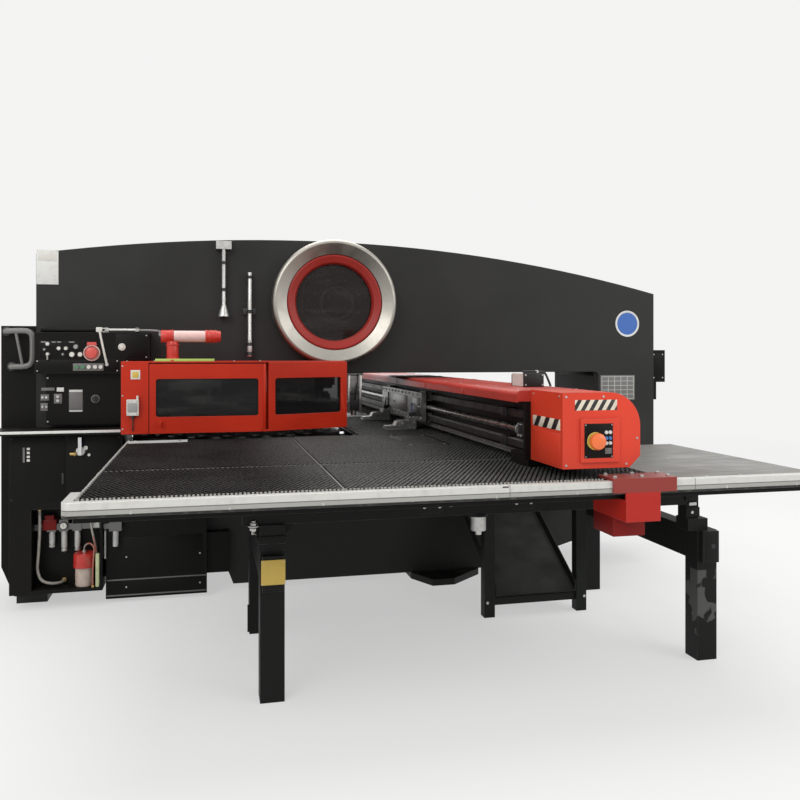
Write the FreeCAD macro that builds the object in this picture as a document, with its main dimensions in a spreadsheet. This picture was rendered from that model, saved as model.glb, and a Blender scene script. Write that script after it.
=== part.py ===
"""CNC turret punch press: a bridge frame, a crank-driven ram over two turrets, and a travelling
table whose beam carries a clamp carriage.

The punch centre is at x 0, y 0 and the floor at z 0. The frame runs along x, its rear towards +x.
The table travels along x and the clamp carriage along y. Lengths are in millimetres.
"""

import FreeCAD, Part
import Sketcher
import math
import os

os.makedirs("parts", exist_ok=True)
doc = FreeCAD.newDocument("turret_punch_press")

# Driving sizes: alias -> (value, what it is).
SIZES = {
    # Frame
    "frame_front": (-1710, "x of the frame's front end"),
    "frame_rear": (2210, "x of the frame's rear end"),
    "frame_thick": (700, "y thickness of the frame"),
    "plate_thick": (60, "thickness of each side plate"),
    "rim_thick": (60, "thickness of the plates that join the side plates"),
    "frame_floor": (130, "z of the frame's underside at its front"),
    "sole_front": (-605, "x of the front end of the frame's lower sole"),
    "sole_rear": (1108, "x of the rear end of the frame's lower sole"),
    "sole_step": (35, "x length of the slope before the sole"),
    "tail_rise": (308, "how far the underside climbs from the sole to the frame's rear"),
    "crown_top": (2122, "z of the highest point of the curved crown"),
    "crown_place": (-170, "x of the highest point of the crown"),
    "crown_radius": (10000, "radius of the crown"),
    "window_front": (-1250, "x of the window's front edge"),
    "window_rear": (1795, "x of the window's rear edge"),
    "window_floor": (860, "z of the window's lower edge"),
    "window_roof": (1306, "z of the window's upper edge"),
    "window_corner": (30, "corner radius of the window"),
    "pad_thick": (40, "thickness of the pads under the frame's sole"),
    "pad_long": (220, "x length of the middle pad"),
    "pad_reach": (190, "y distance of the middle pad's ends"),
    "pad_anchor": (130, "y distance of the middle anchor holes"),
    "toe_front": (-1818, "x of the front feet's front face"),
    "toe_rear": (-1652, "x of the front feet's rear face"),
    "toe_high": (45, "height of the front feet before the frame"),
    "toe_wide": (180, "y width of a front foot"),
    "toe_reach": (330, "y distance of the front feet's outer faces"),
    "toe_anchor": (250, "y distance of the front anchor holes"),
    "toe_ahead": (55, "x distance of the front anchor holes before the frame"),
    "ear_front": (500, "x of the rear feet's front end at the frame"),
    "ear_rear": (950, "x of the rear feet's rear end at the frame"),
    "ear_place": (660, "x of the rear anchor holes"),
    "ear_half": (70, "half the width of a rear foot's outer edge"),
    "ear_reach": (190, "how far a rear foot stands out of the frame"),
    "ear_inner": (150, "how far a rear foot reaches under the frame"),
    "ear_anchor": (110, "y distance of the rear anchor holes from the frame"),
    "anchor_hole": (26, "diameter of an anchor hole"),
    "box_deep": (110, "x depth of the rear electrics box"),
    "box_high": (220, "height of the rear electrics box"),
    "box_inset": (40, "y gap from the frame's faces to the rear electrics box"),
    "box_rise": (146, "z of the rear electrics box's top over the window's roof"),
    "box_foot": (120, "height of the box's shallow lower part"),
    "box_foot_deep": (44, "x depth of the box's shallow lower part"),
    "front_deep": (185, "x depth of the front box"),
    "front_high": (1585, "z of the front box's top"),
    "front_inset": (6, "y gap from the frame's faces to the front box"),
    "front_cut": (69, "x length of the front box's slanted corner"),
    "front_cut_high": (172, "height of the front box's slanted corner"),
    # Drive
    "crank_place": (22, "x of the crank axis"),
    "crank_high": (1741, "z of the crank axis"),
    "crank_throw": (26, "eccentricity of the crankpin"),
    "journal_radius": (55, "radius of the crank journals"),
    "crankpin_radius": (75, "radius of the crankpin"),
    "crankpin_wide": (124, "y width of the crankpin"),
    "crank_seat": (20, "how far the crankshaft reaches into the motor's flange"),
    "bigend_slack": (4.6, "gap round the crankpin, the linkage's open pivot"),
    "bigend_wall": (34, "wall of the connecting rod's big end"),
    "web_thick": (18, "thickness of a crank web"),
    "web_radius": (109, "radius of a crank web"),
    "bearing_side": (187, "side of the far crank bearing"),
    "bearing_deep": (90, "y depth of the far crank bearing"),
    "shank_half": (35, "half of the x width of the connecting rod's shank"),
    "rod_wide": (104, "y width of the big end"),
    "wrist_high": (1480, "z of the wrist pin with the ram at mid stroke"),
    "wrist_radius": (30, "radius of the wrist pin"),
    "smallend_radius": (50, "outer radius of the small end"),
    "smallend_wide": (60, "y width of the small end"),
    "ram_radius": (65, "radius of the ram"),
    "ram_foot": (1222, "z of the ram's lower face at mid stroke"),
    "ram_shoulder": (1418, "z where the ram's fork starts"),
    "fork_half": (52, "half of the x width of the ram's fork"),
    "fork_rise": (14, "height of the ram's fork over the wrist pin"),
    "fork_play": (0.5, "y gap between the small end and the fork"),
    "fork_floor": (2, "gap under the small end"),
    "fork_root": (20, "depth of the fork's root in the ram"),
    "guide_wall": (32, "wall of the ram guide"),
    "guide_rim": (26, "how far the guide's flange stands out"),
    "guide_low": (1290, "z of the ram guide's lower end"),
    "guide_top": (1396, "z of the ram guide's upper end"),
    "striker_radius": (48, "radius of the striker"),
    "striker_thick": (22, "thickness of the striker"),
    "striker_bevel": (6, "bevel of the striker's nose"),
    "motor_radius": (182, "radius of the drive motor"),
    "motor_long": (104, "y length of the drive motor"),
    "motor_flange": (298, "radius of the drive motor's flange"),
    "flange_thick": (30, "thickness of the drive motor's flange"),
    "motor_nose": (8, "y length of the drive motor's end cap"),
    "nose_radius": (82, "radius of the drive motor's end cap"),
    "fin_count": (12, "ribs round the drive motor"),
    "fin_radius": (14, "radius of a rib on the drive motor"),
    "fin_inset": (12, "gap from the motor's end to its ribs"),
    "port_radius": (270, "radius of the drive opening in the near side plate"),
    # Round drive cover
    "cover_radius": (381, "outer radius of the cover ring"),
    "cover_high": (1741, "z of the cover ring's centre"),
    "cover_deep": (122, "y depth of the cover ring"),
    "cover_nose": (24, "radius of the cover ring's outer lip"),
    "cover_bevel": (14, "bevel at the cover ring's back edge"),
    "bezel_gap": (1, "gap between the ring and the bezel"),
    "bezel_radius": (292, "outer radius of the bezel"),
    "bezel_deep": (92, "y depth of the bezel"),
    "bezel_nose": (12, "radius of the bezel's outer lip"),
    "bezel_slope": (10, "radial width of the bezel's inner slope"),
    "bezel_dip": (14, "depth of the start of the bezel's inner slope"),
    "bezel_throat": (34, "depth of the end of the bezel's inner slope"),
    "pane_radius": (234, "radius of the round pane"),
    "pane_rise": (14, "rise of the round pane's dome"),
    "pane_thick": (8, "thickness of the round pane"),
    "pane_seat": (56, "y distance from the bezel's face to the round pane"),
    "pane_play": (0.5, "gap between a pane and its frame"),
    # Turret
    "turret_place": (-560, "x of the turret axis"),
    "turret_radius": (650, "radius of both turrets"),
    "track_radius": (560, "radius of the outer ring of stations"),
    "inner_track": (462, "radius of the inner ring of stations"),
    "outer_count": (24, "stations in the outer ring"),
    "inner_count": (18, "stations in the inner ring"),
    "holder_radius": (32, "radius of a punch or die holder"),
    "turret_low": (990, "z of the upper turret's underside"),
    "turret_thick": (140, "thickness of the upper turret"),
    "die_high": (940, "z of the lower turret's top"),
    "die_thick": (62, "thickness of the lower turret"),
    "holder_top": (1180, "z of the punch holders' heads"),
    "holder_drop": (5, "how far the punch holders reach under the turret"),
    "die_rise": (8, "how far the die holders stand over the turret"),
    "turret_bevel": (8, "bevel of the upper turret's rim"),
    "die_bevel": (6, "bevel of the lower turret's rim"),
    "head_radius": (22, "radius of a punch head"),
    "head_high": (16, "height of a punch head"),
    "die_floor": (4, "web of the lower turret under a die holder"),
    "die_bore": (13, "radius of the hole in a die holder"),
    "upper_gap": (12, "gap between the upper hub and the window's roof"),
    "lower_gap": (8, "gap between the lower hub and the window's floor"),
    "hub_radius": (110, "radius of the turret hubs"),
    "shaft_radius": (60, "radius of the turret shafts"),
    "shaft_reach": (130, "length of shaft inside a gearmotor"),
    "gearmotor_wide": (300, "side of a turret gearmotor"),
    "gearmotor_high": (330, "height of a turret gearmotor"),
    "gearcap_radius": (93, "radius of the motor on a turret gearbox"),
    "gearcap_high": (150, "height of the motor on a turret gearbox"),
    "shaft_end": (2, "gap at the end of a turret shaft"),
    "fit_gap": (0.06, "radial gap of a running fit"),
    "free_gap": (5, "gap round a shaft that passes a plate"),
    # Turret guard
    "guard_front": (-1210, "x of the guard's front end"),
    "guard_bend": (-433, "x where the guard bends back towards the frame"),
    "guard_rear": (40, "x of the guard's rear end"),
    "guard_reach": (750, "y distance of the guard's face from the frame's centre"),
    "guard_tuck": (575, "y distance of the guard's rear end from the frame's centre"),
    "guard_low": (992, "z of the guard's lower edge"),
    "guard_high": (1385, "z of the guard's upper edge"),
    "guard_post": (142, "x width of the guard's front post"),
    "guard_thick": (30, "thickness of the guard's panels"),
    "pane_low": (1082, "z of the guard panes' lower edge"),
    "pane_high": (1289, "z of the guard panes' upper edge"),
    "pane_side": (40, "red border beside a guard pane"),
    "sheet_pane": (6, "thickness of a guard pane"),
    "door_gap": (4, "gap round the guard door"),
    "hinge_radius": (9, "radius of the guard door's hinge barrel"),
    "hinge_pin": (4, "radius of the guard door's hinge pin"),
    "ear_wide": (12, "reach of the hinge ears round the pin"),
    "ear_thick": (10, "thickness of the lower hinge ear"),
    "roof_sheet": (8, "thickness of the guard's roof"),
    "end_sheet": (12, "thickness of the guard's end walls"),
    "stop_wide": (24, "x width of the door's stop strip"),
    "stop_thick": (10, "thickness of the door's stop strip"),
    "ring_gap": (4, "gap between the guard's roof and the cover ring"),
    "pane_corner": (14, "corner radius of the guard's pane openings"),
    "door_head": (14, "gap from the guard's top to the door's top"),
    "door_side": (34, "red border beside the door's pane"),
    "handle_place": (60, "x distance of the handle from the door's edge"),
    "handle_drop": (50, "z distance of the handle below the door's pane"),
    "handle_out": (26, "how far the door's handle stands out"),
    "handle_long": (30, "length of the door's handle"),
    "handle_radius": (7, "radius of the door's handle"),
    "stalk_radius": (5, "radius of the handle's stalks"),
    "lock_place": (31, "x distance of the lock from the guard's front"),
    "lock_wide": (62, "x width of the lock"),
    "lock_deep": (30, "y depth of the lock"),
    "lock_low": (1094, "z of the lock's underside"),
    "lock_high": (1180, "z of the lock's top"),
    "bolt_rise": (20, "height of the lock's bolt"),
    "bolt_long": (12.4, "x distance of the bolt's front face from the post's end"),
    "bolt_near": (22.5, "y distance of the bolt's near face from the guard's face"),
    "bolt_far": (7.5, "y distance of the bolt's far face from the guard's face"),
    "lamp_place": (266, "x distance of the lamp's post from the guard's front"),
    "lamp_reach": (50, "y distance of the lamp from the guard's face"),
    "lamp_post": (32, "radius of the lamp's post"),
    "lamp_post_high": (110, "height of the lamp's post"),
    "lamp_rise": (138, "z of the lamp bar's axis over the guard"),
    "lamp_start": (205, "x distance of the lamp bar from the guard's front"),
    "lamp_radius": (30, "radius of the lamp bar"),
    "lamp_long": (318, "length of the lamp bar"),
    "lamp_cap": (34, "radius of the lamp bar's end caps"),
    "lamp_cap_long": (58, "length of a lamp bar's end cap"),
    "lamp_collar": (14.5, "length of the collar before an end cap"),
    # Pipes on the near side plate
    "air_place": (-510, "x of the air pipe"),
    "air_out": (40, "y distance of the air pipe from the frame"),
    "air_low": (1410, "z of the air pipe's lower end"),
    "air_step": (1509, "z where the air pipe's foot ends"),
    "air_high": (1915, "z of the air pipe's top"),
    "air_radius": (13, "radius of the air pipe"),
    "air_foot": (17, "radius of the air pipe's foot"),
    "tail_radius": (11, "radius of the air pipe's elbows"),
    "tail_inset": (30, "z distance of an elbow from the air pipe's lower end"),
    "tail_drop": (55, "z distance of an elbow from the air pipe's top"),
    "cable_place": (-662, "x of the cable pipe"),
    "cable_out": (38, "y distance of the cable pipe from the frame"),
    "cable_radius": (12, "radius of the cable pipe"),
    "clip_half": (45, "half of the cable clip's x width"),
    "clip_reach": (56, "y depth of the cable clip"),
    "clip_high": (48, "height of the cable clip"),
    "clip_drop": (12, "z distance of the clip below the crown"),
    "clip_seat": (9.6, "how far the cable pipe reaches into its clip"),
    "bell_low": (1648, "z of the cable bell's mouth"),
    "bell_high": (68, "height of the cable bell"),
    "bell_radius": (36, "radius of the cable bell's mouth"),
    "bell_neck": (15, "radius of the cable bell's neck"),
    "hook_half": (16, "half of the bell's stay's x width"),
    "hook_rise": (12, "z distance of the bell's stay over the mouth"),
    "hook_high": (30, "height of the bell's stay"),
    "hook_gap": (8, "y distance of the stay's end from the bell's axis"),
    # Operator's end
    "console_front": (-1690, "x of the console's front end"),
    "console_rear": (-1080, "x of the console's rear end"),
    "console_reach": (150, "y depth of the console's upper box"),
    "console_low": (1316, "z of the upper box's lower edge"),
    "console_high": (1545, "z of the upper box's upper edge"),
    "panel_reach": (100, "y depth of the switch panel"),
    "panel_front": (-1640, "x of the switch panel's front end"),
    "panel_rear": (-1215, "x of the switch panel's rear end"),
    "panel_gap": (20, "z gap between the shelf and the switch panel"),
    "console_gap": (6, "x gap between the console and the guard"),
    "console_lift": (8, "z gap between the console and the guard's roof"),
    "rail_radius": (14, "radius of the rail on top of the console"),
    "rail_long": (345, "length of the rail on top of the console"),
    "rail_start": (30, "x distance from the console's front to its rail"),
    "rail_rise": (16, "z distance of the rail's axis over the console"),
    "rail_inset": (20, "y distance of the rail from the console's face"),
    "foot_radius": (8, "radius of the rail's feet"),
    "foot_first": (40, "x distance of the rail's first foot from the console's front"),
    "foot_second": (300, "x distance of the rail's second foot from the console's front"),
    "shelf_high": (1006, "z of the shelf's top"),
    "shelf_thick": (24, "thickness of the shelf"),
    "shelf_reach": (250, "y depth of the shelf"),
    "shelf_front": (-1900, "x of the shelf's front end"),
    "shelf_rear": (-1225, "x of the shelf's rear end"),
    "cabinet_front": (-1820, "x of the air cabinet's front end"),
    "cabinet_reach": (150, "y depth of the air cabinet"),
    "cabinet_low": (92, "z of the air cabinet's underside"),
    "bay_low": (110, "z of the floor of the open bay"),
    "bay_high": (560, "z of the roof of the open bay"),
    "bay_front": (-1705, "x of the open bay's front wall"),
    "bay_rear": (-1345, "x of the open bay's rear wall"),
    "sheet_wall": (12, "wall of the air cabinet"),
    "sheet_metal": (6, "thickness of folded covers and boxes"),
    "pedestal_front": (-1322, "x of the pedestal's front end"),
    "pedestal_rear": (-760, "x of the pedestal's rear end"),
    "pedestal_high": (520, "z of the pedestal's top"),
    "pedestal_reach": (95, "y depth of the pedestal"),
    "pedestal_low": (24, "z of the pedestal's underside"),
    "ledge_long": (130, "x length of the pedestal's lower step"),
    "ledge_reach": (57, "y depth of the pedestal's lower step"),
    "ledge_low": (130, "z of the lower step's underside"),
    "ledge_drop": (150, "z distance from the pedestal's top to its step's top"),
    # Air preparation
    "manifold_low": (428, "z of the air bar's underside"),
    "manifold_high": (462, "z of the air bar's top"),
    "manifold_half": (18, "half of the air bar's y depth"),
    "unit_reach": (52, "y distance of the air bar from the frame"),
    "head_half": (24, "half of the side of a filter head"),
    "head_low": (420, "z of the filter heads' underside"),
    "head_top": (486, "z of the filter heads' top"),
    "knob_radius": (14, "radius of a filter's knob"),
    "knob_high": (26, "height of a filter's knob"),
    "bowl_radius": (16, "radius of a filter bowl"),
    "short_bowl": (330, "z of the short bowls' lower ends"),
    "long_bowl": (305, "z of the long bowls' lower ends"),
    "first_bowl": (-1615, "x of the first bowl"),
    "second_bowl": (-1550, "x of the second bowl"),
    "third_bowl": (-1479, "x of the third bowl"),
    "side_bowl": (-1266, "x of the bowl on the pedestal"),
    "side_head": (34, "half of the side filter head's x width"),
    "side_deep": (22, "half of the side filter head's y depth"),
    "side_high": (470, "z of the side filter head's top"),
    "drain_place": (-1323, "x of the side filter's drain pipe"),
    "drain_low": (262, "z of the drain pipe's lower end"),
    "drain_radius": (6, "radius of the drain pipe"),
    "drain_arm": (432, "z of the underside of the drain pipe's arm"),
    "jar_place": (-1437, "x of the oil jar"),
    "jar_reach": (94, "y distance of the oil jar's axis from the frame"),
    "jar_radius": (49, "radius of the oil jar"),
    "jar_high": (105, "height of the oil jar's body"),
    "jar_cap": (58, "radius of the oil jar's cap"),
    "jar_neck": (109, "height of the oil jar's cap's lower edge"),
    "jar_bevel": (8, "bevel of the oil jar's edges"),
    "jar_top": (190, "height of the oil jar with its cap"),
    "hose_wide": (8, "radius of the drain hose"),
    "hose_thin": (6, "radius of the supply hose"),
    "hose_oil": (5, "radius of the oil hose"),
    # Table
    "table_high": (938, "z of the table plates' top"),
    "table_plate": (14, "thickness of the table plates"),
    "brush_high": (12, "height of the brush panels"),
    "table_front": (-1180, "x of the side tables' front edge"),
    "table_rear": (1560, "x of the side tables' rear edge"),
    "table_edge": (2560, "y distance of the side tables' outer edge"),
    "table_inner": (670, "y distance of the side tables' inner edge"),
    "brush_rear": (960, "x of the brush panels' rear edge"),
    "rear_inner": (1470, "y distance of the rear panels' inner edge"),
    "rear_end": (1640, "x of the rear panels' rear edge"),
    "rear_thick": (8, "thickness of the rear panels"),
    "joist_high": (45, "height of the joists under the side tables"),
    "joist_wide": (70, "width of the joists under the side tables"),
    "nut_place": (860, "x distance of the travel nut from the screw's front end"),
    "nut_long": (90, "x length of the travel nut"),
    "nut_half": (36, "half of the side of the travel nut"),
    "arm_thick": (24, "thickness of the travel nut's arm"),
    "rear_inset": (20, "y gap from the tables' edge to the rear panels"),
    "centre_front": (104, "x of the centre table's front edge"),
    "centre_rear": (1780, "x of the centre table's rear edge"),
    "centre_half": (658, "half of the centre table's y width"),
    "bearer_place": (210, "y distance of the centre table's bearers"),
    "bearer_half": (30, "half of a bearer's y width"),
    "bearer_inset": (60, "x gap from the centre table's front to its bearers"),
    "bearer_short": (40, "x gap from the bearers to the centre table's rear"),
    "rib_deep": (30, "height of the ribs under the centre table"),
    "rib_wide": (40, "x width of the ribs under the centre table"),
    "rail_high": (52, "height of the edge rails"),
    "rail_deep": (34, "y depth of the edge rails"),
    "rail_nose": (30, "radius of the edge rails' front end"),
    "rail_return": (180, "y length of the edge rails round the tables' front corner"),
    "rail_rim": (2, "how far the edge rails stand over the brushes"),
    # Side supports
    "post_wide": (100, "side of a support post"),
    "post_outer": (1945, "y distance of the outer posts"),
    "post_inner": (1100, "y distance of the front inner posts"),
    "post_near": (790, "y distance of the rear inner posts"),
    "post_front": (-500, "x of the front posts"),
    "post_rear": (1507, "x of the rear posts"),
    "tie_low": (460, "z of the cross beams' underside"),
    "tie_high": (605, "z of the cross beams' top"),
    "tie_inset": (8, "x gap from a post's faces to its cross beam's faces"),
    "tie_over": (30, "how far a cross beam passes its outer post"),
    "column_ahead": (99, "x distance of the rear column's front from its post's middle"),
    "column_wide": (63, "x width of the column under a long rail's rear end"),
    "step_wide": (102, "x width of the rear column's foot"),
    "step_high": (55, "height of the rear column's foot"),
    "track_ahead": (120, "how far a long rail passes the front post"),
    "track_low": (725, "z of the long rails' underside"),
    "track_high": (860, "z of the long rails' top"),
    "track_wide": (70, "y width of the long rails"),
    "roller_radius": (38, "radius of the support rollers"),
    "roller_wide": (34, "y width of the support rollers"),
    "roller_skim": (0.4, "gap between the rollers and the joists"),
    "pin_radius": (11, "radius of the roller pins"),
    "pin_head": (18, "radius of a roller pin's head"),
    "head_thick": (10, "thickness of a roller pin's head"),
    "head_gap": (2, "gap between a roller and its pin's head"),
    "roller_gap": (3, "gap between a roller and its rail"),
    "roller_crown": (3, "bevel of a roller's edges"),
    "roller_ahead": (70, "x distance of the front rollers from their post"),
    "roller_behind": (87, "x distance of the rear rollers from their post"),
    # Scrap chute
    "chute_front": (760, "x of the chute's front edge"),
    "chute_rear": (1230, "x of the chute's rear edge"),
    "chute_top": (560, "z of the chute's upper end"),
    "chute_low": (110, "z of the chute's lower end"),
    "chute_inner": (420, "y distance of the chute's upper end"),
    "chute_outer": (1190, "y distance of the chute's lower end"),
    "chute_wall": (60, "height of the chute's side walls"),
    "chute_sheet": (6, "thickness of the chute's sheet"),
    "stand_high": (700, "z of the chute stand's top"),
    "leg_wide": (60, "side of the chute stand's legs"),
    "leg_gap": (4, "gap between the chute and its stand's legs"),
    "leg_inset": (30, "y distance of the legs' middle from the chute's lower end"),
    "bar_high": (50, "height of the chute stand's top bar"),
    "bar_half": (20, "half of the y width of the chute stand's top bar"),
    "sill_low": (60, "z of the chute sill's underside"),
    "sill_high": (100, "z of the chute sill's top"),
    "sill_reach": (12, "y reach of the sill beyond the legs' middle"),
    # Carriage beam
    "beam_front": (500, "x of the carriage beam's front face"),
    "beam_wide": (300, "x width of the carriage beam"),
    "beam_web": (90, "x distance from the beam's front face to its web"),
    "beam_low": (985, "z of the carriage beam's underside"),
    "beam_high": (1228, "z of the carriage beam's top"),
    "beam_inset": (370, "y distance from the tables' outer edge to the beam's end"),
    "beam_wall": (14, "wall of the carriage beam"),
    "beam_lip": (20, "x distance from the beam's front to its lip"),
    "shoe_span": (200, "y length of the beam's feet"),
    "shoe_inset": (60, "y gap from the beam's ends to its feet"),
    "shoe_front": (60, "x gap from the beam's front to its feet"),
    "shoe_rear": (20, "x gap from the beam's rear to its feet"),
    "field_gap": (6, "gap in the brushes round the beam's feet"),
    "cover_thick": (46, "height of the carriage beam's cover"),
    "cover_front": (14, "how far the cover passes the beam's front"),
    "cover_behind": (6, "how far the cover passes the beam's rear"),
    "cover_lip": (4, "how far the cover's front lip hangs over the beam"),
    "cover_edge": (20, "radius of the cover's front edge"),
    "cover_round": (16, "radius of the cover's rear edge"),
    "end_front": (548, "x of the end boxes' front face"),
    "end_rear": (872, "x of the end boxes' rear face"),
    "end_inset": (60, "y distance from the tables' outer edge to the end boxes' outer face"),
    "end_low": (988, "z of the end boxes' underside"),
    "end_high": (1278, "z of the end boxes' top"),
    "end_round": (130, "radius of the end boxes' upper rear corner"),
    "end_chamfer": (45, "chamfer of the end boxes' lower rear corner"),
    "face_place": (70, "x distance of the switch face from an end box's front"),
    "face_wide": (162, "x width of the switch face"),
    "face_low": (24, "z distance of the switch face over an end box's underside"),
    "face_high": (166, "height of the switch face"),
    "face_out": (10, "how far the switch face stands out"),
    "stop_x": (128, "x distance of the end stop from an end box's front"),
    "stop_z": (106, "z distance of the end stop over an end box's underside"),
    "bracket_long": (262, "x length of the end brackets"),
    "bracket_lap": (168, "how far the end brackets reach under the end boxes"),
    "bracket_thick": (10, "thickness of the end brackets"),
    "bracket_inner": (80, "y reach of the end brackets over the tables"),
    "bracket_skirt": (44, "height of the brackets' front below their plate"),
    "case_place": (51, "x distance of a bracket's box from its front end"),
    "case_wide": (142, "x width of a bracket's box"),
    "case_inner": (220, "y reach of a bracket's box under the table"),
    "case_drop": (154, "z distance of a bracket's box's underside below its top"),
    "slide_high": (30, "height of the carriage's linear rails"),
    "slide_deep": (34, "x depth of the carriage's linear rails"),
    "slide_low": (1020, "z of the lower linear rail"),
    "slide_top": (1150, "z of the upper linear rail"),
    "slide_front": (14, "x gap from the linear rails to the carriage plate"),
    "screw_radius": (16, "radius of the ballscrews"),
    "screw_high": (1100, "z of the carriage's ballscrew"),
    "screw_inset": (30, "y gap from the beam's end caps to the ballscrew"),
    "servo_place": (330, "y distance of the servo motor from the beam's end"),
    "servo_inset": (150, "x distance of the servo motor from the beam's front"),
    "servo_wide": (96, "x width of the servo motor"),
    "servo_long": (150, "y length of the servo motor"),
    "servo_high": (62, "height of the servo motor"),
    "carriage_half": (560, "half of the carriage's y length"),
    "carriage_plate": (28, "x thickness of the carriage plate"),
    "plate_rim": (8, "how far the carriage plate passes the linear rails"),
    "shoe_long": (110, "y length of a carriage shoe"),
    "shoe_wall": (14, "wall of a carriage shoe over and under its rail"),
    "shoe_lip": (4, "x gap from a carriage shoe to the beam's web"),
    "shoe_end": (20, "y gap from the carriage plate's end to a shoe"),
    "slide_play": (0.4, "gap between a shoe and its rail"),
    "ball_half": (45, "half of the ballscrew nut's y length"),
    "ball_high": (27, "half of the ballscrew nut's height"),
    "ball_wall": (24, "x wall of the ballscrew nut behind the screw's axis"),
    "clamp_pitch": (760, "distance between the two clamps"),
    "clamp_wide": (110, "y width of a clamp"),
    "clamp_tip": (320, "x of the clamps' tips"),
    "clamp_low": (953, "z of the clamps' underside"),
    "jaw_thick": (9, "thickness of a clamp jaw at its tip"),
    "mouth_high": (6, "height of a clamp's mouth"),
    "clamp_neck": (62, "length of a clamp's thin tip"),
    "clamp_high": (1010, "z of the clamp body's top"),
    "jaw_pivot": (8, "radius of a jaw's pivot pin"),
    "pivot_place": (104, "x distance of a jaw's pivot from its tip"),
    "pivot_drop": (20, "z distance of a jaw's pivot below the clamp body's top"),
    "heel_long": (30, "how far a jaw passes its pivot"),
    "jaw_drop": (6, "z distance of a jaw's top below the clamp body's top"),
    "neck_slope": (12, "x length of the slope behind a jaw's thin tip"),
    "neck_rise": (4, "how much a jaw thickens along its tip"),
    "jaw_play": (1, "y gap between a jaw and a cheek"),
    "cheek_wide": (14, "y width of a clamp's cheek"),
    "cheek_ahead": (16, "how far a cheek passes the pivot"),
    "heel_gap": (10, "x gap behind a jaw's heel"),
    "back_rise": (20, "how far a clamp's back stands over its cheeks"),
    # Table drive
    "drive_out": (100, "y distance of the table's ballscrew from the frame"),
    "drive_high": (800, "z of the table's ballscrew"),
    "drive_front": (-560, "x of the table ballscrew's front end"),
    "drive_rear": (1500, "x of the table ballscrew's rear end"),
    "hanger_front": (20, "x distance of the front hanger from the screw's front end"),
    "hanger_rear": (60, "x distance of the rear hanger from the screw's rear end"),
    "hanger_thick": (40, "x thickness of a hanger"),
    "hanger_half": (40, "reach of a hanger round the screw's axis"),
    "hanger_top": (36, "z reach of a hanger over the screw's axis"),
    "travel_radius": (58, "radius of the table's servo motor"),
    "travel_long": (190, "length of the table's servo motor"),
    "travel_gap": (10, "gap between the screw and its motor"),
    "bracket_low": (50, "z reach of the motor's bracket below the screw's axis"),
    # Hand controls
    "stop_radius": (20, "radius of an emergency stop's head"),
    "stop_rise": (26, "how far an emergency stop's head stands out"),
    "stop_stem": (9, "radius of an emergency stop's stem"),
    "stop_root": (12, "depth of an emergency stop's stem in its panel"),
    "stop_head": (16, "height of an emergency stop's head"),
    "stop_edge": (6, "radius of the head's edge"),
    "stop_chin": (2, "height of the slope under the head"),
    "console_stop_x": (-1389, "x of the console's emergency stop"),
    "console_stop_z": (1431, "z of the console's emergency stop"),
    "start_x": (-1229, "x of the start button"),
    "start_z": (1465, "z of the start button"),
    "key_radius": (11, "radius of a push button"),
    "key_rise": (12, "how far a push button stands out"),
    "key_stem": (9, "radius of a push button's stem"),
    "key_root": (10, "depth of a push button's stem in its panel"),
    "key_neck": (5, "gap between a push button's head and its panel"),
    "key_edge": (2, "radius of a push button's edge"),
    "selector_x": (-1377, "x of the mode selector"),
    "selector_z": (1170, "z of the mode selector"),
    "selector_stem": (7, "radius of the mode selector's stem"),
    "selector_radius": (17, "radius of the mode selector's disc"),
    "selector_thick": (17, "thickness of the mode selector's disc"),
    "selector_gap": (1, "gap between the mode selector's disc and its panel"),
    "selector_grip": (12, "height of the mode selector's grip"),
    "grip_half": (4, "half of the grip's width"),
    "grip_long": (16, "half of the grip's length"),
    "lever_x": (-1449, "x of the shut-off valve"),
    "lever_z": (881, "z of the shut-off valve"),
    "lever_stem": (10, "radius of the valve's stem"),
    "lever_out": (24, "how far the valve's stem stands out"),
    "lever_half": (9, "half of the lever's width"),
    "lever_long": (79, "length of the lever over the stem"),
    "lever_tail": (21, "length of the lever under the stem"),
    "lever_thick": (11, "thickness of the lever"),
}


class Size:
    """A number together with the sheet expression that it comes from."""

    def __init__(self, number, text):
        self.number = number
        self.text = text

    def __add__(self, other):
        other = as_size(other)
        return Size(self.number + other.number, f"({self.text} + {other.text})")

    def __radd__(self, other):
        return as_size(other) + self

    def __sub__(self, other):
        other = as_size(other)
        return Size(self.number - other.number, f"({self.text} - {other.text})")

    def __rsub__(self, other):
        return as_size(other) - self

    def __mul__(self, other):
        other = as_size(other)
        return Size(self.number * other.number, f"({self.text} * {other.text})")

    def __rmul__(self, other):
        return as_size(other) * self

    def __truediv__(self, other):
        other = as_size(other)
        return Size(self.number / other.number, f"({self.text} / {other.text})")

    def __rtruediv__(self, other):
        return as_size(other) / self

    def __neg__(self):
        return Size(-self.number, f"(0 - {self.text})")


def as_size(value):
    """Give a plain number the form of a Size."""
    if isinstance(value, Size):
        return value
    return Size(float(value), f"{float(value):.6g}" if value >= 0 else f"(0 - {-float(value):.6g})")


def root(value):
    """The square root of a Size."""
    return Size(math.sqrt(value.number), f"sqrt({value.text})")


def turn(radius, degrees):
    """The x and y of a point at a radius and an angle."""
    angle = as_size(degrees)
    flat = math.radians(angle.number)
    across = radius * Size(math.cos(flat), f"cos({angle.text})")
    along = radius * Size(math.sin(flat), f"sin({angle.text})")
    return across, along


class Sizes:
    """The spreadsheet of driving sizes, read as attributes."""

    def __init__(self, table):
        self.sheet = doc.addObject("Spreadsheet::Sheet", "Sizes")
        for row, (alias, (value, note)) in enumerate(table.items(), start=1):
            self.sheet.set(f"A{row}", note)
            self.sheet.set(f"B{row}", str(value))
            self.sheet.setAlias(f"B{row}", alias)
            setattr(self, alias, Size(float(value), f"Sizes.{alias}"))


S = Sizes(SIZES)
doc.recompute()

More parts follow.
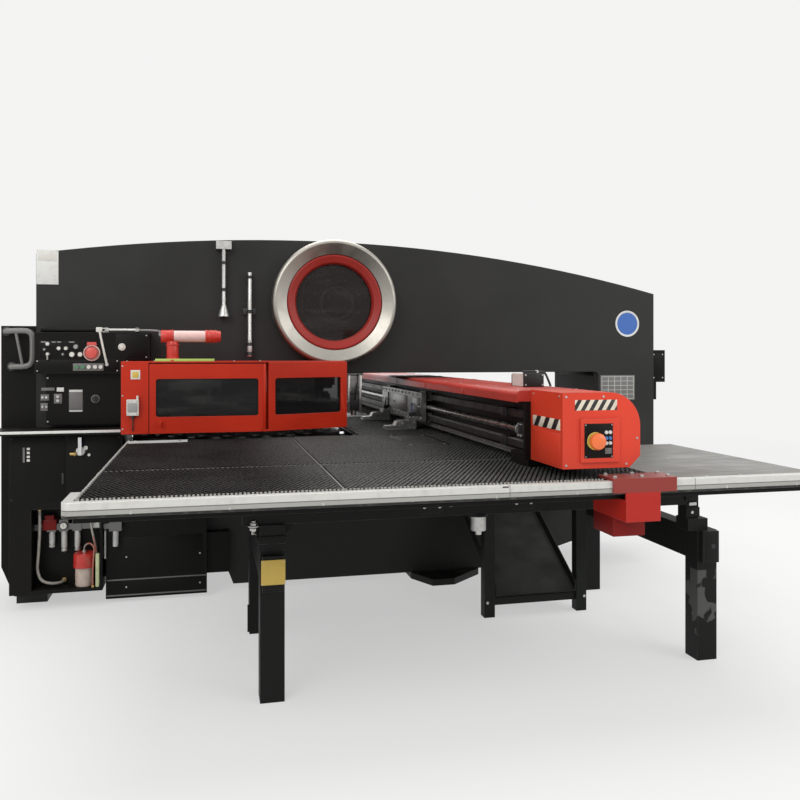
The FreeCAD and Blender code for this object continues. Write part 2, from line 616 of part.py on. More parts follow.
LAP = 2  # how far pieces that are fused reach into each other
PAST = 1  # how far a cutting tool passes the face that it opens
HOSE_BEND = 0.45  # share of the shorter run that a hose's bend takes up
THROUGH = S.crown_top * 2  # length of a pocket that passes everything


# ---------------------------------------------------------------- helpers


def bind(item, **properties):
    """Tie an object's properties to sheet expressions."""
    for name, value in properties.items():
        item.setExpression(name, as_size(value).text)
    return item


def place(item, at, rotation=None):
    """Place an object at a point, after an optional turn."""
    if rotation:
        item.Placement = FreeCAD.Placement(FreeCAD.Vector(), rotation)
    for letter, value in zip("xyz", at):
        item.setExpression(f"Placement.Base.{letter}", as_size(value).text)
    return item


def named(item, label):
    """Give a sub-part its label, which also names its file."""
    item.Label = label
    return item


def rotation(axis, degrees):
    """A rotation about x, y or z."""
    vectors = {"x": (1, 0, 0), "y": (0, 1, 0), "z": (0, 0, 1)}
    return FreeCAD.Rotation(FreeCAD.Vector(*vectors[axis]), degrees)


def box(low, high):
    """A box between two corners."""
    low = [as_size(value) for value in low]
    high = [as_size(value) for value in high]
    item = doc.addObject("Part::Box", "Box")
    bind(item, Length=high[0] - low[0], Width=high[1] - low[1], Height=high[2] - low[2])
    return place(item, low)


def rod(at, radius, length, axis="z"):
    """A cylinder that starts at a point and runs along +x, +y or +z."""
    turns = {"x": rotation("y", 90), "y": rotation("x", -90), "z": None}
    item = doc.addObject("Part::Cylinder", "Rod")
    bind(item, Radius=radius, Height=length)
    return place(item, at, turns[axis])


def cone(at, low_radius, high_radius, length, axis="z"):
    """A cone that starts at a point and runs along +x, +y or +z."""
    turns = {"x": rotation("y", 90), "y": rotation("x", -90), "z": None}
    item = doc.addObject("Part::Cone", "Cone")
    bind(item, Radius1=low_radius, Radius2=high_radius, Height=length)
    return place(item, at, turns[axis])


def join(*items):
    """Fuse solids that touch or overlap into one."""
    item = doc.addObject("Part::MultiFuse", "Join")
    item.Shapes = list(items)
    item.Refine = True
    return item


def cut(base, *tools):
    """Cut tools out of a base."""
    item = doc.addObject("Part::Cut", "Cut")
    item.Base = base
    item.Tool = tools[0] if len(tools) == 1 else group(*tools)
    return item


def group(*items):
    """Several separate solids of one sub-part."""
    item = doc.addObject("Part::Compound", "Group")
    item.Links = list(items)
    return item


def body_plane(body, role):
    """One of a body's own origin planes."""
    return next(item for item in body.Origin.OriginFeatures if item.Role == role)


class Outline:
    """A closed outline of straight and round steps, as constrained sketch geometry."""

    def __init__(self, start):
        self.start = start
        self.steps = []

    def line(self, across, along):
        """Go straight to a point."""
        self.steps.append((across, along, None))
        return self

    def arc(self, across, along, radius):
        """Go round to a point. A positive radius bulges to the right of the step."""
        self.steps.append((across, along, radius))
        return self

    def draw(self, sketch):
        """Add the outline to a sketch, each corner held by two expressions."""
        corners = [self.start] + [(step[0], step[1]) for step in self.steps]
        first = sketch.GeometryCount
        for index, (across, along, radius) in enumerate(self.steps):
            begin = point(corners[index])
            end = point((across, along))
            if radius is None:
                sketch.addGeometry(Part.LineSegment(begin, end))
                continue
            sketch.addGeometry(Part.Arc(begin, middle(begin, end, radius), end))
        for index in range(len(self.steps)):
            self.hold(sketch, first, index)

    def hold(self, sketch, first, index):
        """Hold the end of one step: its place, its radius and the next step's start."""
        across, along, radius = self.steps[index]
        geometry = first + index
        following = first + (index + 1) % len(self.steps)
        end = side_of(sketch, geometry, point((across, along)))
        begin = side_of(sketch, following, point((across, along)))
        sketch.addConstraint(Sketcher.Constraint("Coincident", geometry, end, following, begin))
        measure(sketch, "DistanceX", (-1, 1, geometry, end), across)
        measure(sketch, "DistanceY", (-1, 1, geometry, end), along)
        if radius is not None:
            size = as_size(radius)
            measure(sketch, "Radius", (geometry,), size if size.number > 0 else -size)


def point(pair):
    """A sketch point from two sizes."""
    return FreeCAD.Vector(as_size(pair[0]).number, as_size(pair[1]).number, 0)


def middle(begin, end, radius):
    """A point on the arc between two points. A positive radius bulges to the right."""
    size = as_size(radius).number
    chord = end - begin
    half = chord.Length / 2
    rise = abs(size) - math.sqrt(max(size * size - half * half, 0))
    right = FreeCAD.Vector(chord.y, -chord.x, 0).normalize()
    return (begin + end) * 0.5 + right * math.copysign(rise, size)


def side_of(sketch, geometry, spot):
    """Which end of a sketch edge, 1 or 2, lies at a point."""
    start = sketch.getPoint(geometry, 1)
    end = sketch.getPoint(geometry, 2)
    return 1 if (start - spot).Length < (end - spot).Length else 2


def measure(sketch, kind, ends, value):
    """Add a constraint and tie it to its expression."""
    size = as_size(value)
    index = sketch.addConstraint(Sketcher.Constraint(kind, *ends, size.number))
    sketch.setExpression(f"Constraints[{index}]", size.text)


class Circle:
    """A circle in a sketch, by its centre and radius."""

    def __init__(self, across, along, radius):
        self.centre = (across, along)
        self.radius = radius

    def draw(self, sketch):
        """Add the circle to a sketch."""
        geometry = Part.Circle(point(self.centre), FreeCAD.Vector(0, 0, 1), as_size(self.radius).number)
        index = sketch.addGeometry(geometry)
        measure(sketch, "DistanceX", (-1, 1, index, 3), self.centre[0])
        measure(sketch, "DistanceY", (-1, 1, index, 3), self.centre[1])
        measure(sketch, "Radius", (index,), self.radius)


def rectangle(left, low, right, high):
    """A rectangular outline."""
    return Outline((left, low)).line(right, low).line(right, high).line(left, high).line(left, low)


def rounded(left, low, right, high, radius):
    """A rectangular outline with round corners."""
    outline = Outline((left + radius, low)).line(right - radius, low)
    outline.arc(right, low + radius, radius).line(right, high - radius)
    outline.arc(right - radius, high, radius).line(left + radius, high)
    outline.arc(left, high - radius, radius).line(left, low + radius)
    return outline.arc(left + radius, low, radius)


def sketched(body, role, shapes):
    """A sketch of outlines and circles on one of a body's origin planes."""
    sketch = body.newObject("Sketcher::SketchObject", "Sketch")
    sketch.AttachmentSupport = [(body_plane(body, role), "")]
    sketch.MapMode = "FlatFace"
    for shape in shapes:
        shape.draw(sketch)
    return sketch


def padded(role, shapes, length, at=(0, 0, 0), symmetric=False):
    """A body padded from a sketch. An XZ_Plane pad runs towards -y."""
    body = doc.addObject("PartDesign::Body", "Body")
    pad = body.newObject("PartDesign::Pad", "Pad")
    pad.Profile = sketched(body, role, shapes)
    pad.SideType = "Symmetric" if symmetric else "One side"
    bind(pad, Length=length)
    body.Tip = pad
    return place(body, at)


def turned(shapes, at=(0, 0, 0), axis="z"):
    """A body turned about its own z axis from a half section of radius and height."""
    body = doc.addObject("PartDesign::Body", "Body")
    lathe = body.newObject("PartDesign::Revolution", "Revolution")
    sketch = sketched(body, "XZ_Plane", shapes)
    lathe.Profile = sketch
    lathe.ReferenceAxis = (sketch, ["V_Axis"])
    lathe.Angle = 360
    body.Tip = lathe
    turns = {"x": rotation("y", 90), "y": rotation("x", -90), "-y": rotation("x", 90), "z": None}
    return place(body, at, turns[axis])


def pocketed(body, role, shapes, length, symmetric=True, reverse=False):
    """Cut a pocket into a body and check that it removes something."""
    doc.recompute()
    before = body.Shape.Volume
    pocket = body.newObject("PartDesign::Pocket", "Pocket")
    pocket.Profile = sketched(body, role, shapes)
    pocket.SideType = "Symmetric" if symmetric else "One side"
    pocket.Reversed = reverse
    bind(pocket, Length=length)
    body.Tip = pocket
    doc.recompute()
    if body.Shape.Volume > before - 1:
        raise SystemExit(f"a pocket of {body.Label} removed nothing")
    return body


def both_sides(build):
    """Group a near piece, on the -y side, with its mirror on the far side."""
    near = build()
    far = doc.addObject("Part::Mirroring", "Mirror")
    far.Source = near
    far.Normal = FreeCAD.Vector(0, 1, 0)
    return group(near, far)


# ---------------------------------------------------------------- frame


def crown_height(across, drop):
    """The height of the curved crown over a place along x."""
    radius = S.crown_radius - drop
    offset = across - S.crown_place
    return S.crown_top - S.crown_radius + root(radius * radius - offset * offset)


def underside(inset):
    """The corners of the frame's underside from the front to the rear, drawn in by an inset."""
    floor = S.frame_floor + inset
    sole = S.pad_thick + inset
    rear = S.frame_rear - inset
    slope = S.tail_rise / (S.frame_rear - S.sole_rear)
    lift = inset * root(slope * slope + 1)
    return (
        (S.frame_front + inset, floor),
        (S.sole_front - S.sole_step + inset, floor),
        (S.sole_front + inset, sole),
        (S.sole_rear - (lift - inset) / slope, sole),
        (rear, S.pad_thick + slope * (rear - S.sole_rear) + lift),
    )


def frame_outline(inset):
    """The frame's outside, drawn in by an inset."""
    front = S.frame_front + inset
    rear = S.frame_rear - inset
    corners = underside(inset)
    outline = Outline(corners[0])
    for across, up in corners[1:]:
        outline.line(across, up)
    outline.line(rear, crown_height(rear, inset))
    outline.arc(front, crown_height(front, inset), S.crown_radius - inset)
    return outline.line(*corners[0])


def window_outline(grown):
    """The frame's window, grown by a wall."""
    return rounded(
        S.window_front - grown,
        S.window_floor - grown,
        S.window_rear + grown,
        S.window_roof + grown,
        S.window_corner + grown,
    )


def near_side_plate():
    port = Circle(S.crank_place, S.crank_high, S.port_radius)
    shapes = [frame_outline(as_size(0)), window_outline(as_size(0)), port]
    return padded("XZ_Plane", shapes, S.plate_thick, (0, -S.frame_thick / 2 + S.plate_thick, 0))


def far_side_plate():
    shapes = [frame_outline(as_size(0)), window_outline(as_size(0))]
    return padded("XZ_Plane", shapes, S.plate_thick, (0, S.frame_thick / 2, 0))


def web_depth():
    """The distance between the two side plates."""
    return S.frame_thick - S.plate_thick * 2


def frame_rim():
    """The plates between the side plates, with the middle anchor holes through the sole."""
    shapes = [frame_outline(as_size(0)), frame_outline(S.rim_thick)]
    rim = padded("XZ_Plane", shapes, web_depth(), symmetric=True)
    holes = [Circle(0, sign * S.pad_anchor, S.anchor_hole / 2) for sign in (-1, 1)]
    return pocketed(rim, "XY_Plane", holes, (S.pad_thick + S.rim_thick + PAST) * 2)


def window_lining():
    """The plates round the window, bored for the ram guide and the turret shafts."""
    shapes = [window_outline(S.rim_thick), window_outline(as_size(0))]
    lining = padded("XZ_Plane", shapes, web_depth(), symmetric=True)
    shaft = Circle(S.turret_place, 0, S.shaft_radius + S.free_gap)
    pocketed(lining, "XY_Plane", [shaft], THROUGH)
    roof = Circle(0, 0, S.ram_radius + S.guide_wall + S.fit_gap * 2)
    return pocketed(lining, "XY_Plane", [roof], THROUGH, symmetric=False, reverse=True)


def front_feet():
    """A foot under each front corner of the frame, bored for an anchor inside the front box."""

    def near():
        near_face = -S.toe_reach
        far_face = near_face + S.toe_wide
        toe = box((S.toe_front, near_face, 0), (S.toe_rear, far_face, S.toe_high))
        block = box((S.frame_front, near_face, 0), (S.toe_rear, far_face, S.frame_floor))
        spot = (S.frame_front - S.toe_ahead, -S.toe_anchor, -PAST)
        return cut(join(toe, block), rod(spot, S.anchor_hole / 2, S.toe_high + PAST * 2))

    return both_sides(near)


def middle_pad():
    """The pad under the punch centre, bored for two anchors that come through the sole."""
    half = S.pad_long / 2
    pad = box((-half, -S.pad_reach, 0), (half, S.pad_reach, S.pad_thick))
    holes = []
    for sign in (-1, 1):
        holes.append(rod((0, sign * S.pad_anchor, -PAST), S.anchor_hole / 2, S.pad_thick + PAST * 2))
    return cut(pad, *holes)


def rear_feet():
    """A foot under each side plate, tapered outwards to its anchor hole."""

    def near():
        face = -S.frame_thick / 2
        inner = face + S.ear_inner
        outer = face - S.ear_reach
        line = Outline((S.ear_front, inner)).line(S.ear_front, face)
        line.line(S.ear_place - S.ear_half, outer).line(S.ear_place + S.ear_half, outer)
        line.line(S.ear_rear, face).line(S.ear_rear, inner).line(S.ear_front, inner)
        hole = Circle(S.ear_place, face - S.ear_anchor, S.anchor_hole / 2)
        return padded("XY_Plane", [line, hole], S.pad_thick)

    return both_sides(near)


def foot_pads():
    """Everything that the frame stands on."""
    return group(front_feet(), middle_pad(), rear_feet())


def front_box():
    """The tall cover box before the frame, slanted at its foot and open towards the frame."""
    half = S.frame_thick / 2 - S.front_inset

    def solid(inset, rear, low):
        front = S.frame_front - S.front_deep + inset
        top = S.front_high - inset
        slant = S.toe_high + S.front_cut_high
        line = Outline((rear, low)).line(rear, top).line(front, top).line(front, slant)
        line.line(front + S.front_cut, low).line(rear, low)
        return padded("XZ_Plane", [line], (half - inset) * 2, symmetric=True)

    shell = solid(as_size(0), S.frame_front, S.toe_high)
    return cut(shell, solid(S.sheet_metal, S.frame_front + PAST, S.toe_high - PAST))


def rear_electrics_box():
    """The stepped box on the frame's rear end, open towards the frame."""
    half = S.frame_thick / 2 - S.box_inset
    top = S.window_roof + S.box_rise
    start = S.frame_rear
    waist = top - S.box_high
    low = waist - S.box_foot
    wall = S.sheet_metal
    upper = box((start, -half, waist), (start + S.box_deep, half, top))
    lower = box((start, -half, low), (start + S.box_foot_deep, half, waist))
    upper_low = (start - PAST, -half + wall, waist + wall)
    upper_room = box(upper_low, (start + S.box_deep - wall, half - wall, top - wall))
    lower_high = (start + S.box_foot_deep - wall, half - wall, waist + wall)
    lower_room = box((start - PAST, -half + wall, low + wall), lower_high)
    return cut(join(upper, lower), upper_room, lower_room)


def front_pedestal():
    """The low cover in front of the frame's foot, beside the air cabinet."""
    face = -S.frame_thick / 2
    wall = S.sheet_metal
    front = face - S.pedestal_reach
    case = box((S.pedestal_front, front, S.pedestal_low), (S.pedestal_rear, face, S.pedestal_high))
    room_low = (S.pedestal_front + wall, front + wall, S.pedestal_low - PAST)
    room = box(room_low, (S.pedestal_rear - wall, face + PAST, S.pedestal_high - wall))
    end = S.pedestal_rear + S.ledge_long
    ledge_front = face - S.ledge_reach
    top = S.pedestal_high - S.ledge_drop
    ledge = box((S.pedestal_rear - wall, ledge_front, S.ledge_low), (end, face, top))
    ledge_room_low = (S.pedestal_rear, ledge_front + wall, S.ledge_low - PAST)
    ledge_room = box(ledge_room_low, (end - wall, face + PAST, top - wall))
    return cut(join(case, ledge), room, ledge_room)


# ---------------------------------------------------------------- drive


def drive_cover_ring():
    """The bright ring: a deep rounded hoop whose face slopes in to the bezel."""
    outer = S.cover_radius
    inner = S.bezel_radius + S.bezel_gap
    nose = S.cover_nose
    outline = Outline((inner, 0)).line(outer - S.cover_bevel, 0).line(outer, S.cover_bevel)
    outline.line(outer, S.cover_deep - nose)
    outline.arc(outer - nose, S.cover_deep, nose)
    outline.line(inner, S.bezel_deep).line(inner, 0)
    return turned([outline], (0, -S.frame_thick / 2, S.cover_high), "-y")


def drive_cover_bezel():
    """The bezel inside the ring, with a slope down to the pane."""
    inner = S.pane_radius
    outer = S.bezel_radius
    deep = S.bezel_deep
    nose = S.bezel_nose
    outline = Outline((inner, 0)).line(outer, 0).line(outer, deep - nose)
    outline.arc(outer - nose, deep, nose).line(inner + S.bezel_slope, deep - S.bezel_dip)
    outline.line(inner, deep - S.bezel_throat).line(inner, 0)
    return turned([outline], (0, -S.frame_thick / 2, S.cover_high), "-y")


def drive_window():
    """The domed round pane inside the bezel."""
    edge = S.pane_radius - S.pane_play
    low = S.bezel_deep - S.pane_seat
    radius = (edge * edge + S.pane_rise * S.pane_rise) / (S.pane_rise * 2)
    outline = Outline((as_size(0), low)).line(edge, low).line(edge, low + S.pane_thick)
    outline.arc(0, low + S.pane_thick + S.pane_rise, radius).line(0, low)
    return turned([outline], (0, -S.frame_thick / 2, S.cover_high), "-y")


def drive_motor():
    """The crank motor: its flange is bolted inside the near side plate."""
    inside = -S.frame_thick / 2 + S.plate_thick
    flange = rod((S.crank_place, inside, S.crank_high), S.motor_flange, S.flange_thick, "y")
    start = inside + S.flange_thick - S.motor_long
    case = rod((S.crank_place, start, S.crank_high), S.motor_radius, S.motor_long, "y")
    nose = rod((S.crank_place, start - S.motor_nose, S.crank_high), S.nose_radius, S.motor_nose + PAST, "y")
    fins = []
    for step in range(int(S.fin_count.number)):
        across, up = turn(S.motor_radius, 360 / S.fin_count * step)
        spot = (S.crank_place + across, start + S.fin_inset, S.crank_high + up)
        fins.append(rod(spot, S.fin_radius, S.motor_long - S.flange_thick - S.fin_inset, "y"))
    bore_start = (S.crank_place, -crank_end() - PAST, S.crank_high)
    bore = rod(bore_start, S.journal_radius + S.fit_gap, S.crank_seat + PAST * 2, "y")
    return cut(join(flange, case, nose, *fins), bore)


def crank_end():
    """The y distance of the crankshaft's ends."""
    return web_depth() / 2 - S.flange_thick + S.crank_seat


def crankshaft():
    """Two journals and an eccentric crankpin between two round webs."""
    half = S.crankpin_wide / 2
    long = crank_end() - half
    pin_start = (S.crank_place - S.crank_throw, -half, S.crank_high)
    pieces = [rod(pin_start, S.crankpin_radius, S.crankpin_wide, "y")]
    for start in (-crank_end(), half):
        pieces.append(rod((S.crank_place, start, S.crank_high), S.journal_radius, long, "y"))
    for start in (-half - S.web_thick, half):
        pieces.append(rod((S.crank_place, start, S.crank_high), S.web_radius, S.web_thick, "y"))
    return join(*pieces)


def crank_bearing():
    """The far bearing block that carries the crankshaft's other end."""
    far = web_depth() / 2
    half = S.bearing_side / 2
    near = far - S.bearing_deep
    corner = (S.crank_place + half, far, S.crank_high + half)
    block = box((S.crank_place - half, near, S.crank_high - half), corner)
    bore_start = (S.crank_place, near - PAST, S.crank_high)
    return cut(block, rod(bore_start, S.journal_radius + S.fit_gap, S.bearing_deep + PAST * 2, "y"))


def connecting_rod():
    """The rod from the crankpin to the wrist pin, with a free gap round the crankpin."""
    bore = S.crankpin_radius + S.bigend_slack
    top = rod((0, -S.rod_wide / 2, S.crank_high), bore + S.bigend_wall, S.rod_wide, "y")
    foot = rod((0, -S.smallend_wide / 2, S.wrist_high), S.smallend_radius, S.smallend_wide, "y")
    shank_low = (-S.shank_half, -S.smallend_wide / 2, S.wrist_high)
    shank = box(shank_low, (S.shank_half, S.smallend_wide / 2, S.crank_high))
    top_bore = rod((0, -S.rod_wide / 2 - PAST, S.crank_high), bore, S.rod_wide + PAST * 2, "y")
    foot_start = (0, -S.smallend_wide / 2 - PAST, S.wrist_high)
    foot_bore = rod(foot_start, S.wrist_radius + S.fit_gap, S.smallend_wide + PAST * 2, "y")
    return cut(join(top, foot, shank), top_bore, foot_bore)


def ram():
    """The round ram with a fork and wrist pin at its head."""
    barrel = rod((0, 0, S.ram_foot), S.ram_radius, S.ram_shoulder - S.ram_foot + S.fork_root)
    fork_top = S.wrist_high + S.wrist_radius + S.fork_rise
    side = S.ram_radius
    fork = box((-S.fork_half, -side, S.ram_shoulder), (S.fork_half, side, fork_top))
    gap = S.smallend_wide / 2 + S.fork_play
    slot_low = S.wrist_high - S.smallend_radius - S.fork_floor
    slot = box((-side, -gap, slot_low), (side, gap, fork_top + PAST))
    pin = rod((0, -side, S.wrist_high), S.wrist_radius, side * 2, "y")
    return join(cut(join(barrel, fork), slot), pin)


def ram_guide():
    """The flanged bush in the frame's upper beam."""
    bore = S.ram_radius + S.fit_gap
    outer = S.ram_radius + S.guide_wall
    bush = rod((0, 0, S.guide_low), outer, S.guide_top - S.guide_low)
    flange_low = S.window_roof + S.rim_thick
    flange = rod((0, 0, flange_low), outer + S.guide_rim, S.guide_top - flange_low)
    hole = rod((0, 0, S.guide_low - PAST), bore, S.guide_top - S.guide_low + PAST * 2)
    return cut(join(bush, flange), hole)


def striker():
    """The striker under the ram, with a bevelled nose."""
    low = S.ram_foot - S.striker_thick
    outline = Outline((as_size(0), as_size(0))).line(S.striker_radius - S.striker_bevel, 0)
    outline.line(S.striker_radius, S.striker_bevel).line(S.striker_radius, S.striker_thick)
    outline.line(0, S.striker_thick).line(0, 0)
    return turned([outline], (0, 0, low))


# ---------------------------------------------------------------- turret


def stations():
    """The angle and the radius of each station on both rings."""
    rings = ((S.outer_count, S.track_radius), (S.inner_count, S.inner_track))
    for count, radius in rings:
        for step in range(int(count.number)):
            yield radius, 360 / count * step


def station_points():
    """The place of each station under the ram's track."""
    for radius, angle in stations():
        across, along = turn(radius, angle)
        yield S.turret_place + across, along


def turret_disc(section):
    """A turned turret disc with a bore for each holder."""
    disc = turned([section], (S.turret_place, 0, 0))
    for count, radius in ((S.outer_count, S.track_radius), (S.inner_count, S.inner_track)):
        doc.recompute()
        pocket = disc.newObject("PartDesign::Pocket", "Stations")
        pocket.Profile = sketched(disc, "XY_Plane", [Circle(radius, 0, S.holder_radius + S.fit_gap)])
        pocket.SideType = "Symmetric"
        bind(pocket, Length=THROUGH)
        pattern = disc.newObject("PartDesign::PolarPattern", "StationPattern")
        pattern.Originals = [pocket]
        pattern.Axis = (body_plane(disc, "Z_Axis"), [""])
        pattern.Angle = 360
        bind(pattern, Occurrences=count)
        disc.Tip = pattern
    return disc


def upper_turret():
    """The upper turret with its hub and the shaft up into its gearmotor."""
    low = S.turret_low
    top = S.turret_low + S.turret_thick
    bevel = S.turret_bevel
    outline = Outline((as_size(0), low)).line(S.turret_radius - bevel, low)
    outline.line(S.turret_radius, low + bevel).line(S.turret_radius, top - bevel)
    outline.line(S.turret_radius - bevel, top).line(S.hub_radius, top)
    hub_top = S.window_roof - S.upper_gap
    outline.line(S.hub_radius, hub_top).line(S.shaft_radius, hub_top)
    shaft_top = S.window_roof + S.rim_thick + S.shaft_reach
    outline.line(S.shaft_radius, shaft_top).line(0, shaft_top).line(0, low)
    return turret_disc(outline)


def lower_turret():
    """The lower turret with its hub and the shaft down into its gearmotor."""
    top = S.die_high
    low = S.die_high - S.die_thick
    bevel = S.die_bevel
    shaft_low = S.window_floor - S.rim_thick - S.shaft_reach
    hub_low = S.window_floor + S.lower_gap
    outline = Outline((as_size(0), top)).line(0, shaft_low).line(S.shaft_radius, shaft_low)
    outline.line(S.shaft_radius, hub_low).line(S.hub_radius, hub_low)
    outline.line(S.hub_radius, low).line(S.turret_radius - bevel, low)
    outline.line(S.turret_radius, low + bevel).line(S.turret_radius, top - bevel)
    outline.line(S.turret_radius - bevel, top).line(0, top)
    return turret_disc(outline)


def punch_holders():
    """A punch holder with a stepped head in each station of the upper turret."""
    holders = []
    low = S.turret_low - S.holder_drop
    neck = S.holder_top - S.head_high
    for across, along in station_points():
        barrel = rod((across, along, low), S.holder_radius, neck - low)
        head = rod((across, along, neck), S.head_radius, S.head_high)
        holders.append(join(barrel, head))
    return group(*holders)


def die_holders():
    """A die holder with its hole in each station of the lower turret."""
    holders = []
    low = S.die_high - S.die_thick + S.die_floor
    high = S.die_high + S.die_rise
    for across, along in station_points():
        sleeve = rod((across, along, low), S.holder_radius, high - low)
        hole = rod((across, along, low - PAST), S.die_bore, high - low + PAST * 2)
        holders.append(cut(sleeve, hole))
    return group(*holders)


def gearmotor(start, sense):
    """A turret gearmotor on its flange. Sense is 1 upwards and -1 downwards."""
    half = S.gearmotor_wide / 2
    far = start + S.gearmotor_high * sense
    low, high = (start, far) if sense > 0 else (far, start)
    case = box((S.turret_place - half, -half, low), (S.turret_place + half, half, high))
    cap_low = far if sense > 0 else far - S.gearcap_high
    cap = rod((S.turret_place, 0, cap_low), S.gearcap_radius, S.gearcap_high)
    depth = S.shaft_reach + S.shaft_end
    bore_low = start - PAST if sense > 0 else start - depth
    bore = rod((S.turret_place, 0, bore_low), S.shaft_radius + S.fit_gap, depth + PAST)
    return cut(join(case, cap), bore)


def turret_gearmotors():
    """One gearmotor over the frame's window and one under it."""
    upper = gearmotor(S.window_roof + S.rim_thick, 1)
    lower = gearmotor(S.window_floor - S.rim_thick, -1)
    return group(upper, lower)


# ---------------------------------------------------------------- turret guard


def guard_slope():
    """The length and the angle in degrees of the guard's slanted rear panel."""
    across = S.guard_rear - S.guard_bend
    along = S.guard_reach - S.guard_tuck
    length = root(across * across + along * along)
    angle = math.degrees(math.atan2(along.number, across.number))
    return length, angle


def framed_panel(length, low, high, border):
    """A panel with a pane opening: x from 0 to its length, thickness towards -y."""
    shapes = [
        rectangle(as_size(0), low, length, high),
        rounded(border, S.pane_low, length - border, S.pane_high, S.pane_corner),
    ]
    return padded("XZ_Plane", shapes, S.guard_thick)


def slanted(item, side):
    """Stand a panel along the guard's slanted rear face."""
    angle = guard_slope()[1]
    where = (S.guard_bend, (-S.guard_reach + S.guard_thick) * -side, 0)
    return place(item, where, rotation("z", angle * -side))


def guard_head():
    """The z where the guard's upright pieces end, inside its roof."""
    return S.guard_high - S.roof_sheet + LAP


def guard_shell():
    """The near guard without its door: post, stop strip, roof, slanted panel and end walls."""
    face = -S.guard_reach
    inner = face + S.guard_thick
    frame_face = -S.frame_thick / 2
    low = S.guard_low
    top = guard_head()
    post_end = S.guard_front + S.guard_post
    post = box((S.guard_front, face, low), (post_end, inner, top))
    stop_face = inner + S.door_gap
    stop_back = stop_face + S.stop_thick
    stop = box((post_end - LAP, stop_face, low), (post_end + S.stop_wide, stop_back, top))
    web = box((post_end - S.stop_thick, inner - LAP, low), (post_end, stop_back, top))
    side_wall = box((S.guard_front, inner - LAP, low), (S.guard_front + S.end_sheet, frame_face, top))
    roof_line = Outline((S.guard_front, face)).line(S.guard_bend, face)
    roof_line.line(S.guard_rear, -S.guard_tuck).line(S.guard_rear, frame_face)
    roof_line.line(S.guard_front, frame_face).line(S.guard_front, face)
    roof = padded("XY_Plane", [roof_line], S.roof_sheet, (0, 0, S.guard_high - S.roof_sheet))
    panel = slanted(framed_panel(guard_slope()[0], low, top, S.pane_side), -1)
    end_start = (S.guard_rear - S.end_sheet, -S.guard_tuck + S.guard_thick / 2, low)
    end_wall = box(end_start, (S.guard_rear, frame_face, top))
    return [post, stop, web, side_wall, roof, panel, end_wall]


def door_hinge():
    """The guard door's hinge pin, its upper ear on the roof and its lower ear."""
    across = door_edges()[1]
    face = -S.guard_reach
    low = S.guard_low
    top = low + S.ear_thick
    pin = rod((across, face, low), S.hinge_pin, S.guard_high - low)
    upper = rod((across, face, S.guard_high - S.roof_sheet), S.ear_wide, S.roof_sheet)
    lower = rod((across, face, low), S.ear_wide, S.ear_thick)
    web = box((across + S.door_gap, face, low), (S.guard_bend + S.ear_wide, face + S.guard_thick, top))
    return [pin, upper, lower, web]


def guard_frames():
    """The near guard, cut clear of the drive cover, and the far guard with a fixed front panel."""
    ring_start = (0, -S.frame_thick / 2 - S.cover_deep - S.ring_gap, S.cover_high)
    ring_room = rod(ring_start, S.cover_radius + S.ring_gap, S.cover_deep + S.ring_gap + PAST, "y")
    near = cut(join(*guard_shell(), *door_hinge()), ring_room)
    front = S.guard_front + S.guard_post - LAP
    panel = framed_panel(S.guard_bend - front, S.guard_low, guard_head(), S.pane_side)
    place(panel, (front, -S.guard_reach + S.guard_thick, 0))
    middle_line = -S.guard_reach + S.guard_thick / 2
    corner_high = guard_head() - S.guard_low
    corner = rod((S.guard_bend, middle_line, S.guard_low), S.guard_thick / 2 + LAP, corner_high)
    far = doc.addObject("Part::Mirroring", "Mirror")
    far.Source = join(*guard_shell(), panel, corner)
    far.Normal = FreeCAD.Vector(0, 1, 0)
    return group(near, far)


def pane_sheet(length, border):
    """A pane that fills a framed panel's opening, in the panel's own place."""
    gap = S.pane_play
    low = S.pane_low + gap
    high = S.pane_high - gap
    shape = rounded(border + gap, low, length - border - gap, high, S.pane_corner - gap)
    return padded("XZ_Plane", [shape], S.sheet_pane)


def guard_windows():
    """The fixed panes: both slanted panels and the far front panel."""
    length, angle = guard_slope()
    near = pane_sheet(length, S.pane_side)
    depth = S.guard_thick / 2 - S.sheet_pane / 2
    shift = turn(depth, angle + 90)
    near_y = -S.guard_reach + S.guard_thick - shift[1]
    place(near, (S.guard_bend - shift[0], near_y, 0), rotation("z", angle))
    mirrored = doc.addObject("Part::Mirroring", "Mirror")
    mirrored.Source = near
    mirrored.Normal = FreeCAD.Vector(0, 1, 0)
    start = S.guard_front + S.guard_post - LAP
    front = pane_sheet(S.guard_bend - start, S.pane_side)
    place(front, (start, S.guard_reach - depth, 0))
    return group(near, mirrored, front)


def door_edges():
    """The x of the guard door's two edges."""
    front = S.guard_front + S.guard_post + S.door_gap
    rear = S.guard_bend - S.door_gap - S.hinge_radius
    return front, rear


def guard_door():
    """The near door, hung on a barrel hinge at its rear edge."""
    front, rear = door_edges()
    top = S.guard_high - S.door_head
    face = -S.guard_reach
    panel = framed_panel(rear - front, S.guard_low, top, S.door_side)
    place(panel, (front, face + S.guard_thick, 0))
    grip_low = S.pane_low - S.handle_drop
    across = front + S.handle_place
    handle = rod((across, face - S.handle_out, grip_low), S.handle_radius, S.handle_long)
    pieces = [panel, handle]
    for up in (grip_low + S.handle_radius, grip_low + S.handle_long - S.handle_radius):
        pieces.append(rod((across, face - S.handle_out, up), S.stalk_radius, S.handle_out + LAP, "y"))
    pieces.append(rod((rear, face, S.guard_low), S.hinge_radius, top - S.guard_low))
    bore_long = top - S.guard_low + PAST * 2
    bore = rod((rear, face, S.guard_low - PAST), S.hinge_pin + S.fit_gap, bore_long)
    ear_room = rod((rear, face, S.guard_low - PAST), S.ear_wide + LAP, S.ear_thick + LAP + PAST)
    return cut(join(*pieces), bore, ear_room)


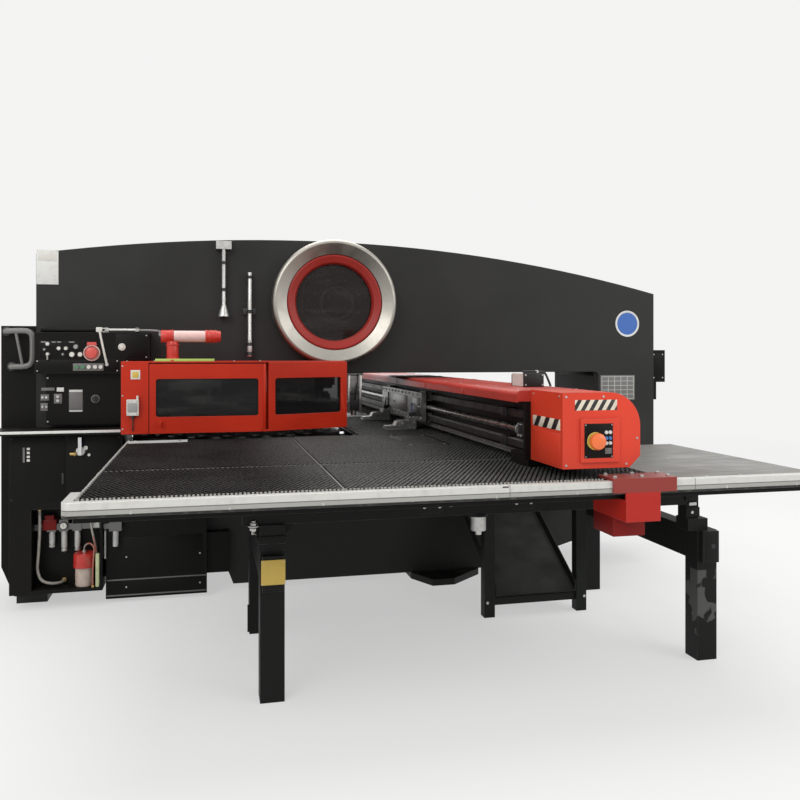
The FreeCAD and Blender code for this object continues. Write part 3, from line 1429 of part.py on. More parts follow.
def guard_door_window():
    """The pane in the near door."""
    front, rear = door_edges()
    depth = S.guard_thick / 2 - S.sheet_pane / 2
    pane = pane_sheet(rear - front, S.door_side)
    return place(pane, (front, -S.guard_reach + S.guard_thick - depth, 0))


def guard_lock():
    """The door switch on the guard's post."""
    face = -S.guard_reach
    across = S.guard_front + S.lock_place
    end = across + S.lock_wide
    case = box((across, face - S.lock_deep, S.lock_low), (end, face, S.lock_high))
    bolt_start = (end - S.bolt_long, face - S.bolt_near, S.lock_high)
    bolt = box(bolt_start, (end - LAP, face - S.bolt_far, S.lock_high + S.bolt_rise))
    return join(case, bolt)


def signal_lamp():
    """The red post and its crosswise lamp on top of the guard."""
    along = -S.guard_reach + S.lamp_reach
    start = S.guard_front + S.lamp_start
    up = S.guard_high + S.lamp_rise
    post = rod((S.guard_front + S.lamp_place, along, S.guard_high), S.lamp_post, S.lamp_post_high)
    bar = rod((start + LAP, along, up), S.lamp_radius, S.lamp_long, "x")
    cap = rod((start, along, up), S.lamp_cap, S.lamp_cap_long, "x")
    collar_start = start + S.lamp_long - S.lamp_cap_long - S.lamp_collar
    collar = rod((collar_start, along, up), S.lamp_cap, S.lamp_cap_long, "x")
    return join(post, bar, cap, collar)


def air_pipe():
    """The upright air pipe, its thicker foot and the two elbows that hold it."""
    face = -S.frame_thick / 2
    across = S.air_place
    along = face - S.air_out
    pipe = rod((across, along, S.air_step), S.air_radius, S.air_high - S.air_step)
    foot = rod((across, along, S.air_low), S.air_foot, S.air_step - S.air_low)
    pieces = [pipe, foot]
    for up in (S.air_low + S.tail_inset, S.air_high - S.tail_drop):
        pieces.append(rod((across, along, up), S.tail_radius, S.air_out, "y"))
    return join(*pieces)


def cable_pipe():
    """The cable pipe from its clip under the crown to its bell."""
    face = -S.frame_thick / 2
    across = S.cable_place
    along = face - S.cable_out
    crown = crown_height(across, as_size(0))
    clip_low = crown - S.clip_drop - S.clip_high
    clip_start = (across - S.clip_half, face - S.clip_reach, clip_low)
    clip = box(clip_start, (across + S.clip_half, face, crown - S.clip_drop))
    pipe_low = S.bell_low + S.bell_high - LAP * 2
    pipe = rod((across, along, pipe_low), S.cable_radius, clip_low + S.clip_seat - pipe_low)
    bell = cone((across, along, S.bell_low), S.bell_radius, S.bell_neck, S.bell_high)
    stay_low = S.bell_low + S.hook_rise
    stay_start = (across - S.hook_half, along + S.hook_gap, stay_low)
    stay = box(stay_start, (across + S.hook_half, face, stay_low + S.hook_high))
    return join(clip, pipe, bell, stay)


def service_pipes():
    """The air pipe and the cable pipe on the near side plate."""
    return group(air_pipe(), cable_pipe())


# ---------------------------------------------------------------- operator's end


def console_holes():
    """The place and the stem radius of each control that moves in the console."""
    face = -S.frame_thick / 2
    front = face - S.console_reach
    panel = face - S.panel_reach
    stop = ((S.console_stop_x, front, S.console_stop_z), S.stop_stem)
    key = ((S.start_x, front, S.start_z), S.key_stem)
    selector = ((S.selector_x, panel, S.selector_z), S.selector_stem)
    return (stop, key, selector)


def console_box():
    """The upper control box and the switch panel under it, bent and welded as one housing."""
    face = -S.frame_thick / 2
    front = face - S.console_reach
    panel = face - S.panel_reach
    wall = S.sheet_metal
    step = S.guard_front - S.console_gap
    step_high = S.guard_high + S.console_lift
    low = S.shelf_high + S.panel_gap
    upper = box((S.console_front, front, S.console_low), (step, face, S.console_high))
    overhang = box((step, front, step_high), (S.console_rear, face, S.console_high))
    lower = box((S.panel_front, panel, low), (S.panel_rear, face, S.console_low))
    room_low = (S.console_front + wall, front + wall, S.console_low + wall)
    room = box(room_low, (step - wall, face + PAST, S.console_high - wall))
    over_low = (step - wall - PAST, front + wall, step_high + wall)
    over_room = box(over_low, (S.console_rear - wall, face + PAST, S.console_high - wall))
    panel_low = (S.panel_front + wall, panel + wall, low + wall)
    panel_room = box(panel_low, (S.panel_rear - wall, face + PAST, S.console_low - wall))
    holes = []
    for centre, radius in console_holes():
        hole_start = (centre[0], centre[1] - PAST, centre[2])
        holes.append(rod(hole_start, radius + S.fit_gap, wall + PAST * 2, "y"))
    along = front + S.rail_inset
    rail_high = S.console_high + S.rail_rise
    rail_start = (S.console_front + S.rail_start, along, rail_high)
    pieces = [upper, overhang, lower, rod(rail_start, S.rail_radius, S.rail_long, "x")]
    for offset in (S.foot_first, S.foot_second):
        foot_start = (S.console_front + offset, along, S.console_high - LAP)
        pieces.append(rod(foot_start, S.foot_radius, S.rail_rise + LAP))
    return cut(join(*pieces), room, over_room, panel_room, *holes)


def air_cabinet():
    """The shelf and the cabinet under it, open in front where the air unit is."""
    face = -S.frame_thick / 2
    front = face - S.cabinet_reach
    wall = S.sheet_wall
    shelf_low = S.shelf_high - S.shelf_thick
    shelf = box((S.shelf_front, face - S.shelf_reach, shelf_low), (S.shelf_rear, face, S.shelf_high))
    case = box((S.cabinet_front, front, S.cabinet_low), (S.shelf_rear, face, shelf_low))
    bay_start = (S.bay_front, front - PAST, S.bay_low)
    bay = box(bay_start, (S.bay_rear, face - wall, S.bay_high))
    upper_start = (S.cabinet_front + wall, front + wall, S.bay_high + wall)
    upper = box(upper_start, (S.shelf_rear - wall, face + PAST, shelf_low - wall))
    notch_start = (S.bay_rear + wall, front - PAST, S.cabinet_low - PAST)
    notch = box(notch_start, (S.shelf_rear + PAST, face + PAST, S.bay_high))
    stem_room = rod(lever_place(-PAST), S.lever_stem + S.fit_gap, wall + PAST * 2, "y")
    return join(cut(case, bay, notch, upper, stem_room), shelf)


def air_unit():
    """The air preparation unit: a bar with three filter bowls."""
    along = -S.frame_thick / 2 - S.unit_reach
    half = S.manifold_half
    bar_start = (S.bay_front, along - half, S.manifold_low)
    pieces = [box(bar_start, (S.bay_rear, along + half, S.manifold_high))]
    side = S.head_half
    bowls = ((S.first_bowl, S.short_bowl), (S.second_bowl, S.long_bowl), (S.third_bowl, S.long_bowl))
    for across, low in bowls:
        head_start = (across - side, along - side, S.head_low)
        pieces.append(box(head_start, (across + side, along + side, S.head_top)))
        pieces.append(rod((across, along, low), S.bowl_radius, S.head_low - low))
        pieces.append(rod((across, along, S.head_top), S.knob_radius, S.knob_high))
    return join(*pieces)


def side_filter():
    """The fourth bowl with its drain pipe, on the pedestal's face beside the cabinet."""
    along = -S.frame_thick / 2 - S.pedestal_reach - S.side_deep
    across = S.side_bowl
    head_start = (across - S.side_head, along - S.side_deep, S.head_low)
    head = box(head_start, (across + S.side_head, along + S.side_deep, S.side_high))
    bowl = rod((across, along, S.short_bowl), S.bowl_radius, S.head_low - S.short_bowl)
    reach = S.drain_radius + LAP
    arm_start = (S.drain_place - reach, along - reach, S.drain_arm)
    arm = box(arm_start, (across, along + reach, S.manifold_high))
    drain = rod((S.drain_place, along, S.drain_low), S.drain_radius, S.drain_arm - S.drain_low)
    return join(head, bowl, arm, drain)


def jar_line():
    """The y of the oil jar's axis."""
    return -S.frame_thick / 2 - S.jar_reach


def hose_routes():
    """The radius and the chosen points of each hose in the open bay, from end to end."""
    roof = S.bay_high
    floor = S.bay_low
    face = -S.frame_thick / 2
    back = face - S.sheet_wall
    drain = [
        (-1672, face - 96, roof), (-1672, face - 96, 430), (-1678, face - 98, 310), (-1686, face - 100, 215),
        (-1664, face - 102, 152), (-1608, face - 98, 132), (-1556, face - 68, 131), (-1556, back, 131),
    ]
    supply = [
        (-1402, face - 102, roof), (-1402, face - 102, 455), (-1376, face - 107, 340),
        (-1362, face - 105, 225), (-1362, face - 105, floor),
    ]
    oil = [
        (S.jar_place, jar_line(), floor + S.jar_top), (S.jar_place, jar_line(), 336),
        (-1407, face - 115, 358), (-1377, face - 137, 336), (-1387, face - 137, 230),
        (-1387, face - 137, floor),
    ]
    return ((S.hose_wide, drain), (S.hose_thin, supply), (S.hose_oil, oil))


def hose(radius, route):
    """A hose of straight runs joined by tangent arcs, as large as its runs allow."""
    spots = [FreeCAD.Vector(*(as_size(value).number for value in spot)) for spot in route]
    edges = []
    begin = spots[0]
    bends = []
    for before, corner, after in zip(spots, spots[1:], spots[2:]):
        back = (before - corner).normalize()
        ahead = (after - corner).normalize()
        reach = HOSE_BEND * min((before - corner).Length, (after - corner).Length)
        half_turn = (math.pi - back.getAngle(ahead)) / 2
        bends.append(reach / math.tan(half_turn))
        first = corner + back * reach
        last = corner + ahead * reach
        centre = corner + (back + ahead).normalize() * math.hypot(reach, bends[-1])
        nearest = centre + (corner - centre).normalize() * bends[-1]
        edges.append(Part.LineSegment(begin, first).toShape())
        edges.append(Part.Arc(first, nearest, last).toShape())
        begin = last
    edges.append(Part.LineSegment(begin, spots[-1]).toShape())
    path = Part.Wire(edges)
    section = Part.Circle(spots[0], spots[1] - spots[0], radius.number).toShape()
    item = doc.addObject("Part::Feature", "Hose")
    item.Shape = path.makePipeShell([Part.Wire([section])], True, False)
    share = item.Shape.Volume / (math.pi * radius.number**2 * path.Length)
    print(f"hose: bends {[round(bend) for bend in bends]} mm, volume over section by length {share:.4f}")
    return item


def air_hoses():
    """The hoses that the cabinet's open bay holds from end to end."""
    return group(*[hose(radius, route) for radius, route in hose_routes()])


def oil_reservoir():
    """The white jar and its cap on the bay's floor."""
    edge = S.jar_radius
    cap = S.jar_cap
    bevel = S.jar_bevel
    outline = Outline((as_size(0), as_size(0))).line(edge - bevel, 0).line(edge, bevel)
    outline.line(edge, S.jar_high - bevel).line(cap - bevel, S.jar_high)
    outline.line(cap - bevel, S.jar_neck).line(cap, S.jar_neck).line(cap, S.jar_top - bevel)
    outline.line(cap - bevel, S.jar_top).line(0, S.jar_top).line(0, 0)
    return turned([outline], (S.jar_place, jar_line(), S.bay_low))


# ---------------------------------------------------------------- hand controls


def stop_button(at):
    """A mushroom emergency stop that faces -y."""
    rise = S.stop_rise
    root_depth = -S.stop_root
    chin = rise - S.stop_head
    outline = Outline((as_size(0), root_depth)).line(S.stop_stem, root_depth).line(S.stop_stem, chin)
    outline.line(S.stop_radius, chin + S.stop_chin).line(S.stop_radius, rise - S.stop_edge)
    outline.arc(S.stop_radius - S.stop_edge, rise, S.stop_edge).line(0, rise).line(0, root_depth)
    return turned([outline], at, "-y")


def push_button(at):
    """A push button that faces -y."""
    root_depth = -S.key_root
    rise = S.key_rise
    outline = Outline((as_size(0), root_depth)).line(S.key_stem, root_depth).line(S.key_stem, S.key_neck)
    outline.line(S.key_radius, S.key_neck).line(S.key_radius, rise - S.key_edge)
    outline.arc(S.key_radius - S.key_edge, rise, S.key_edge).line(0, rise).line(0, root_depth)
    return turned([outline], at, "-y")


# ---------------------------------------------------------------- table and supports


def side_tables():
    """Near and far table plates on their joists, drawn back behind the carriage beam."""

    def near():
        inner = -S.table_inner
        outer = -S.table_edge
        step = -S.rear_inner
        low = S.table_high - S.table_plate
        line = Outline((S.table_front, outer)).line(S.table_rear, outer).line(S.table_rear, step)
        line.line(S.brush_rear, step).line(S.brush_rear, inner).line(S.table_front, inner)
        line.line(S.table_front, outer)
        plate = padded("XY_Plane", [line], S.table_plate, (0, 0, low))
        joist_low = low - S.joist_high
        half = S.joist_wide / 2
        pieces = [plate]
        for along in (-S.table_edge + half, roller_line()[0], -S.rear_inner - half):
            pieces.append(box((S.table_front, along - half, joist_low), (S.table_rear, along + half, low)))
        inner_joist = (S.table_front, inner - S.joist_wide, joist_low)
        pieces.append(box(inner_joist, (S.brush_rear, inner, low)))
        for across in (S.table_front, -S.joist_wide, S.brush_rear - S.joist_wide):
            pieces.append(box((across, outer, joist_low), (across + S.joist_wide, inner, low)))
        rear_joist = (S.table_rear - S.joist_wide, outer, joist_low)
        pieces.append(box(rear_joist, (S.table_rear, step, low)))
        return join(*pieces)

    return group(both_sides(near), travel_nut())


def drive_line():
    """The y of the table's ballscrew, beside the frame."""
    return -S.frame_thick / 2 - S.drive_out


def travel_nut():
    """The nut of the table's ballscrew on its arm under the near side table."""
    low = S.table_high - S.table_plate - S.joist_high
    start = S.drive_front + S.nut_place
    end = start + S.nut_long
    half = S.nut_half
    nut_start = (start, drive_line() - half, S.drive_high - half)
    nut = box(nut_start, (end, drive_line() + half, low))
    arm_start = (start, -S.table_inner - S.joist_wide, low - S.arm_thick)
    arm = box(arm_start, (end, drive_line(), low))
    bore_start = (start - PAST, drive_line(), S.drive_high)
    return cut(join(nut, arm), rod(bore_start, S.screw_radius + S.fit_gap, S.nut_long + PAST * 2, "x"))


def beam_half():
    """Half of the carriage beam's length."""
    return S.table_edge - S.beam_inset


def end_outer():
    """The y distance of the end boxes' outer faces."""
    return S.table_edge - S.end_inset


def foot_span(sign):
    """The x and y spans of a carriage beam foot on a side table, y from low to high."""
    across = (S.beam_front + S.shoe_front, S.beam_front + S.beam_wide - S.shoe_rear)
    outer = beam_half() - S.shoe_inset
    inner = outer - S.shoe_span
    return across, (-outer, -inner) if sign < 0 else (inner, outer)


def brush_panels():
    """Near and far brush fields, open where the carriage beam's feet stand."""

    def near():
        across, along = foot_span(-1)
        gap = S.field_gap
        field = rectangle(S.table_front, -S.table_edge, S.brush_rear, -S.table_inner)
        hole = rectangle(across[0] - gap, along[0] - gap, across[1] + gap, along[1] + gap)
        return padded("XY_Plane", [field, hole], S.brush_high, (0, 0, S.table_high))

    return both_sides(near)


def rear_panels():
    """The plain plates behind the carriage beam, near and far."""

    def near():
        low = (S.brush_rear, -S.table_edge + S.rear_inset, S.table_high)
        return box(low, (S.rear_end, -S.rear_inner, S.table_high + S.rear_thick))

    return both_sides(near)


def rail_top():
    """The z of the edge rails' top."""
    return S.table_high + S.brush_high + S.rail_rim


def edge_rails():
    """The bright rails along the tables' outer edges, round at the front end."""

    def near():
        outer = -S.table_edge - S.rail_deep
        inner = -S.table_edge
        nose = S.rail_nose
        line = Outline((S.table_front - S.rail_deep + nose, outer)).line(S.table_rear, outer)
        line.line(S.table_rear, inner).line(S.table_front, inner)
        line.line(S.table_front, inner + S.rail_return)
        line.line(S.table_front - S.rail_deep, inner + S.rail_return)
        line.line(S.table_front - S.rail_deep, outer + nose)
        line.arc(S.table_front - S.rail_deep + nose, outer, nose)
        return padded("XY_Plane", [line], S.rail_high, (0, 0, rail_top() - S.rail_high))

    return both_sides(near)


def centre_table():
    """The fixed table in the window, behind the turret, on two bearers."""
    low = S.table_high - S.table_plate
    front = S.centre_front
    rear = S.centre_rear
    pieces = [box((front, -S.centre_half, low), (rear, S.centre_half, S.table_high))]
    for along in (-S.bearer_place, S.bearer_place):
        bearer_start = (front + S.bearer_inset, along - S.bearer_half, S.window_floor)
        pieces.append(box(bearer_start, (rear - S.bearer_short, along + S.bearer_half, low)))
    middle_rib = (front + rear - S.rib_wide) / 2
    for across in (front + S.bearer_inset, middle_rib, rear - S.bearer_short - S.rib_wide):
        rib_start = (across, -S.centre_half, low - S.rib_deep)
        pieces.append(box(rib_start, (across + S.rib_wide, S.centre_half, low)))
    return join(*pieces)


def roller_places():
    """The x of each roller beside a long rail."""
    return (S.post_front - S.roller_ahead, S.post_rear - S.roller_behind)


def roller_line():
    """The y of the rollers' middle and the z of their axis, on the near side."""
    along = -S.post_outer - S.track_wide / 2 - S.roller_wide / 2 - S.roller_gap
    low = S.table_high - S.table_plate - S.joist_high
    return along, low - S.roller_skim - S.roller_radius


def support_frames():
    """Near and far stands: four posts, two cross beams, the long rail and its roller pins."""

    def near():
        half = S.post_wide / 2
        pieces = []
        stands = ((S.post_front, S.post_inner, S.track_low), (S.post_rear, S.post_near, S.tie_high))
        for across, inside, post_top in stands:
            outer = (across - half, -S.post_outer - half, 0)
            pieces.append(box(outer, (across + half, -S.post_outer + half, post_top)))
            inner = (across - half, -inside - half, 0)
            pieces.append(box(inner, (across + half, -inside + half, S.tie_high)))
            tie_end = -S.frame_thick / 2
            tie_half = half - S.tie_inset
            tie_low = (across - tie_half, -S.post_outer - half - S.tie_over, S.tie_low)
            pieces.append(box(tie_low, (across + tie_half, tie_end, S.tie_high)))
        wide = S.track_wide / 2
        rail_low = (S.post_front - S.track_ahead, -S.post_outer - wide, S.track_low)
        column = S.post_rear - S.column_ahead
        column_end = column + S.column_wide
        pieces.append(box(rail_low, (column_end, -S.post_outer + wide, S.track_high)))
        step_top = S.tie_high + S.step_high
        step_end = (column + S.step_wide, -S.post_outer + half, step_top)
        pieces.append(box((column, -S.post_outer - half, S.tie_high), step_end))
        column_low = (column, -S.post_outer - wide, step_top)
        pieces.append(box(column_low, (column_end, -S.post_outer + wide, S.track_low)))
        along, up = roller_line()
        head_end = along - S.roller_wide / 2 - S.head_gap
        pin_long = S.head_gap + S.roller_wide + S.roller_gap + LAP * 2
        for across in roller_places():
            pieces.append(rod((across, head_end - LAP, up), S.pin_radius, pin_long, "y"))
            pieces.append(rod((across, head_end - S.head_thick, up), S.pin_head, S.head_thick, "y"))
        return join(*pieces)

    return both_sides(near)


def support_roller(across, side):
    """One crowned roller with its bore round the pin."""
    along, up = roller_line()
    half = S.roller_wide / 2
    bore = S.pin_radius + S.fit_gap
    crown = S.roller_crown
    edge = S.roller_radius - crown
    outline = Outline((bore, -half)).line(edge, -half).line(S.roller_radius, -half + crown)
    outline.line(S.roller_radius, half - crown).line(edge, half).line(bore, half).line(bore, -half)
    return turned([outline], (across, along * -side, up), "y")


# ---------------------------------------------------------------- scrap chute


def chute_plate():
    """The slanted scrap chute: a folded sheet with side walls."""
    sheet = S.chute_sheet
    wall = S.chute_wall
    high_y = -S.chute_inner
    low_y = -S.chute_outer
    outline = Outline((low_y, S.chute_low)).line(low_y, S.chute_low + wall)
    outline.line(high_y, S.chute_top + wall).line(high_y, S.chute_top).line(low_y, S.chute_low)
    tray = padded("YZ_Plane", [outline], S.chute_rear - S.chute_front, (S.chute_front, 0, 0))
    past = wall
    rise = (S.chute_top - S.chute_low) / (S.chute_outer - S.chute_inner) * past
    floor_low = S.chute_low + sheet - rise
    floor_high = S.chute_top + sheet + rise
    inner = Outline((low_y - past, floor_low)).line(low_y - past, floor_low + wall * 2)
    inner.line(high_y + past, floor_high + wall * 2).line(high_y + past, floor_high)
    inner.line(low_y - past, floor_low)
    width = S.chute_rear - S.chute_front - sheet * 2
    hollow = padded("YZ_Plane", [inner], width, (S.chute_front + sheet, 0, 0))
    return cut(tray, hollow)


def chute_stand():
    """The two legs, the top bar and the sill that hold the chute's lower half."""
    along = -S.chute_outer + S.leg_inset
    half = S.leg_wide / 2
    front = S.chute_front - S.leg_gap
    rear = S.chute_rear + S.leg_gap
    top = S.stand_high
    pieces = []
    for across in (front - S.leg_wide, rear):
        pieces.append(box((across, along - half, 0), (across + S.leg_wide, along + half, top)))
    bar_start = (front - LAP, along - S.bar_half, top - S.bar_high)
    pieces.append(box(bar_start, (rear + LAP, along + S.bar_half, top)))
    sill_start = (front - LAP, along - S.sill_reach, S.sill_low)
    pieces.append(box(sill_start, (rear + LAP, along + half, S.sill_high)))
    return join(*pieces)


# ---------------------------------------------------------------- carriage beam


def carriage_beam():
    """A box section with a lip over its front web, on a foot over each side table."""
    rear = S.beam_front + S.beam_wide
    half = beam_half()
    wall = S.beam_wall
    web = S.beam_front + S.beam_web
    lip = S.beam_front + S.beam_lip
    outline = Outline((web, S.beam_low)).line(rear, S.beam_low).line(rear, S.beam_high)
    outline.line(lip, S.beam_high).line(lip, S.beam_high - wall).line(web, S.beam_high - wall)
    outline.line(web, S.beam_low)
    room = rectangle(web + wall, S.beam_low + wall, rear - wall, S.beam_high - wall)
    pieces = [padded("XZ_Plane", [outline, room], half * 2, symmetric=True)]
    for sign in (-1, 1):
        across, along = foot_span(sign)
        pieces.append(box((across[0], along[0], S.table_high), (across[1], along[1], S.beam_low + wall)))
        cap = (-half, -half + wall) if sign < 0 else (half - wall, half)
        pieces.append(box((lip, cap[0], S.beam_low), (web, cap[1], S.beam_high)))
    return join(*pieces)


def beam_cover():
    """The red cover along the top of the beam, with a turned-down front lip."""
    wall = S.sheet_metal
    front = S.beam_front - S.cover_front
    rear = S.beam_front + S.beam_wide + S.cover_behind
    low = S.beam_high
    top = low + S.cover_thick
    outline = Outline((front, low - S.cover_lip)).line(front + wall, low - S.cover_lip)
    outline.line(front + wall, low).line(rear, low).line(rear, top - S.cover_round)
    outline.arc(rear - S.cover_round, top, S.cover_round).line(front + S.cover_edge, top)
    outline.arc(front, top - S.cover_edge, S.cover_edge).line(front, low - S.cover_lip)
    cover = padded("XZ_Plane", [outline], beam_half() * 2, symmetric=True)
    room_low = (front + S.cover_edge + LAP * 2, -beam_half() + wall, low - PAST)
    return cut(cover, box(room_low, (rear - wall, beam_half() - wall, top - wall)))


def stop_place():
    """The place of the emergency stop on the near end box's switch face."""
    return (S.end_front + S.stop_x, -end_outer() - S.face_out, S.end_low + S.stop_z)


def end_outline(inset):
    """The end boxes' side view, drawn in by a wall except at the open underside."""
    front = S.end_front + inset
    rear = S.end_rear - inset
    top = S.end_high - inset
    radius = S.end_round - inset
    chamfer = S.end_chamfer + inset * (math.sqrt(2) - 1)
    line = Outline((front, S.end_low)).line(rear - chamfer, S.end_low)
    line.line(rear, S.end_low + chamfer).line(rear, top - radius).arc(rear - radius, top, radius)
    return line.line(front, top).line(front, S.end_low)


def end_boxes():
    """The rounded boxes over the beam's two ends."""

    def near():
        inner = -beam_half()
        outer = -end_outer()
        wall = S.sheet_metal
        long = end_outer() - beam_half()
        shell = padded("XZ_Plane", [end_outline(as_size(0))], long, (0, inner, 0))
        room = padded("XZ_Plane", [end_outline(wall)], long - wall + PAST, (0, inner + PAST, 0))
        mouth_low = (S.end_front + wall, outer + wall, S.end_low - PAST)
        mouth = box(mouth_low, (S.end_rear - wall - S.end_chamfer, inner + PAST, S.end_low + LAP))
        low = S.end_low + S.face_low
        across = S.end_front + S.face_place
        panel_start = (across, outer - S.face_out, low)
        panel = box(panel_start, (across + S.face_wide, outer + PAST, low + S.face_high))
        across, along, up = stop_place()
        stem_long = S.face_out + wall + PAST * 2
        stem_room = rod((across, along - PAST, up), S.stop_stem + S.fit_gap, stem_long, "y")
        return cut(join(shell, panel), room, mouth, stem_room)

    return both_sides(near)


def end_brackets():
    """The red brackets that tie the end boxes to the tables' edges, near and far."""

    def near():
        edge = -S.table_edge
        top = rail_top()
        start = S.end_rear - S.bracket_lap
        end = start + S.bracket_long
        outer = edge - S.rail_deep - S.bracket_thick
        plate = box((start, outer, top), (end, edge + S.bracket_inner, top + S.bracket_thick))
        skirt = box((start, outer, top - S.bracket_skirt), (end, edge - S.rail_deep, top))
        case_start = (start + S.case_place, outer, top - S.case_drop)
        case_end = start + S.case_place + S.case_wide
        case_top = S.table_high - S.table_plate - S.joist_high
        case = box(case_start, (case_end, edge + S.case_inner, case_top))
        face = box(case_start, (case_end, edge - S.rail_deep, top))
        return join(plate, skirt, case, face)

    return both_sides(near)


def carriage_rails():
    """The two linear rails on the beam's front web."""
    web = S.beam_front + S.beam_web
    half = beam_half() - S.beam_wall
    rails = []
    for low in (S.slide_low, S.slide_top):
        rails.append(box((web - S.slide_deep, -half, low), (web, half, low + S.slide_high)))
    return group(*rails)


def plate_back():
    """The x of the carriage plate's back face."""
    return S.beam_front + S.beam_web - S.slide_deep - S.slide_front


def screw_line():
    """The x of the carriage ballscrew's axis."""
    return S.beam_front + S.beam_web - S.slide_deep / 2 - S.slide_front


def carriage_screw():
    """The ballscrew between the two linear rails."""
    half = beam_half() - S.beam_wall - S.screw_inset
    return rod((screw_line(), -half, S.screw_high), S.screw_radius, half * 2, "y")


def carriage_motor():
    """The pale servo motor on top of the beam, near the near end box."""
    low = (S.beam_front + S.servo_inset, -beam_half() + S.servo_place, S.beam_high + S.cover_thick)
    return box(low, (low[0] + S.servo_wide, low[1] + S.servo_long, low[2] + S.servo_high))


def carriage_shoe(along, rail):
    """One shoe that wraps a linear rail from the front."""
    back = plate_back()
    wall = S.shoe_wall
    play = S.slide_play
    end = back + S.slide_front + S.slide_deep - S.shoe_lip
    block_start = (back - LAP, along, rail - wall)
    block = box(block_start, (end, along + S.shoe_long, rail + S.slide_high + wall))
    slot_start = (back + S.slide_front - play, along - PAST, rail - play)
    slot_end = (end + PAST, along + S.shoe_long + PAST, rail + S.slide_high + play)
    return cut(block, box(slot_start, slot_end))


def carriage_plate():
    """The clamp carriage: a long plate with four shoes round the rails and a ballscrew nut."""
    back = plate_back()
    low = S.slide_low - S.plate_rim
    high = S.slide_top + S.slide_high + S.plate_rim
    half = S.carriage_half
    pieces = [box((back - S.carriage_plate, -half, low), (back, half, high))]
    for along in (-half + S.shoe_end, half - S.shoe_end - S.shoe_long):
        for rail in (S.slide_low, S.slide_top):
            pieces.append(carriage_shoe(along, rail))
    up = S.screw_high
    nut_end = (screw_line() + S.ball_wall, S.ball_half, up + S.ball_high)
    nut = box((back - LAP, -S.ball_half, up - S.ball_high), nut_end)
    bore_start = (screw_line(), -S.ball_half - PAST, up)
    bore = rod(bore_start, S.screw_radius + S.fit_gap, S.ball_half * 2 + PAST * 2, "y")
    pieces.append(cut(nut, bore))
    return join(*pieces)


def clamp_places():
    """The y of each clamp's middle."""
    return (-S.clamp_pitch / 2, S.clamp_pitch / 2)


def jaw_hinge():
    """The x and z of a clamp jaw's pivot."""
    return S.clamp_tip + S.pivot_place, S.clamp_high - S.pivot_drop


def clamp_bodies():
    """The two clamps' fixed lower jaws with the cheeks that hold the upper jaws."""
    clamps = []
    rear = plate_back() - S.carriage_plate
    pivot, pivot_high = jaw_hinge()
    half = S.clamp_wide / 2
    low = S.clamp_low
    for along in clamp_places():
        lower = box((S.clamp_tip, along - half, low), (rear, along + half, low + S.jaw_thick))
        back_start = (pivot + S.heel_long + S.heel_gap, along - half, low)
        back = box(back_start, (rear, along + half, S.clamp_high + S.back_rise))
        cheeks = []
        for near in (along - half, along + half - S.cheek_wide):
            cheek_start = (pivot - S.cheek_ahead, near, low)
            cheeks.append(box(cheek_start, (rear, near + S.cheek_wide, S.clamp_high)))
        pin = rod((pivot, along - half, pivot_high), S.jaw_pivot, S.clamp_wide, "y")
        clamps.append(join(lower, back, pin, *cheeks))
    return group(*clamps)


def clamp_jaw(along):
    """One hinged upper jaw: thin at the tip, with a heel round the pivot."""
    pivot, pivot_high = jaw_hinge()
    low = S.clamp_low + S.jaw_thick + S.mouth_high
    neck = S.clamp_tip + S.clamp_neck
    top = S.clamp_high - S.jaw_drop
    end = pivot + S.heel_long
    tip_top = low + S.jaw_thick
    outline = Outline((S.clamp_tip, low)).line(end, low).line(end, top).line(neck + S.neck_slope, top)
    outline.line(neck, tip_top + S.neck_rise).line(S.clamp_tip, tip_top).line(S.clamp_tip, low)
    hole = Circle(pivot, pivot_high, S.jaw_pivot + S.fit_gap)
    wide = S.clamp_wide - S.cheek_wide * 2 - S.jaw_play * 2
    return padded("XZ_Plane", [outline, hole], wide, (0, along, 0), symmetric=True)


# ---------------------------------------------------------------- table drive


def travel_screw():
    """The ballscrew that drives the side tables along the frame."""
    start = (S.drive_front, drive_line(), S.drive_high)
    return rod(start, S.screw_radius, S.drive_rear - S.drive_front, "x")


def travel_motor():
    """The table servo motor and the screw's two hangers on the near side plate."""
    face = -S.frame_thick / 2
    up = S.drive_high
    along = drive_line()
    thick = S.hanger_thick
    pieces = []
    for across in (S.drive_front + S.hanger_front, S.drive_rear - S.hanger_rear):
        block_start = (across, along - S.hanger_half, up - S.hanger_half)
        block = box(block_start, (across + thick, face, up + S.hanger_top))
        bore = rod((across - PAST, along, up), S.screw_radius + S.fit_gap, thick + PAST * 2, "x")
        pieces.append(cut(block, bore))
    start = S.drive_rear + S.travel_gap
    motor = rod((start, along, up), S.travel_radius, S.travel_long, "x")
    mount_start = (start + S.travel_gap, along, up - S.bracket_low)
    mount = box(mount_start, (start + S.travel_gap + thick, face, up + S.hanger_top))
    pieces.append(join(motor, mount))
    return group(*pieces)


def lever_place(out):
    """A point on the shut-off valve's axis, at a distance inside the cabinet's face."""
    face = -S.frame_thick / 2 - S.cabinet_reach
    return (S.lever_x, face + out, S.lever_z)


def valve_lever():
    """The shut-off valve's lever on the air cabinet's upper panel."""
    across, along, up = lever_place(-S.lever_out)
    half = S.lever_half
    stem = rod((across, along, up), S.lever_stem, S.lever_out + S.sheet_wall - LAP, "y")
    low = (across - half, along - S.lever_thick + PAST, up - S.lever_tail)
    lever = box(low, (across + half, along + PAST, up + S.lever_long))
    return join(stem, lever)


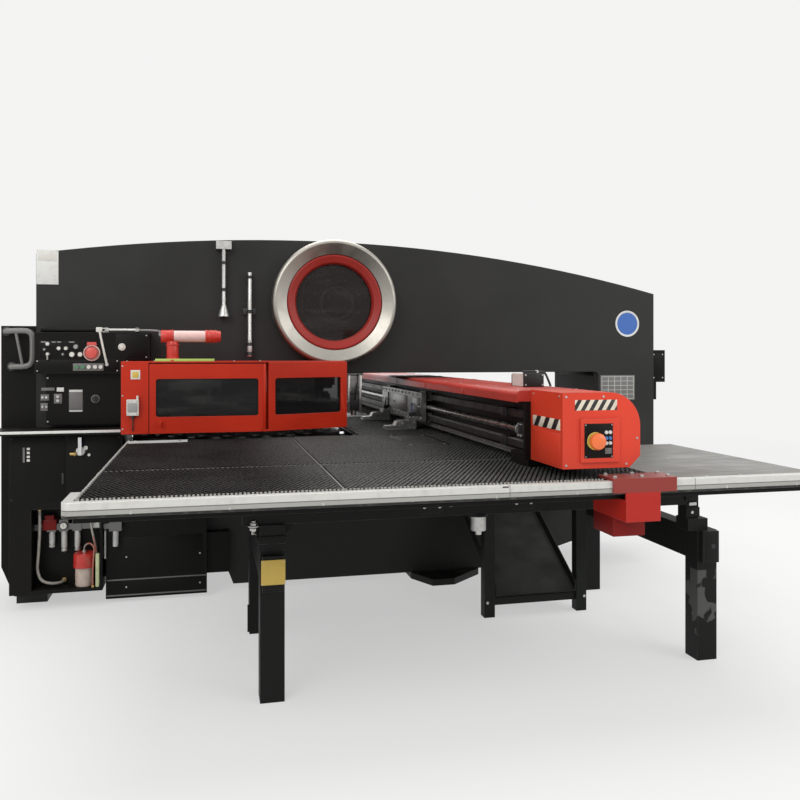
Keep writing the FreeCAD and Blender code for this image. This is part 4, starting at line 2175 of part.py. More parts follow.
def mode_selector():
    """The selector on the lower switch panel: stem, disc and grip."""
    across, face, up = console_holes()[2][0]
    front = face - S.selector_gap - S.selector_thick
    stem = rod((across, front + LAP, up), S.selector_stem, S.selector_thick + S.sheet_metal, "y")
    disc = rod((across, front, up), S.selector_radius, S.selector_thick, "y")
    low = (across - S.grip_half, front - S.selector_grip, up - S.grip_long)
    grip = box(low, (across + S.grip_half, front + PAST, up + S.grip_long))
    return join(stem, disc, grip)


# ---------------------------------------------------------------- assembly


def build():
    """Make every sub-part and give it its name."""
    parts = {
        "near_side_plate": near_side_plate(),
        "far_side_plate": far_side_plate(),
        "frame_rim": frame_rim(),
        "window_lining": window_lining(),
        "foot_pads": foot_pads(),
        "frame_covers": group(front_box(), rear_electrics_box(), front_pedestal()),
        "drive_cover_ring": drive_cover_ring(),
        "drive_cover_bezel": drive_cover_bezel(),
        "drive_window": drive_window(),
        "drive_motor": drive_motor(),
        "crankshaft": crankshaft(),
        "connecting_rod": connecting_rod(),
        "ram": ram(),
        "drive_bearings": group(crank_bearing(), ram_guide()),
        "striker": striker(),
        "upper_turret": upper_turret(),
        "lower_turret": lower_turret(),
        "punch_holders": punch_holders(),
        "die_holders": die_holders(),
        "turret_gearmotors": turret_gearmotors(),
        "guard_frames": guard_frames(),
        "guard_windows": guard_windows(),
        "guard_door": guard_door(),
        "guard_door_window": guard_door_window(),
        "guard_lock": guard_lock(),
        "signal_lamp": signal_lamp(),
        "service_pipes": service_pipes(),
        "console_box": console_box(),
        "console_stop": stop_button(console_holes()[0][0]),
        "start_button": push_button(console_holes()[1][0]),
        "mode_selector": mode_selector(),
        "air_cabinet": air_cabinet(),
        "air_unit": group(air_unit(), side_filter()),
        "air_hoses": air_hoses(),
        "oil_reservoir": oil_reservoir(),
        "valve_lever": valve_lever(),
        "side_tables": side_tables(),
        "brush_panels": brush_panels(),
        "rear_panels": rear_panels(),
        "edge_rails": edge_rails(),
        "centre_table": centre_table(),
        "support_frames": support_frames(),
        "scrap_chute": group(chute_plate(), chute_stand()),
        "carriage_beam": carriage_beam(),
        "beam_cover": beam_cover(),
        "end_boxes": group(end_boxes(), end_brackets()),
        "near_stop": stop_button(stop_place()),
        "carriage_rails": carriage_rails(),
        "carriage_screw": carriage_screw(),
        "carriage_motor": carriage_motor(),
        "carriage_plate": carriage_plate(),
        "clamp_bodies": clamp_bodies(),
        "travel_screw": travel_screw(),
        "travel_motor": travel_motor(),
    }
    for name, along in zip(("near_clamp_jaw", "far_clamp_jaw"), clamp_places()):
        parts[name] = clamp_jaw(along)
    for side, sense in (("near", -1), ("far", 1)):
        for end, across in zip(("front", "rear"), roller_places()):
            parts[f"{side}_{end}_roller"] = support_roller(across, sense)
    for name, item in parts.items():
        named(item, name)
    return parts


def check(parts):
    """Stop if any object failed or any sub-part has no sound shape."""
    for item in doc.Objects:
        if "Invalid" in item.State or "Error" in item.State:
            raise SystemExit(f"{item.Name} ({item.Label}) failed: {item.State}")
    for name, item in parts.items():
        if item.Shape.isNull() or not item.Shape.isValid():
            raise SystemExit(f"{name} has no sound shape")


def export(parts):
    """Write one file for each sub-part."""
    for name, item in parts.items():
        item.Shape.exportStep(f"parts/{name}.step")


pieces = build()
doc.recompute()
check(pieces)
export(pieces)
print(f"{len(pieces)} sub-parts written")
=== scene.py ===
"""Looks of a CNC turret punch press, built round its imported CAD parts.

Each sub-assembly is a class that builds the detail its CAD parts lack and dresses every part in a
procedural finish. Sizes are in metres in the part's own frame: x runs along the frame towards its
rear, y to its far side and z up, with the punch over x = 0 and y = 0.
"""

from __future__ import annotations

import logging
import math
import random
from dataclasses import dataclass, field
from enum import Enum
from itertools import product
from typing import Any, Iterable, Sequence

import bmesh
import bpy
from mathutils import Matrix, Vector

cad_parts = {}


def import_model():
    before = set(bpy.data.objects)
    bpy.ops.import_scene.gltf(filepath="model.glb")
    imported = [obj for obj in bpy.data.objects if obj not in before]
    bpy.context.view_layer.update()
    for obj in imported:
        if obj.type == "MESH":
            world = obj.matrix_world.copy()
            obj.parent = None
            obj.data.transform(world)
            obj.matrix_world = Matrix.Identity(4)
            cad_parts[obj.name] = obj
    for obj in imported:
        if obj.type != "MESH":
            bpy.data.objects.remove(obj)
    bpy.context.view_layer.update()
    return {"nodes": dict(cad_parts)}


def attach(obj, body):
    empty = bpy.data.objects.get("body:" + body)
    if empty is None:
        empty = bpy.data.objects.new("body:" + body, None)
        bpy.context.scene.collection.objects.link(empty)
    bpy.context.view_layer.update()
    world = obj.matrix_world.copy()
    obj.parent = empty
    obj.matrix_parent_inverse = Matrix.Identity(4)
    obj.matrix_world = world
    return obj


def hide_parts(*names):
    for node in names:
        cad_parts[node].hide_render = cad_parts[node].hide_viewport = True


LOG = logging.getLogger("punch_press")

Point = tuple[float, float, float]
Colour = tuple[float, float, float]
Outline = Sequence[tuple[float, float]]

SMOOTH_BELOW = math.radians(38)
"""Edges that turn by less than this are shaded smooth."""
BEVEL_FROM = math.radians(25)
"""Edges of a made piece that turn by more than this are rounded."""
SOFTEN_FROM = math.radians(40)
"""Edges of a CAD part that turn by more than this are rounded."""
FRAME_FACE = -0.35
"""The y of the frame's near face."""
DRIVE_Z = 1.741
"""The height of the crank drive's axis."""
CRANK_X = 0.022
"""The x of the crank drive's axis."""


class Axis(Enum):
    """The direction that a round or extruded form runs along."""

    X = "x"
    Y = "y"
    Z = "z"

    def matrix(self) -> Matrix:
        """Turn a form that runs along z so that it runs along this axis.

        Returns:
            The turn.
        """
        if self is Axis.X:
            return Matrix.Rotation(math.pi / 2, 4, "Y")
        if self is Axis.Y:
            return Matrix.Rotation(-math.pi / 2, 4, "X")
        return Matrix.Identity(4)


# ---------------------------------------------------------------- shader maths


class Value:
    """A number, colour or vector that a material works out over its surface."""

    def __init__(self, graph: Graph, socket: bpy.types.NodeSocket) -> None:
        """Wrap one socket of a graph."""
        self.graph = graph
        self.socket = socket

    def output(self, name: str) -> Value:
        """Another output of the node that this value comes from."""
        return Value(self.graph, self.socket.node.outputs[name])

    def _math(self, operation: str, first: Any, second: Any) -> Value:
        """A Math node on two values."""
        return self.graph.node("ShaderNodeMath", {"operation": operation}, {0: first, 1: second})

    def __add__(self, other: Any) -> Value:
        """This plus another."""
        return self._math("ADD", self, other)

    __radd__ = __add__

    def __sub__(self, other: Any) -> Value:
        """This less another."""
        return self._math("SUBTRACT", self, other)

    def __rsub__(self, other: Any) -> Value:
        """Another less this."""
        return self._math("SUBTRACT", other, self)

    def __mul__(self, other: Any) -> Value:
        """This times another."""
        return self._math("MULTIPLY", self, other)

    __rmul__ = __mul__

    def __truediv__(self, other: Any) -> Value:
        """This divided by another."""
        return self._math("DIVIDE", self, other)

    def __mod__(self, other: Any) -> Value:
        """What is left of this after whole steps of another."""
        return self._math("FLOORED_MODULO", self, other)

    def __gt__(self, other: Any) -> Value:
        """1 where this is over another, 0 elsewhere."""
        return self._math("GREATER_THAN", self, other)

    def most(self, other: Any) -> Value:
        """The larger of this and another value."""
        return self._math("MAXIMUM", self, other)


class Graph:
    """The node graph of one material or of the world."""

    def __init__(self, owner: bpy.types.Material | bpy.types.World) -> None:
        """Start its owner's graph with no nodes.

        Args:
            owner: The material or world that the nodes belong to.
        """
        self.owner = owner
        owner.use_nodes = True
        self.tree = owner.node_tree
        self.tree.nodes.clear()

    def node(
        self,
        kind: str,
        settings: dict[str, Any] | None = None,
        sockets: dict[Any, Any] | None = None,
        output: Any = 0,
    ) -> Value:
        """Make any node.

        Args:
            kind: The node's type.
            settings: Its own settings, set first.
            sockets: Values or links for its inputs, by name or number.
            output: The output that the returned value reads.

        Returns:
            The chosen output.
        """
        made = self.tree.nodes.new(kind)
        for key, value in (settings or {}).items():
            setattr(made, key, value)
        for key, value in (sockets or {}).items():
            if isinstance(value, Value):
                self.tree.links.new(value.socket, made.inputs[key])
            else:
                made.inputs[key].default_value = value
        return Value(self, made.outputs[output])

    def place(self) -> Value:
        """The point on the surface, in metres, which moves with its part."""
        return self.node("ShaderNodeTexCoord", output="Object")

    def part_of(self, value: Value, name: str) -> Value:
        """One of a vector's X, Y and Z."""
        return self.node("ShaderNodeSeparateXYZ", {}, {0: value}, name)

    def stretched(self, stretch: Point) -> Value:
        """The point on the surface with each direction scaled."""
        return self.node("ShaderNodeVectorMath", {"operation": "MULTIPLY"}, {0: self.place(), 1: stretch})

    def noise(self, scale: float, detail: float = 2.0, at: Value | None = None) -> Value:
        """Soft noise about 0.5, with a scale in features per metre."""
        sockets = {"Vector": at or self.place(), "Scale": scale, "Detail": detail}
        return self.node("ShaderNodeTexNoise", {}, sockets, "Fac")

    def between(self, value: Value, low: float, high: float) -> Value:
        """A smooth step from 0 at low to 1 at high."""
        settings = {"interpolation_type": "SMOOTHSTEP", "clamp": True}
        return self.node("ShaderNodeMapRange", settings, {0: value, 1: low, 2: high})

    def mix(self, factor: Any, first: Any, second: Any) -> Value:
        """A colour from the first, where the factor is 0, to the second, where it is 1."""
        first, second = ((*end, 1.0) if isinstance(end, tuple) else end for end in (first, second))
        return self.node("ShaderNodeMix", {"data_type": "RGBA"}, {0: factor, 6: first, 7: second}, 2)

    def facing_up(self) -> Value:
        """1 on surfaces that face up, 0 on walls and undersides."""
        normal = self.node("ShaderNodeTexCoord", output="Normal")
        return self.between(self.part_of(normal, "Z"), 0.5, 0.95)

    def inside(self, low: Point, high: Point) -> Value:
        """A mask of a box.

        Args:
            low: The box's lowest corner.
            high: Its highest corner.

        Returns:
            1 inside the box, 0 outside it.
        """
        mask = None
        for axis, start, end in zip("XYZ", low, high):
            level = self.part_of(self.place(), axis)
            span = (level > start) * (1 - (level > end))
            mask = span if mask is None else mask * span
        return mask

    def rounded(self, radius: float) -> Value:
        """The surface's normal, with its sharp edges rounded by a radius."""
        return self.node("ShaderNodeBevel", {"samples": 4}, {"Radius": radius}, "Normal")

    def worn_edges(self, radius: float) -> Value:
        """A mask of the sharp edges, broken up by noise.

        Args:
            radius: How far the wear reaches from an edge, in metres.

        Returns:
            1 along the edges, 0 elsewhere.
        """
        flat = self.node("ShaderNodeNewGeometry", output="Normal")
        settings = {"operation": "DOT_PRODUCT"}
        dot = self.node("ShaderNodeVectorMath", settings, {0: self.rounded(radius), 1: flat}, "Value")
        return self.between((1 - dot) * 6 * self.noise(18, 4), 0.28, 0.5)

    def bump(self, height: Value, depth: float, under: Value | None = None) -> Value:
        """A normal that follows a height, whose range of 1 is a depth in metres."""
        below = {} if under is None else {"Normal": under}
        return self.node("ShaderNodeBump", {}, {"Height": height, "Distance": depth, "Strength": 1.0} | below)

    def finish(self, sockets: dict[str, Any]) -> bpy.types.Material:
        """Close the graph with a principled surface.

        Args:
            sockets: Values or links for its inputs.

        Returns:
            The material.
        """
        surface = self.node("ShaderNodeBsdfPrincipled", {}, sockets)
        self.close(surface)
        return self.owner

    def close(self, surface: Value, output: str = "ShaderNodeOutputMaterial") -> None:
        """Connect a surface to the owner's output."""
        out = self.tree.nodes.new(output)
        self.tree.links.new(surface.socket, out.inputs["Surface"])

    def seen(self) -> Value:
        """1 where the camera, a reflection or a clear pane looks straight at the surface."""
        path = self.node("ShaderNodeLightPath", output="Is Camera Ray")
        return path.most(path.output("Is Glossy Ray")).most(path.output("Is Transmission Ray"))


# ---------------------------------------------------------------- finishes


@dataclass(frozen=True)
class Paint:
    """Sprayed paint on steel: orange peel, uneven tone, dust, scuffs and edges worn through."""

    name: str
    colour: Colour
    rough: float = 0.42
    peel: float = 0.00012
    peel_scale: float = 260.0
    tone: float = 0.18
    dust: float = 0.18
    dust_colour: Colour = (0.3, 0.28, 0.25)
    wear: float = 0.5
    bare: Colour = (0.3, 0.29, 0.28)
    edge: float = 0.0022
    scuffs: float = 0.35
    gloss: float = 0.5
    coat: float = 0.0
    patch: tuple[Point, Point] | None = None
    patch_colour: Colour = (0.085, 0.085, 0.082)
    below: tuple[tuple[float, Colour], ...] = ()

    def material(self) -> bpy.types.Material:
        """Build the material.

        Returns:
            The material.
        """
        graph = Graph(bpy.data.materials.new(self.name))
        tone = graph.between(graph.noise(2.3, 5), 0.3, 0.72)
        dark = tuple(part * (1 - self.tone) for part in self.colour)
        light = tuple(min(1.0, part * (1 + self.tone)) for part in self.colour)
        colour = graph.mix(tone, dark, light)
        scratch = graph.between(graph.noise(5, 3, graph.stretched((1.0, 1.0, 26.0))), 0.66, 0.74)
        speck = graph.between(graph.noise(95, 2), 0.66, 0.78)
        scuff = (scratch * graph.between(graph.noise(1.7, 2), 0.5, 0.66)).most(speck * 0.4) * self.scuffs
        colour = graph.mix(scuff, colour, tuple(min(1.0, part * 1.6 + 0.035) for part in self.colour))
        for level, lower in self.below:
            colour = graph.mix(1 - (graph.part_of(graph.place(), "Z") > level), colour, lower)
        if self.patch:
            rubbed = graph.between(graph.noise(10, 3), 0.5, 0.54) * graph.inside(*self.patch)
            colour = graph.mix(rubbed, colour, self.patch_colour)
        settled = graph.facing_up() * graph.between(graph.noise(6, 6), 0.25, 0.8) * self.dust
        colour = graph.mix(settled, colour, self.dust_colour)
        worn = graph.worn_edges(self.edge) * self.wear
        colour = graph.mix(worn, colour, self.bare)
        rough = self.rough + (tone - 0.5) * 0.1 + settled * 0.35 + scuff * 0.2
        peel = graph.noise(self.peel_scale, 3)
        normal = graph.bump(peel, self.peel, graph.rounded(self.edge))
        return graph.finish(
            {
                "Base Color": colour,
                "Roughness": rough,
                "Metallic": worn * 0.5,
                "Normal": normal,
                "Specular IOR Level": self.gloss,
                "Coat Weight": self.coat,
                "Coat Roughness": 0.12,
            }
        )


@dataclass(frozen=True)
class Metal:
    """Bare or plated metal with machining lines, smudges and stains, and, where a lit colour is given, a
    painted highlight on the faces that face up.
    """

    name: str
    colour: Colour
    rough: float = 0.32
    lines: Point = (1.0, 1.0, 40.0)
    line_scale: float = 30.0
    line_depth: float = 0.00004
    stain: Colour = (0.16, 0.14, 0.11)
    stained: float = 0.25
    edge: float = 0.0015
    metallic: float = 1.0
    # lit: the colour of a painted highlight on upward faces, for the light that falls on them from above.
    lit: Colour | None = None

    def material(self) -> bpy.types.Material:
        """Build the material.

        Returns:
            The material.
        """
        graph = Graph(bpy.data.materials.new(self.name))
        line = graph.noise(self.line_scale, 4, graph.stretched(self.lines))
        dark = tuple(part * 0.78 for part in self.colour)
        colour = graph.mix(graph.between(line, 0.3, 0.7), dark, self.colour)
        stain = graph.between(graph.noise(7, 6), 0.5, 0.78) * self.stained
        colour = graph.mix(stain, colour, self.stain)
        # Painted highlight: faces that face up are mixed to the lit colour.
        if self.lit:
            colour = graph.mix(graph.facing_up(), colour, self.lit)
        smudge = graph.between(graph.noise(14, 4), 0.35, 0.75)
        rough = self.rough + (line - 0.5) * 0.16 + smudge * 0.1 + stain * 0.3
        return graph.finish(
            {
                "Base Color": colour,
                "Roughness": rough,
                "Metallic": (1 - stain * 0.6) * self.metallic,
                "Normal": graph.bump(line, self.line_depth, graph.rounded(self.edge)),
            }
        )


@dataclass(frozen=True)
class Plastic:
    """Moulded plastic: fine grain, handling marks and a little dust."""

    name: str
    colour: Colour
    rough: float = 0.38
    grain: float = 0.00005
    grain_scale: float = 900.0
    dirt: float = 0.3
    dirt_colour: Colour = (0.12, 0.1, 0.08)
    edge: float = 0.001
    coat: float = 0.0

    def material(self) -> bpy.types.Material:
        """Build the material.

        Returns:
            The material.
        """
        graph = Graph(bpy.data.materials.new(self.name))
        marks = graph.between(graph.noise(34, 5), 0.5, 0.8) * self.dirt
        colour = graph.mix(marks, self.colour, self.dirt_colour)
        rough = self.rough + marks * 0.3 + graph.noise(120, 2) * 0.06
        grain = graph.noise(self.grain_scale, 2)
        return graph.finish(
            {
                "Base Color": colour,
                "Roughness": rough,
                "Normal": graph.bump(grain, self.grain, graph.rounded(self.edge)),
                "Coat Weight": self.coat,
            }
        )


@dataclass(frozen=True)
class Zoned:
    """One part in several colours, which change at set places along an axis: several finishes on one part,
    and on the edge rails also a painted highlight band along the top.
    """

    name: str
    base: Colour
    zones: tuple[tuple[str, float, Colour], ...]
    rough: float = 0.36
    grain: float = 0.00005
    dirt: float = 0.3
    dirt_colour: Colour = (0.1, 0.08, 0.06)
    coat: float = 0.15
    metallic: float = 0.0

    def material(self) -> bpy.types.Material:
        """Build the material.

        Returns:
            The material.
        """
        graph = Graph(bpy.data.materials.new(self.name))
        colour: Any = self.base
        for axis, level, tone in self.zones:
            colour = graph.mix(graph.part_of(graph.place(), axis) > level, colour, tone)
        marks = graph.between(graph.noise(30, 5), 0.45, 0.8) * self.dirt
        colour = graph.mix(marks, colour, self.dirt_colour)
        return graph.finish(
            {
                "Base Color": colour,
                "Roughness": self.rough + marks * 0.3,
                "Metallic": self.metallic,
                "Normal": graph.bump(graph.noise(420, 2), self.grain, graph.rounded(0.001)),
                "Coat Weight": self.coat,
            }
        )


@dataclass(frozen=True)
class Pane:
    """A smoked sheet that shows what is behind it, with wiped smears and dust."""

    name: str
    tint: Colour = (0.012, 0.012, 0.012)
    cover: float = 0.74
    rough: float = 0.045
    gloss: float = 0.16

    def material(self) -> bpy.types.Material:
        """Build the material.

        Returns:
            The material.
        """
        graph = Graph(bpy.data.materials.new(self.name))
        smear = graph.between(graph.noise(5, 5, graph.stretched((0.6, 1.0, 3.4))), 0.45, 0.8)
        dust = graph.between(graph.noise(160, 3), 0.55, 0.8) * 0.25
        haze = (smear * 0.12).most(dust * 0.2)
        colour = graph.mix(haze, self.tint, (0.3, 0.29, 0.27))
        return graph.finish(
            {
                "Base Color": colour,
                "Roughness": self.rough + smear * 0.12,
                "Alpha": self.cover + haze,
                "Normal": graph.bump(graph.noise(9, 2), 0.0006),
                "Specular IOR Level": self.gloss,
            }
        )


@dataclass(frozen=True)
class Bristle:
    """Stiff nylon bristles, bundled in tufts, with pale tips that are partly dust and partly painted
    highlight, and a painted sheen over part of the table.
    """

    name: str
    colour: Colour
    tip: Colour
    low: float
    high: float

    def material(self) -> bpy.types.Material:
        """Build the material.

        Returns:
            The material.
        """
        graph = Graph(bpy.data.materials.new(self.name))
        up = graph.part_of(graph.place(), "Z")
        hair = graph.noise(1, 2, graph.stretched((1500.0, 1500.0, 90.0)))
        # Pale tips on the tufts' tops: partly dust, partly a painted highlight where light catches them.
        tips = graph.between(up, self.low, self.high) * graph.between(hair, 0.3, 0.62)
        worn = graph.between(graph.noise(3.2, 5), 0.25, 0.75)
        # Painted sheen: from x = -0.62 rearwards the tips are lightened much more, less so past x = 0.12, for
        # the light that the bristles reflect there.
        across = graph.part_of(graph.place(), "X")
        painted_sheen_band = graph.between(across, -0.62, -0.2) * (1 - graph.between(across, 0.12, 0.45) * 0.6)
        colour = graph.mix(tips * (0.06 + worn * 0.14 + painted_sheen_band * 0.8), self.colour, self.tip)
        sockets = {
            "Base Color": colour,
            "Roughness": 0.6 - tips * 0.15,
            "Specular IOR Level": 0.15,
            "Normal": graph.bump(hair, 0.0009),
        }
        return graph.finish(sockets)


@dataclass(frozen=True)
class WornPlate:
    """A painted or oxidised sheet that sliding metal has scratched and polished."""

    name: str
    colour: Colour
    light: Colour
    dark: Colour
    rough: float = 0.4
    along: Point = (1.0, 14.0, 1.0)

    def material(self) -> bpy.types.Material:
        """Build the material.

        Returns:
            The material.
        """
        graph = Graph(bpy.data.materials.new(self.name))
        streak = graph.noise(6, 6, graph.stretched(self.along))
        fine = graph.noise(42, 4, graph.stretched(self.along))
        blotch = graph.between(graph.noise(1.6, 6), 0.35, 0.7)
        colour = graph.mix(graph.between(streak, 0.35, 0.7) * 0.7, self.colour, self.light)
        colour = graph.mix(graph.between(fine, 0.62, 0.72) * 0.55, colour, self.light)
        colour = graph.mix(blotch * 0.45, colour, self.dark)
        rough = self.rough + blotch * 0.18 - graph.between(streak, 0.4, 0.7) * 0.12
        return graph.finish(
            {
                "Base Color": colour,
                "Roughness": rough,
                "Metallic": 0.35 + graph.between(fine, 0.5, 0.7) * 0.3,
                "Normal": graph.bump(fine, 0.00006, graph.rounded(0.0015)),
            }
        )


@dataclass(frozen=True)
class Stripes:
    """Slanted warning stripes, printed on film, with rubbed spots."""

    name: str
    pale: Colour
    pitch: float
    across: str
    slant: float
    dark: Colour = (0.012, 0.012, 0.012)

    def material(self) -> bpy.types.Material:
        """Build the material.

        Returns:
            The material.
        """
        graph = Graph(bpy.data.materials.new(self.name))
        spot = graph.place()
        slope = graph.part_of(spot, self.across) + graph.part_of(spot, "Z") * self.slant
        band = (slope / self.pitch) % 1 > 0.5
        colour = graph.mix(band, self.dark, self.pale)
        rub = graph.between(graph.noise(55, 5), 0.58, 0.75) * 0.4
        colour = graph.mix(rub, colour, (0.25, 0.2, 0.15))
        return graph.finish(
            {
                "Base Color": colour, "Roughness": 0.35 + rub * 0.4,
                "Normal": graph.bump(graph.noise(300, 2), 0.00004)})


# ---------------------------------------------------------------- mesh maker


class Shape:
    """Solids that together make one piece, each in one of the piece's finishes."""

    def __init__(self) -> None:
        """Start with nothing in it."""
        self.mesh = bmesh.new()

    def _add(self, made: bmesh.types.BMesh, slot: int, bevel: float = 0.0) -> Shape:
        """Take one solid in.

        Args:
            made: The solid, which is freed.
            slot: The finish it takes.
            bevel: The rounding of its edges.

        Returns:
            The shape.
        """
        if bevel > 0:
            edges = [edge for edge in made.edges if edge.is_manifold and edge.calc_face_angle() > BEVEL_FROM]
            bmesh.ops.bevel(
                made, geom=edges, offset=bevel, segments=2, profile=0.5, affect="EDGES", clamp_overlap=True
            )
        bmesh.ops.recalc_face_normals(made, faces=made.faces)
        for face in made.faces:
            face.material_index = slot
            face.smooth = True
        for edge in made.edges:
            edge.smooth = not (edge.is_manifold and edge.calc_face_angle() > SMOOTH_BELOW)
        store = bpy.data.meshes.new("part")
        made.to_mesh(store)
        made.free()
        self.mesh.from_mesh(store)
        bpy.data.meshes.remove(store)
        return self

    def block(self, low: Point, high: Point, bevel: float = 0.001, slot: int = 0) -> Shape:
        """A box with rounded edges.

        Args:
            low: Its lowest corner.
            high: Its highest corner.
            bevel: The rounding of its edges.
            slot: The finish it takes.

        Returns:
            The shape.
        """
        made = bmesh.new()
        size = Vector(high) - Vector(low)
        centre = (Vector(high) + Vector(low)) / 2
        bmesh.ops.create_cube(
            made, size=1.0, matrix=Matrix.Translation(centre) @ Matrix.Diagonal((*size, 1.0)))
        return self._add(made, slot, bevel)

    def side_block(self, side: int, low: Point, high: Point, bevel: float = 0.001, slot: int = 0) -> Shape:
        """A box that is given on the far side, or its mirror image on the near side.

        Args:
            side: 1 for the far side, -1 for the near side.
            low: Two opposite corners, on the far side.
            high: The other of them.
            bevel: The rounding of its edges.
            slot: The finish it takes.

        Returns:
            The shape.
        """
        start, end = sorted((side * low[1], side * high[1]))
        return self.block((low[0], start, low[2]), (high[0], end, high[2]), bevel, slot)

    def prism(
        self,
        outline: Outline,
        axis: Axis,
        start: float,
        end: float,
        bevel: float = 0.0,
        slot: int = 0,
    ) -> Shape:
        """An outline pulled along an axis.

        Args:
            outline: Its corners. They are (y, z) along x, (x, z) along y and (x, y) along z.
            axis: The direction of pull.
            start: Where the form starts on that axis.
            end: Where it ends.
            bevel: The rounding of its edges.
            slot: The finish it takes.

        Returns:
            The shape.
        """
        made = bmesh.new()
        rings = []
        for level in (start, end):
            ring = []
            for first, second in outline:
                spot = {
                    Axis.X: (level, first, second), Axis.Y: (first, level, second),
                    Axis.Z: (first, second, level)}
                ring.append(made.verts.new(spot[axis]))
            rings.append(ring)
        count = len(outline)
        for index in range(count):
            after = (index + 1) % count
            made.faces.new((rings[0][index], rings[0][after], rings[1][after], rings[1][index]))
        made.faces.new(rings[0])
        made.faces.new(rings[1])
        return self._add(made, slot, bevel)

    def turned(
        self, profile: Outline, at: Point, axis: Axis = Axis.Z, sides: int = 32, slot: int = 0,
        flip: bool = False
    ) -> Shape:
        """A profile of (radius, height) turned round an axis through a point.

        Args:
            profile: From one end to the other. An end off the axis is closed by a flat face, and a
                profile that ends where it starts makes a ring.
            at: The point where height is 0.
            axis: The direction of height.
            sides: The number of facets.
            slot: The finish it takes.
            flip: Whether height runs backwards.

        Returns:
            The shape.
        """
        made = bmesh.new()
        rings = []
        hooped = profile[0] == profile[-1]
        for radius, height in profile[:-1] if hooped else profile:
            level = -height if flip else height
            if radius < 1e-6:
                rings.append([made.verts.new((0, 0, level))])
                continue
            ring = []
            for step in range(sides):
                angle = math.tau * step / sides
                ring.append(made.verts.new((radius * math.cos(angle), radius * math.sin(angle), level)))
            rings.append(ring)
        for lower, upper in zip(rings, rings[1:] + rings[:1] if hooped else rings[1:]):
            for step in range(sides):
                after = (step + 1) % sides
                corners = [lower[step % len(lower)], lower[after % len(lower)]]
                corners += [upper[after % len(upper)], upper[step % len(upper)]]
                corners = list(dict.fromkeys(corners))
                if len(corners) > 2:
                    made.faces.new(corners)
        for ring in (rings[0], rings[-1]):
            if len(ring) > 1 and not hooped:
                made.faces.new(ring)
        made.transform(Matrix.Translation(Vector(at)) @ axis.matrix())
        return self._add(made, slot)

    def rod(
        self,
        at: Point,
        radius: float,
        length: float,
        axis: Axis = Axis.Z,
        bevel: float = 0.0008,
        sides: int = 24,
        slot: int = 0,
    ) -> Shape:
        """A round bar from a point along an axis.

        Args:
            at: The centre of its first end.
            radius: Its radius.
            length: Its length. A negative one runs backwards.
            axis: Its direction.
            bevel: The slant of its ends' edges.
            sides: The number of facets.
            slot: The finish it takes.

        Returns:
            The shape.
        """
        flip = length < 0
        length = abs(length)
        bevel = min(bevel, radius * 0.4, length * 0.4)
        near = [(0, 0), (radius - bevel, 0), (radius, bevel)]
        far = [(radius, length - bevel), (radius - bevel, length), (0, length)]
        return self.turned(list(dict.fromkeys(near + far)), at, axis, sides, slot, flip)

    def tube(self, route: Sequence[Point], radius: float, slot: int = 0) -> Shape:
        """A bent round bar on one smooth line.

        Args:
            route: The points that draw the line along.
            radius: The bar's radius.
            slot: The finish it takes.

        Returns:
            The shape.
        """
        line = bpy.data.curves.new("route", "CURVE")
        line.dimensions = "3D"
        line.bevel_depth = radius
        line.bevel_resolution = 2
        line.use_fill_caps = True
        spline = line.splines.new("NURBS")
        spline.points.add(len(route) - 1)
        for knot, spot in zip(spline.points, route):
            knot.co = (*spot, 1.0)
        spline.order_u = min(3, len(route))
        spline.use_endpoint_u = True
        spline.resolution_u = 8
        holder = bpy.data.objects.new("route", line)
        mesh = bpy.data.meshes.new_from_object(holder)
        made = bmesh.new()
        made.from_mesh(mesh)
        bmesh.ops.remove_doubles(made, verts=made.verts, dist=1e-5)
        bpy.data.objects.remove(holder)
        bpy.data.curves.remove(line)
        bpy.data.meshes.remove(mesh)
        return self._add(made, slot)

    def bristles(
        self, spots: Iterable[tuple[float, float]], low: float, high: float, root: float, tip: float,
        slot: int = 0
    ) -> Shape:
        """A tuft of bristles at each spot, a little wider and uneven at its tip.

        Args:
            spots: The x and y of each tuft.
            low: The z of the roots.
            high: The z of the tips.
            root: The radius at the roots.
            tip: The radius at the tips.
            slot: The finish they take.

        Returns:
            The shape.
        """
        chance = random.Random(7)
        corners: list[Point] = []
        faces: list[tuple[int, ...]] = []
        sides = 5
        for across, along in spots:
            first = len(corners)
            turn = chance.random()
            lean = (chance.uniform(-0.0011, 0.0011), chance.uniform(-0.0011, 0.0011))
            top = high - chance.random() * 0.0009
            for level, radius, drift in ((low, root, 0.0), (top, tip, 1.0)):
                for step in range(sides):
                    angle = math.tau * (step / sides + turn)
                    x = across + lean[0] * drift + radius * math.cos(angle)
                    y = along + lean[1] * drift + radius * math.sin(angle)
                    corners.append((x, y, level))
            for step in range(sides):
                after = (step + 1) % sides
                faces.append((first + step, first + after, first + sides + after, first + sides + step))
            faces.append(tuple(first + sides + step for step in range(sides)))
            faces.append(tuple(first + step for step in reversed(range(sides))))
        store = bpy.data.meshes.new("bristles")
        store.from_pydata(corners, [], faces)
        made = bmesh.new()
        made.from_mesh(store)
        for face in made.faces:
            face.material_index = slot
        made.to_mesh(store)
        made.free()
        self.mesh.from_mesh(store)
        bpy.data.meshes.remove(store)
        return self

    def hexagon(self, at: Point, radius: float, height: float, axis: Axis = Axis.Z, slot: int = 0) -> Shape:
        """A bolt head.

        Args:
            at: The middle of its foot.
            radius: Its radius over the corners.
            height: Its height. A negative one stands backwards.
            axis: The direction that it stands in.
            slot: The finish it takes.

        Returns:
            The shape.
        """
        flip = height < 0
        tall = abs(height)
        profile = [(0, 0), (radius, 0), (radius, tall * 0.8), (radius * 0.86, tall), (0, tall)]
        return self.turned(profile, at, axis, 6, slot, flip)

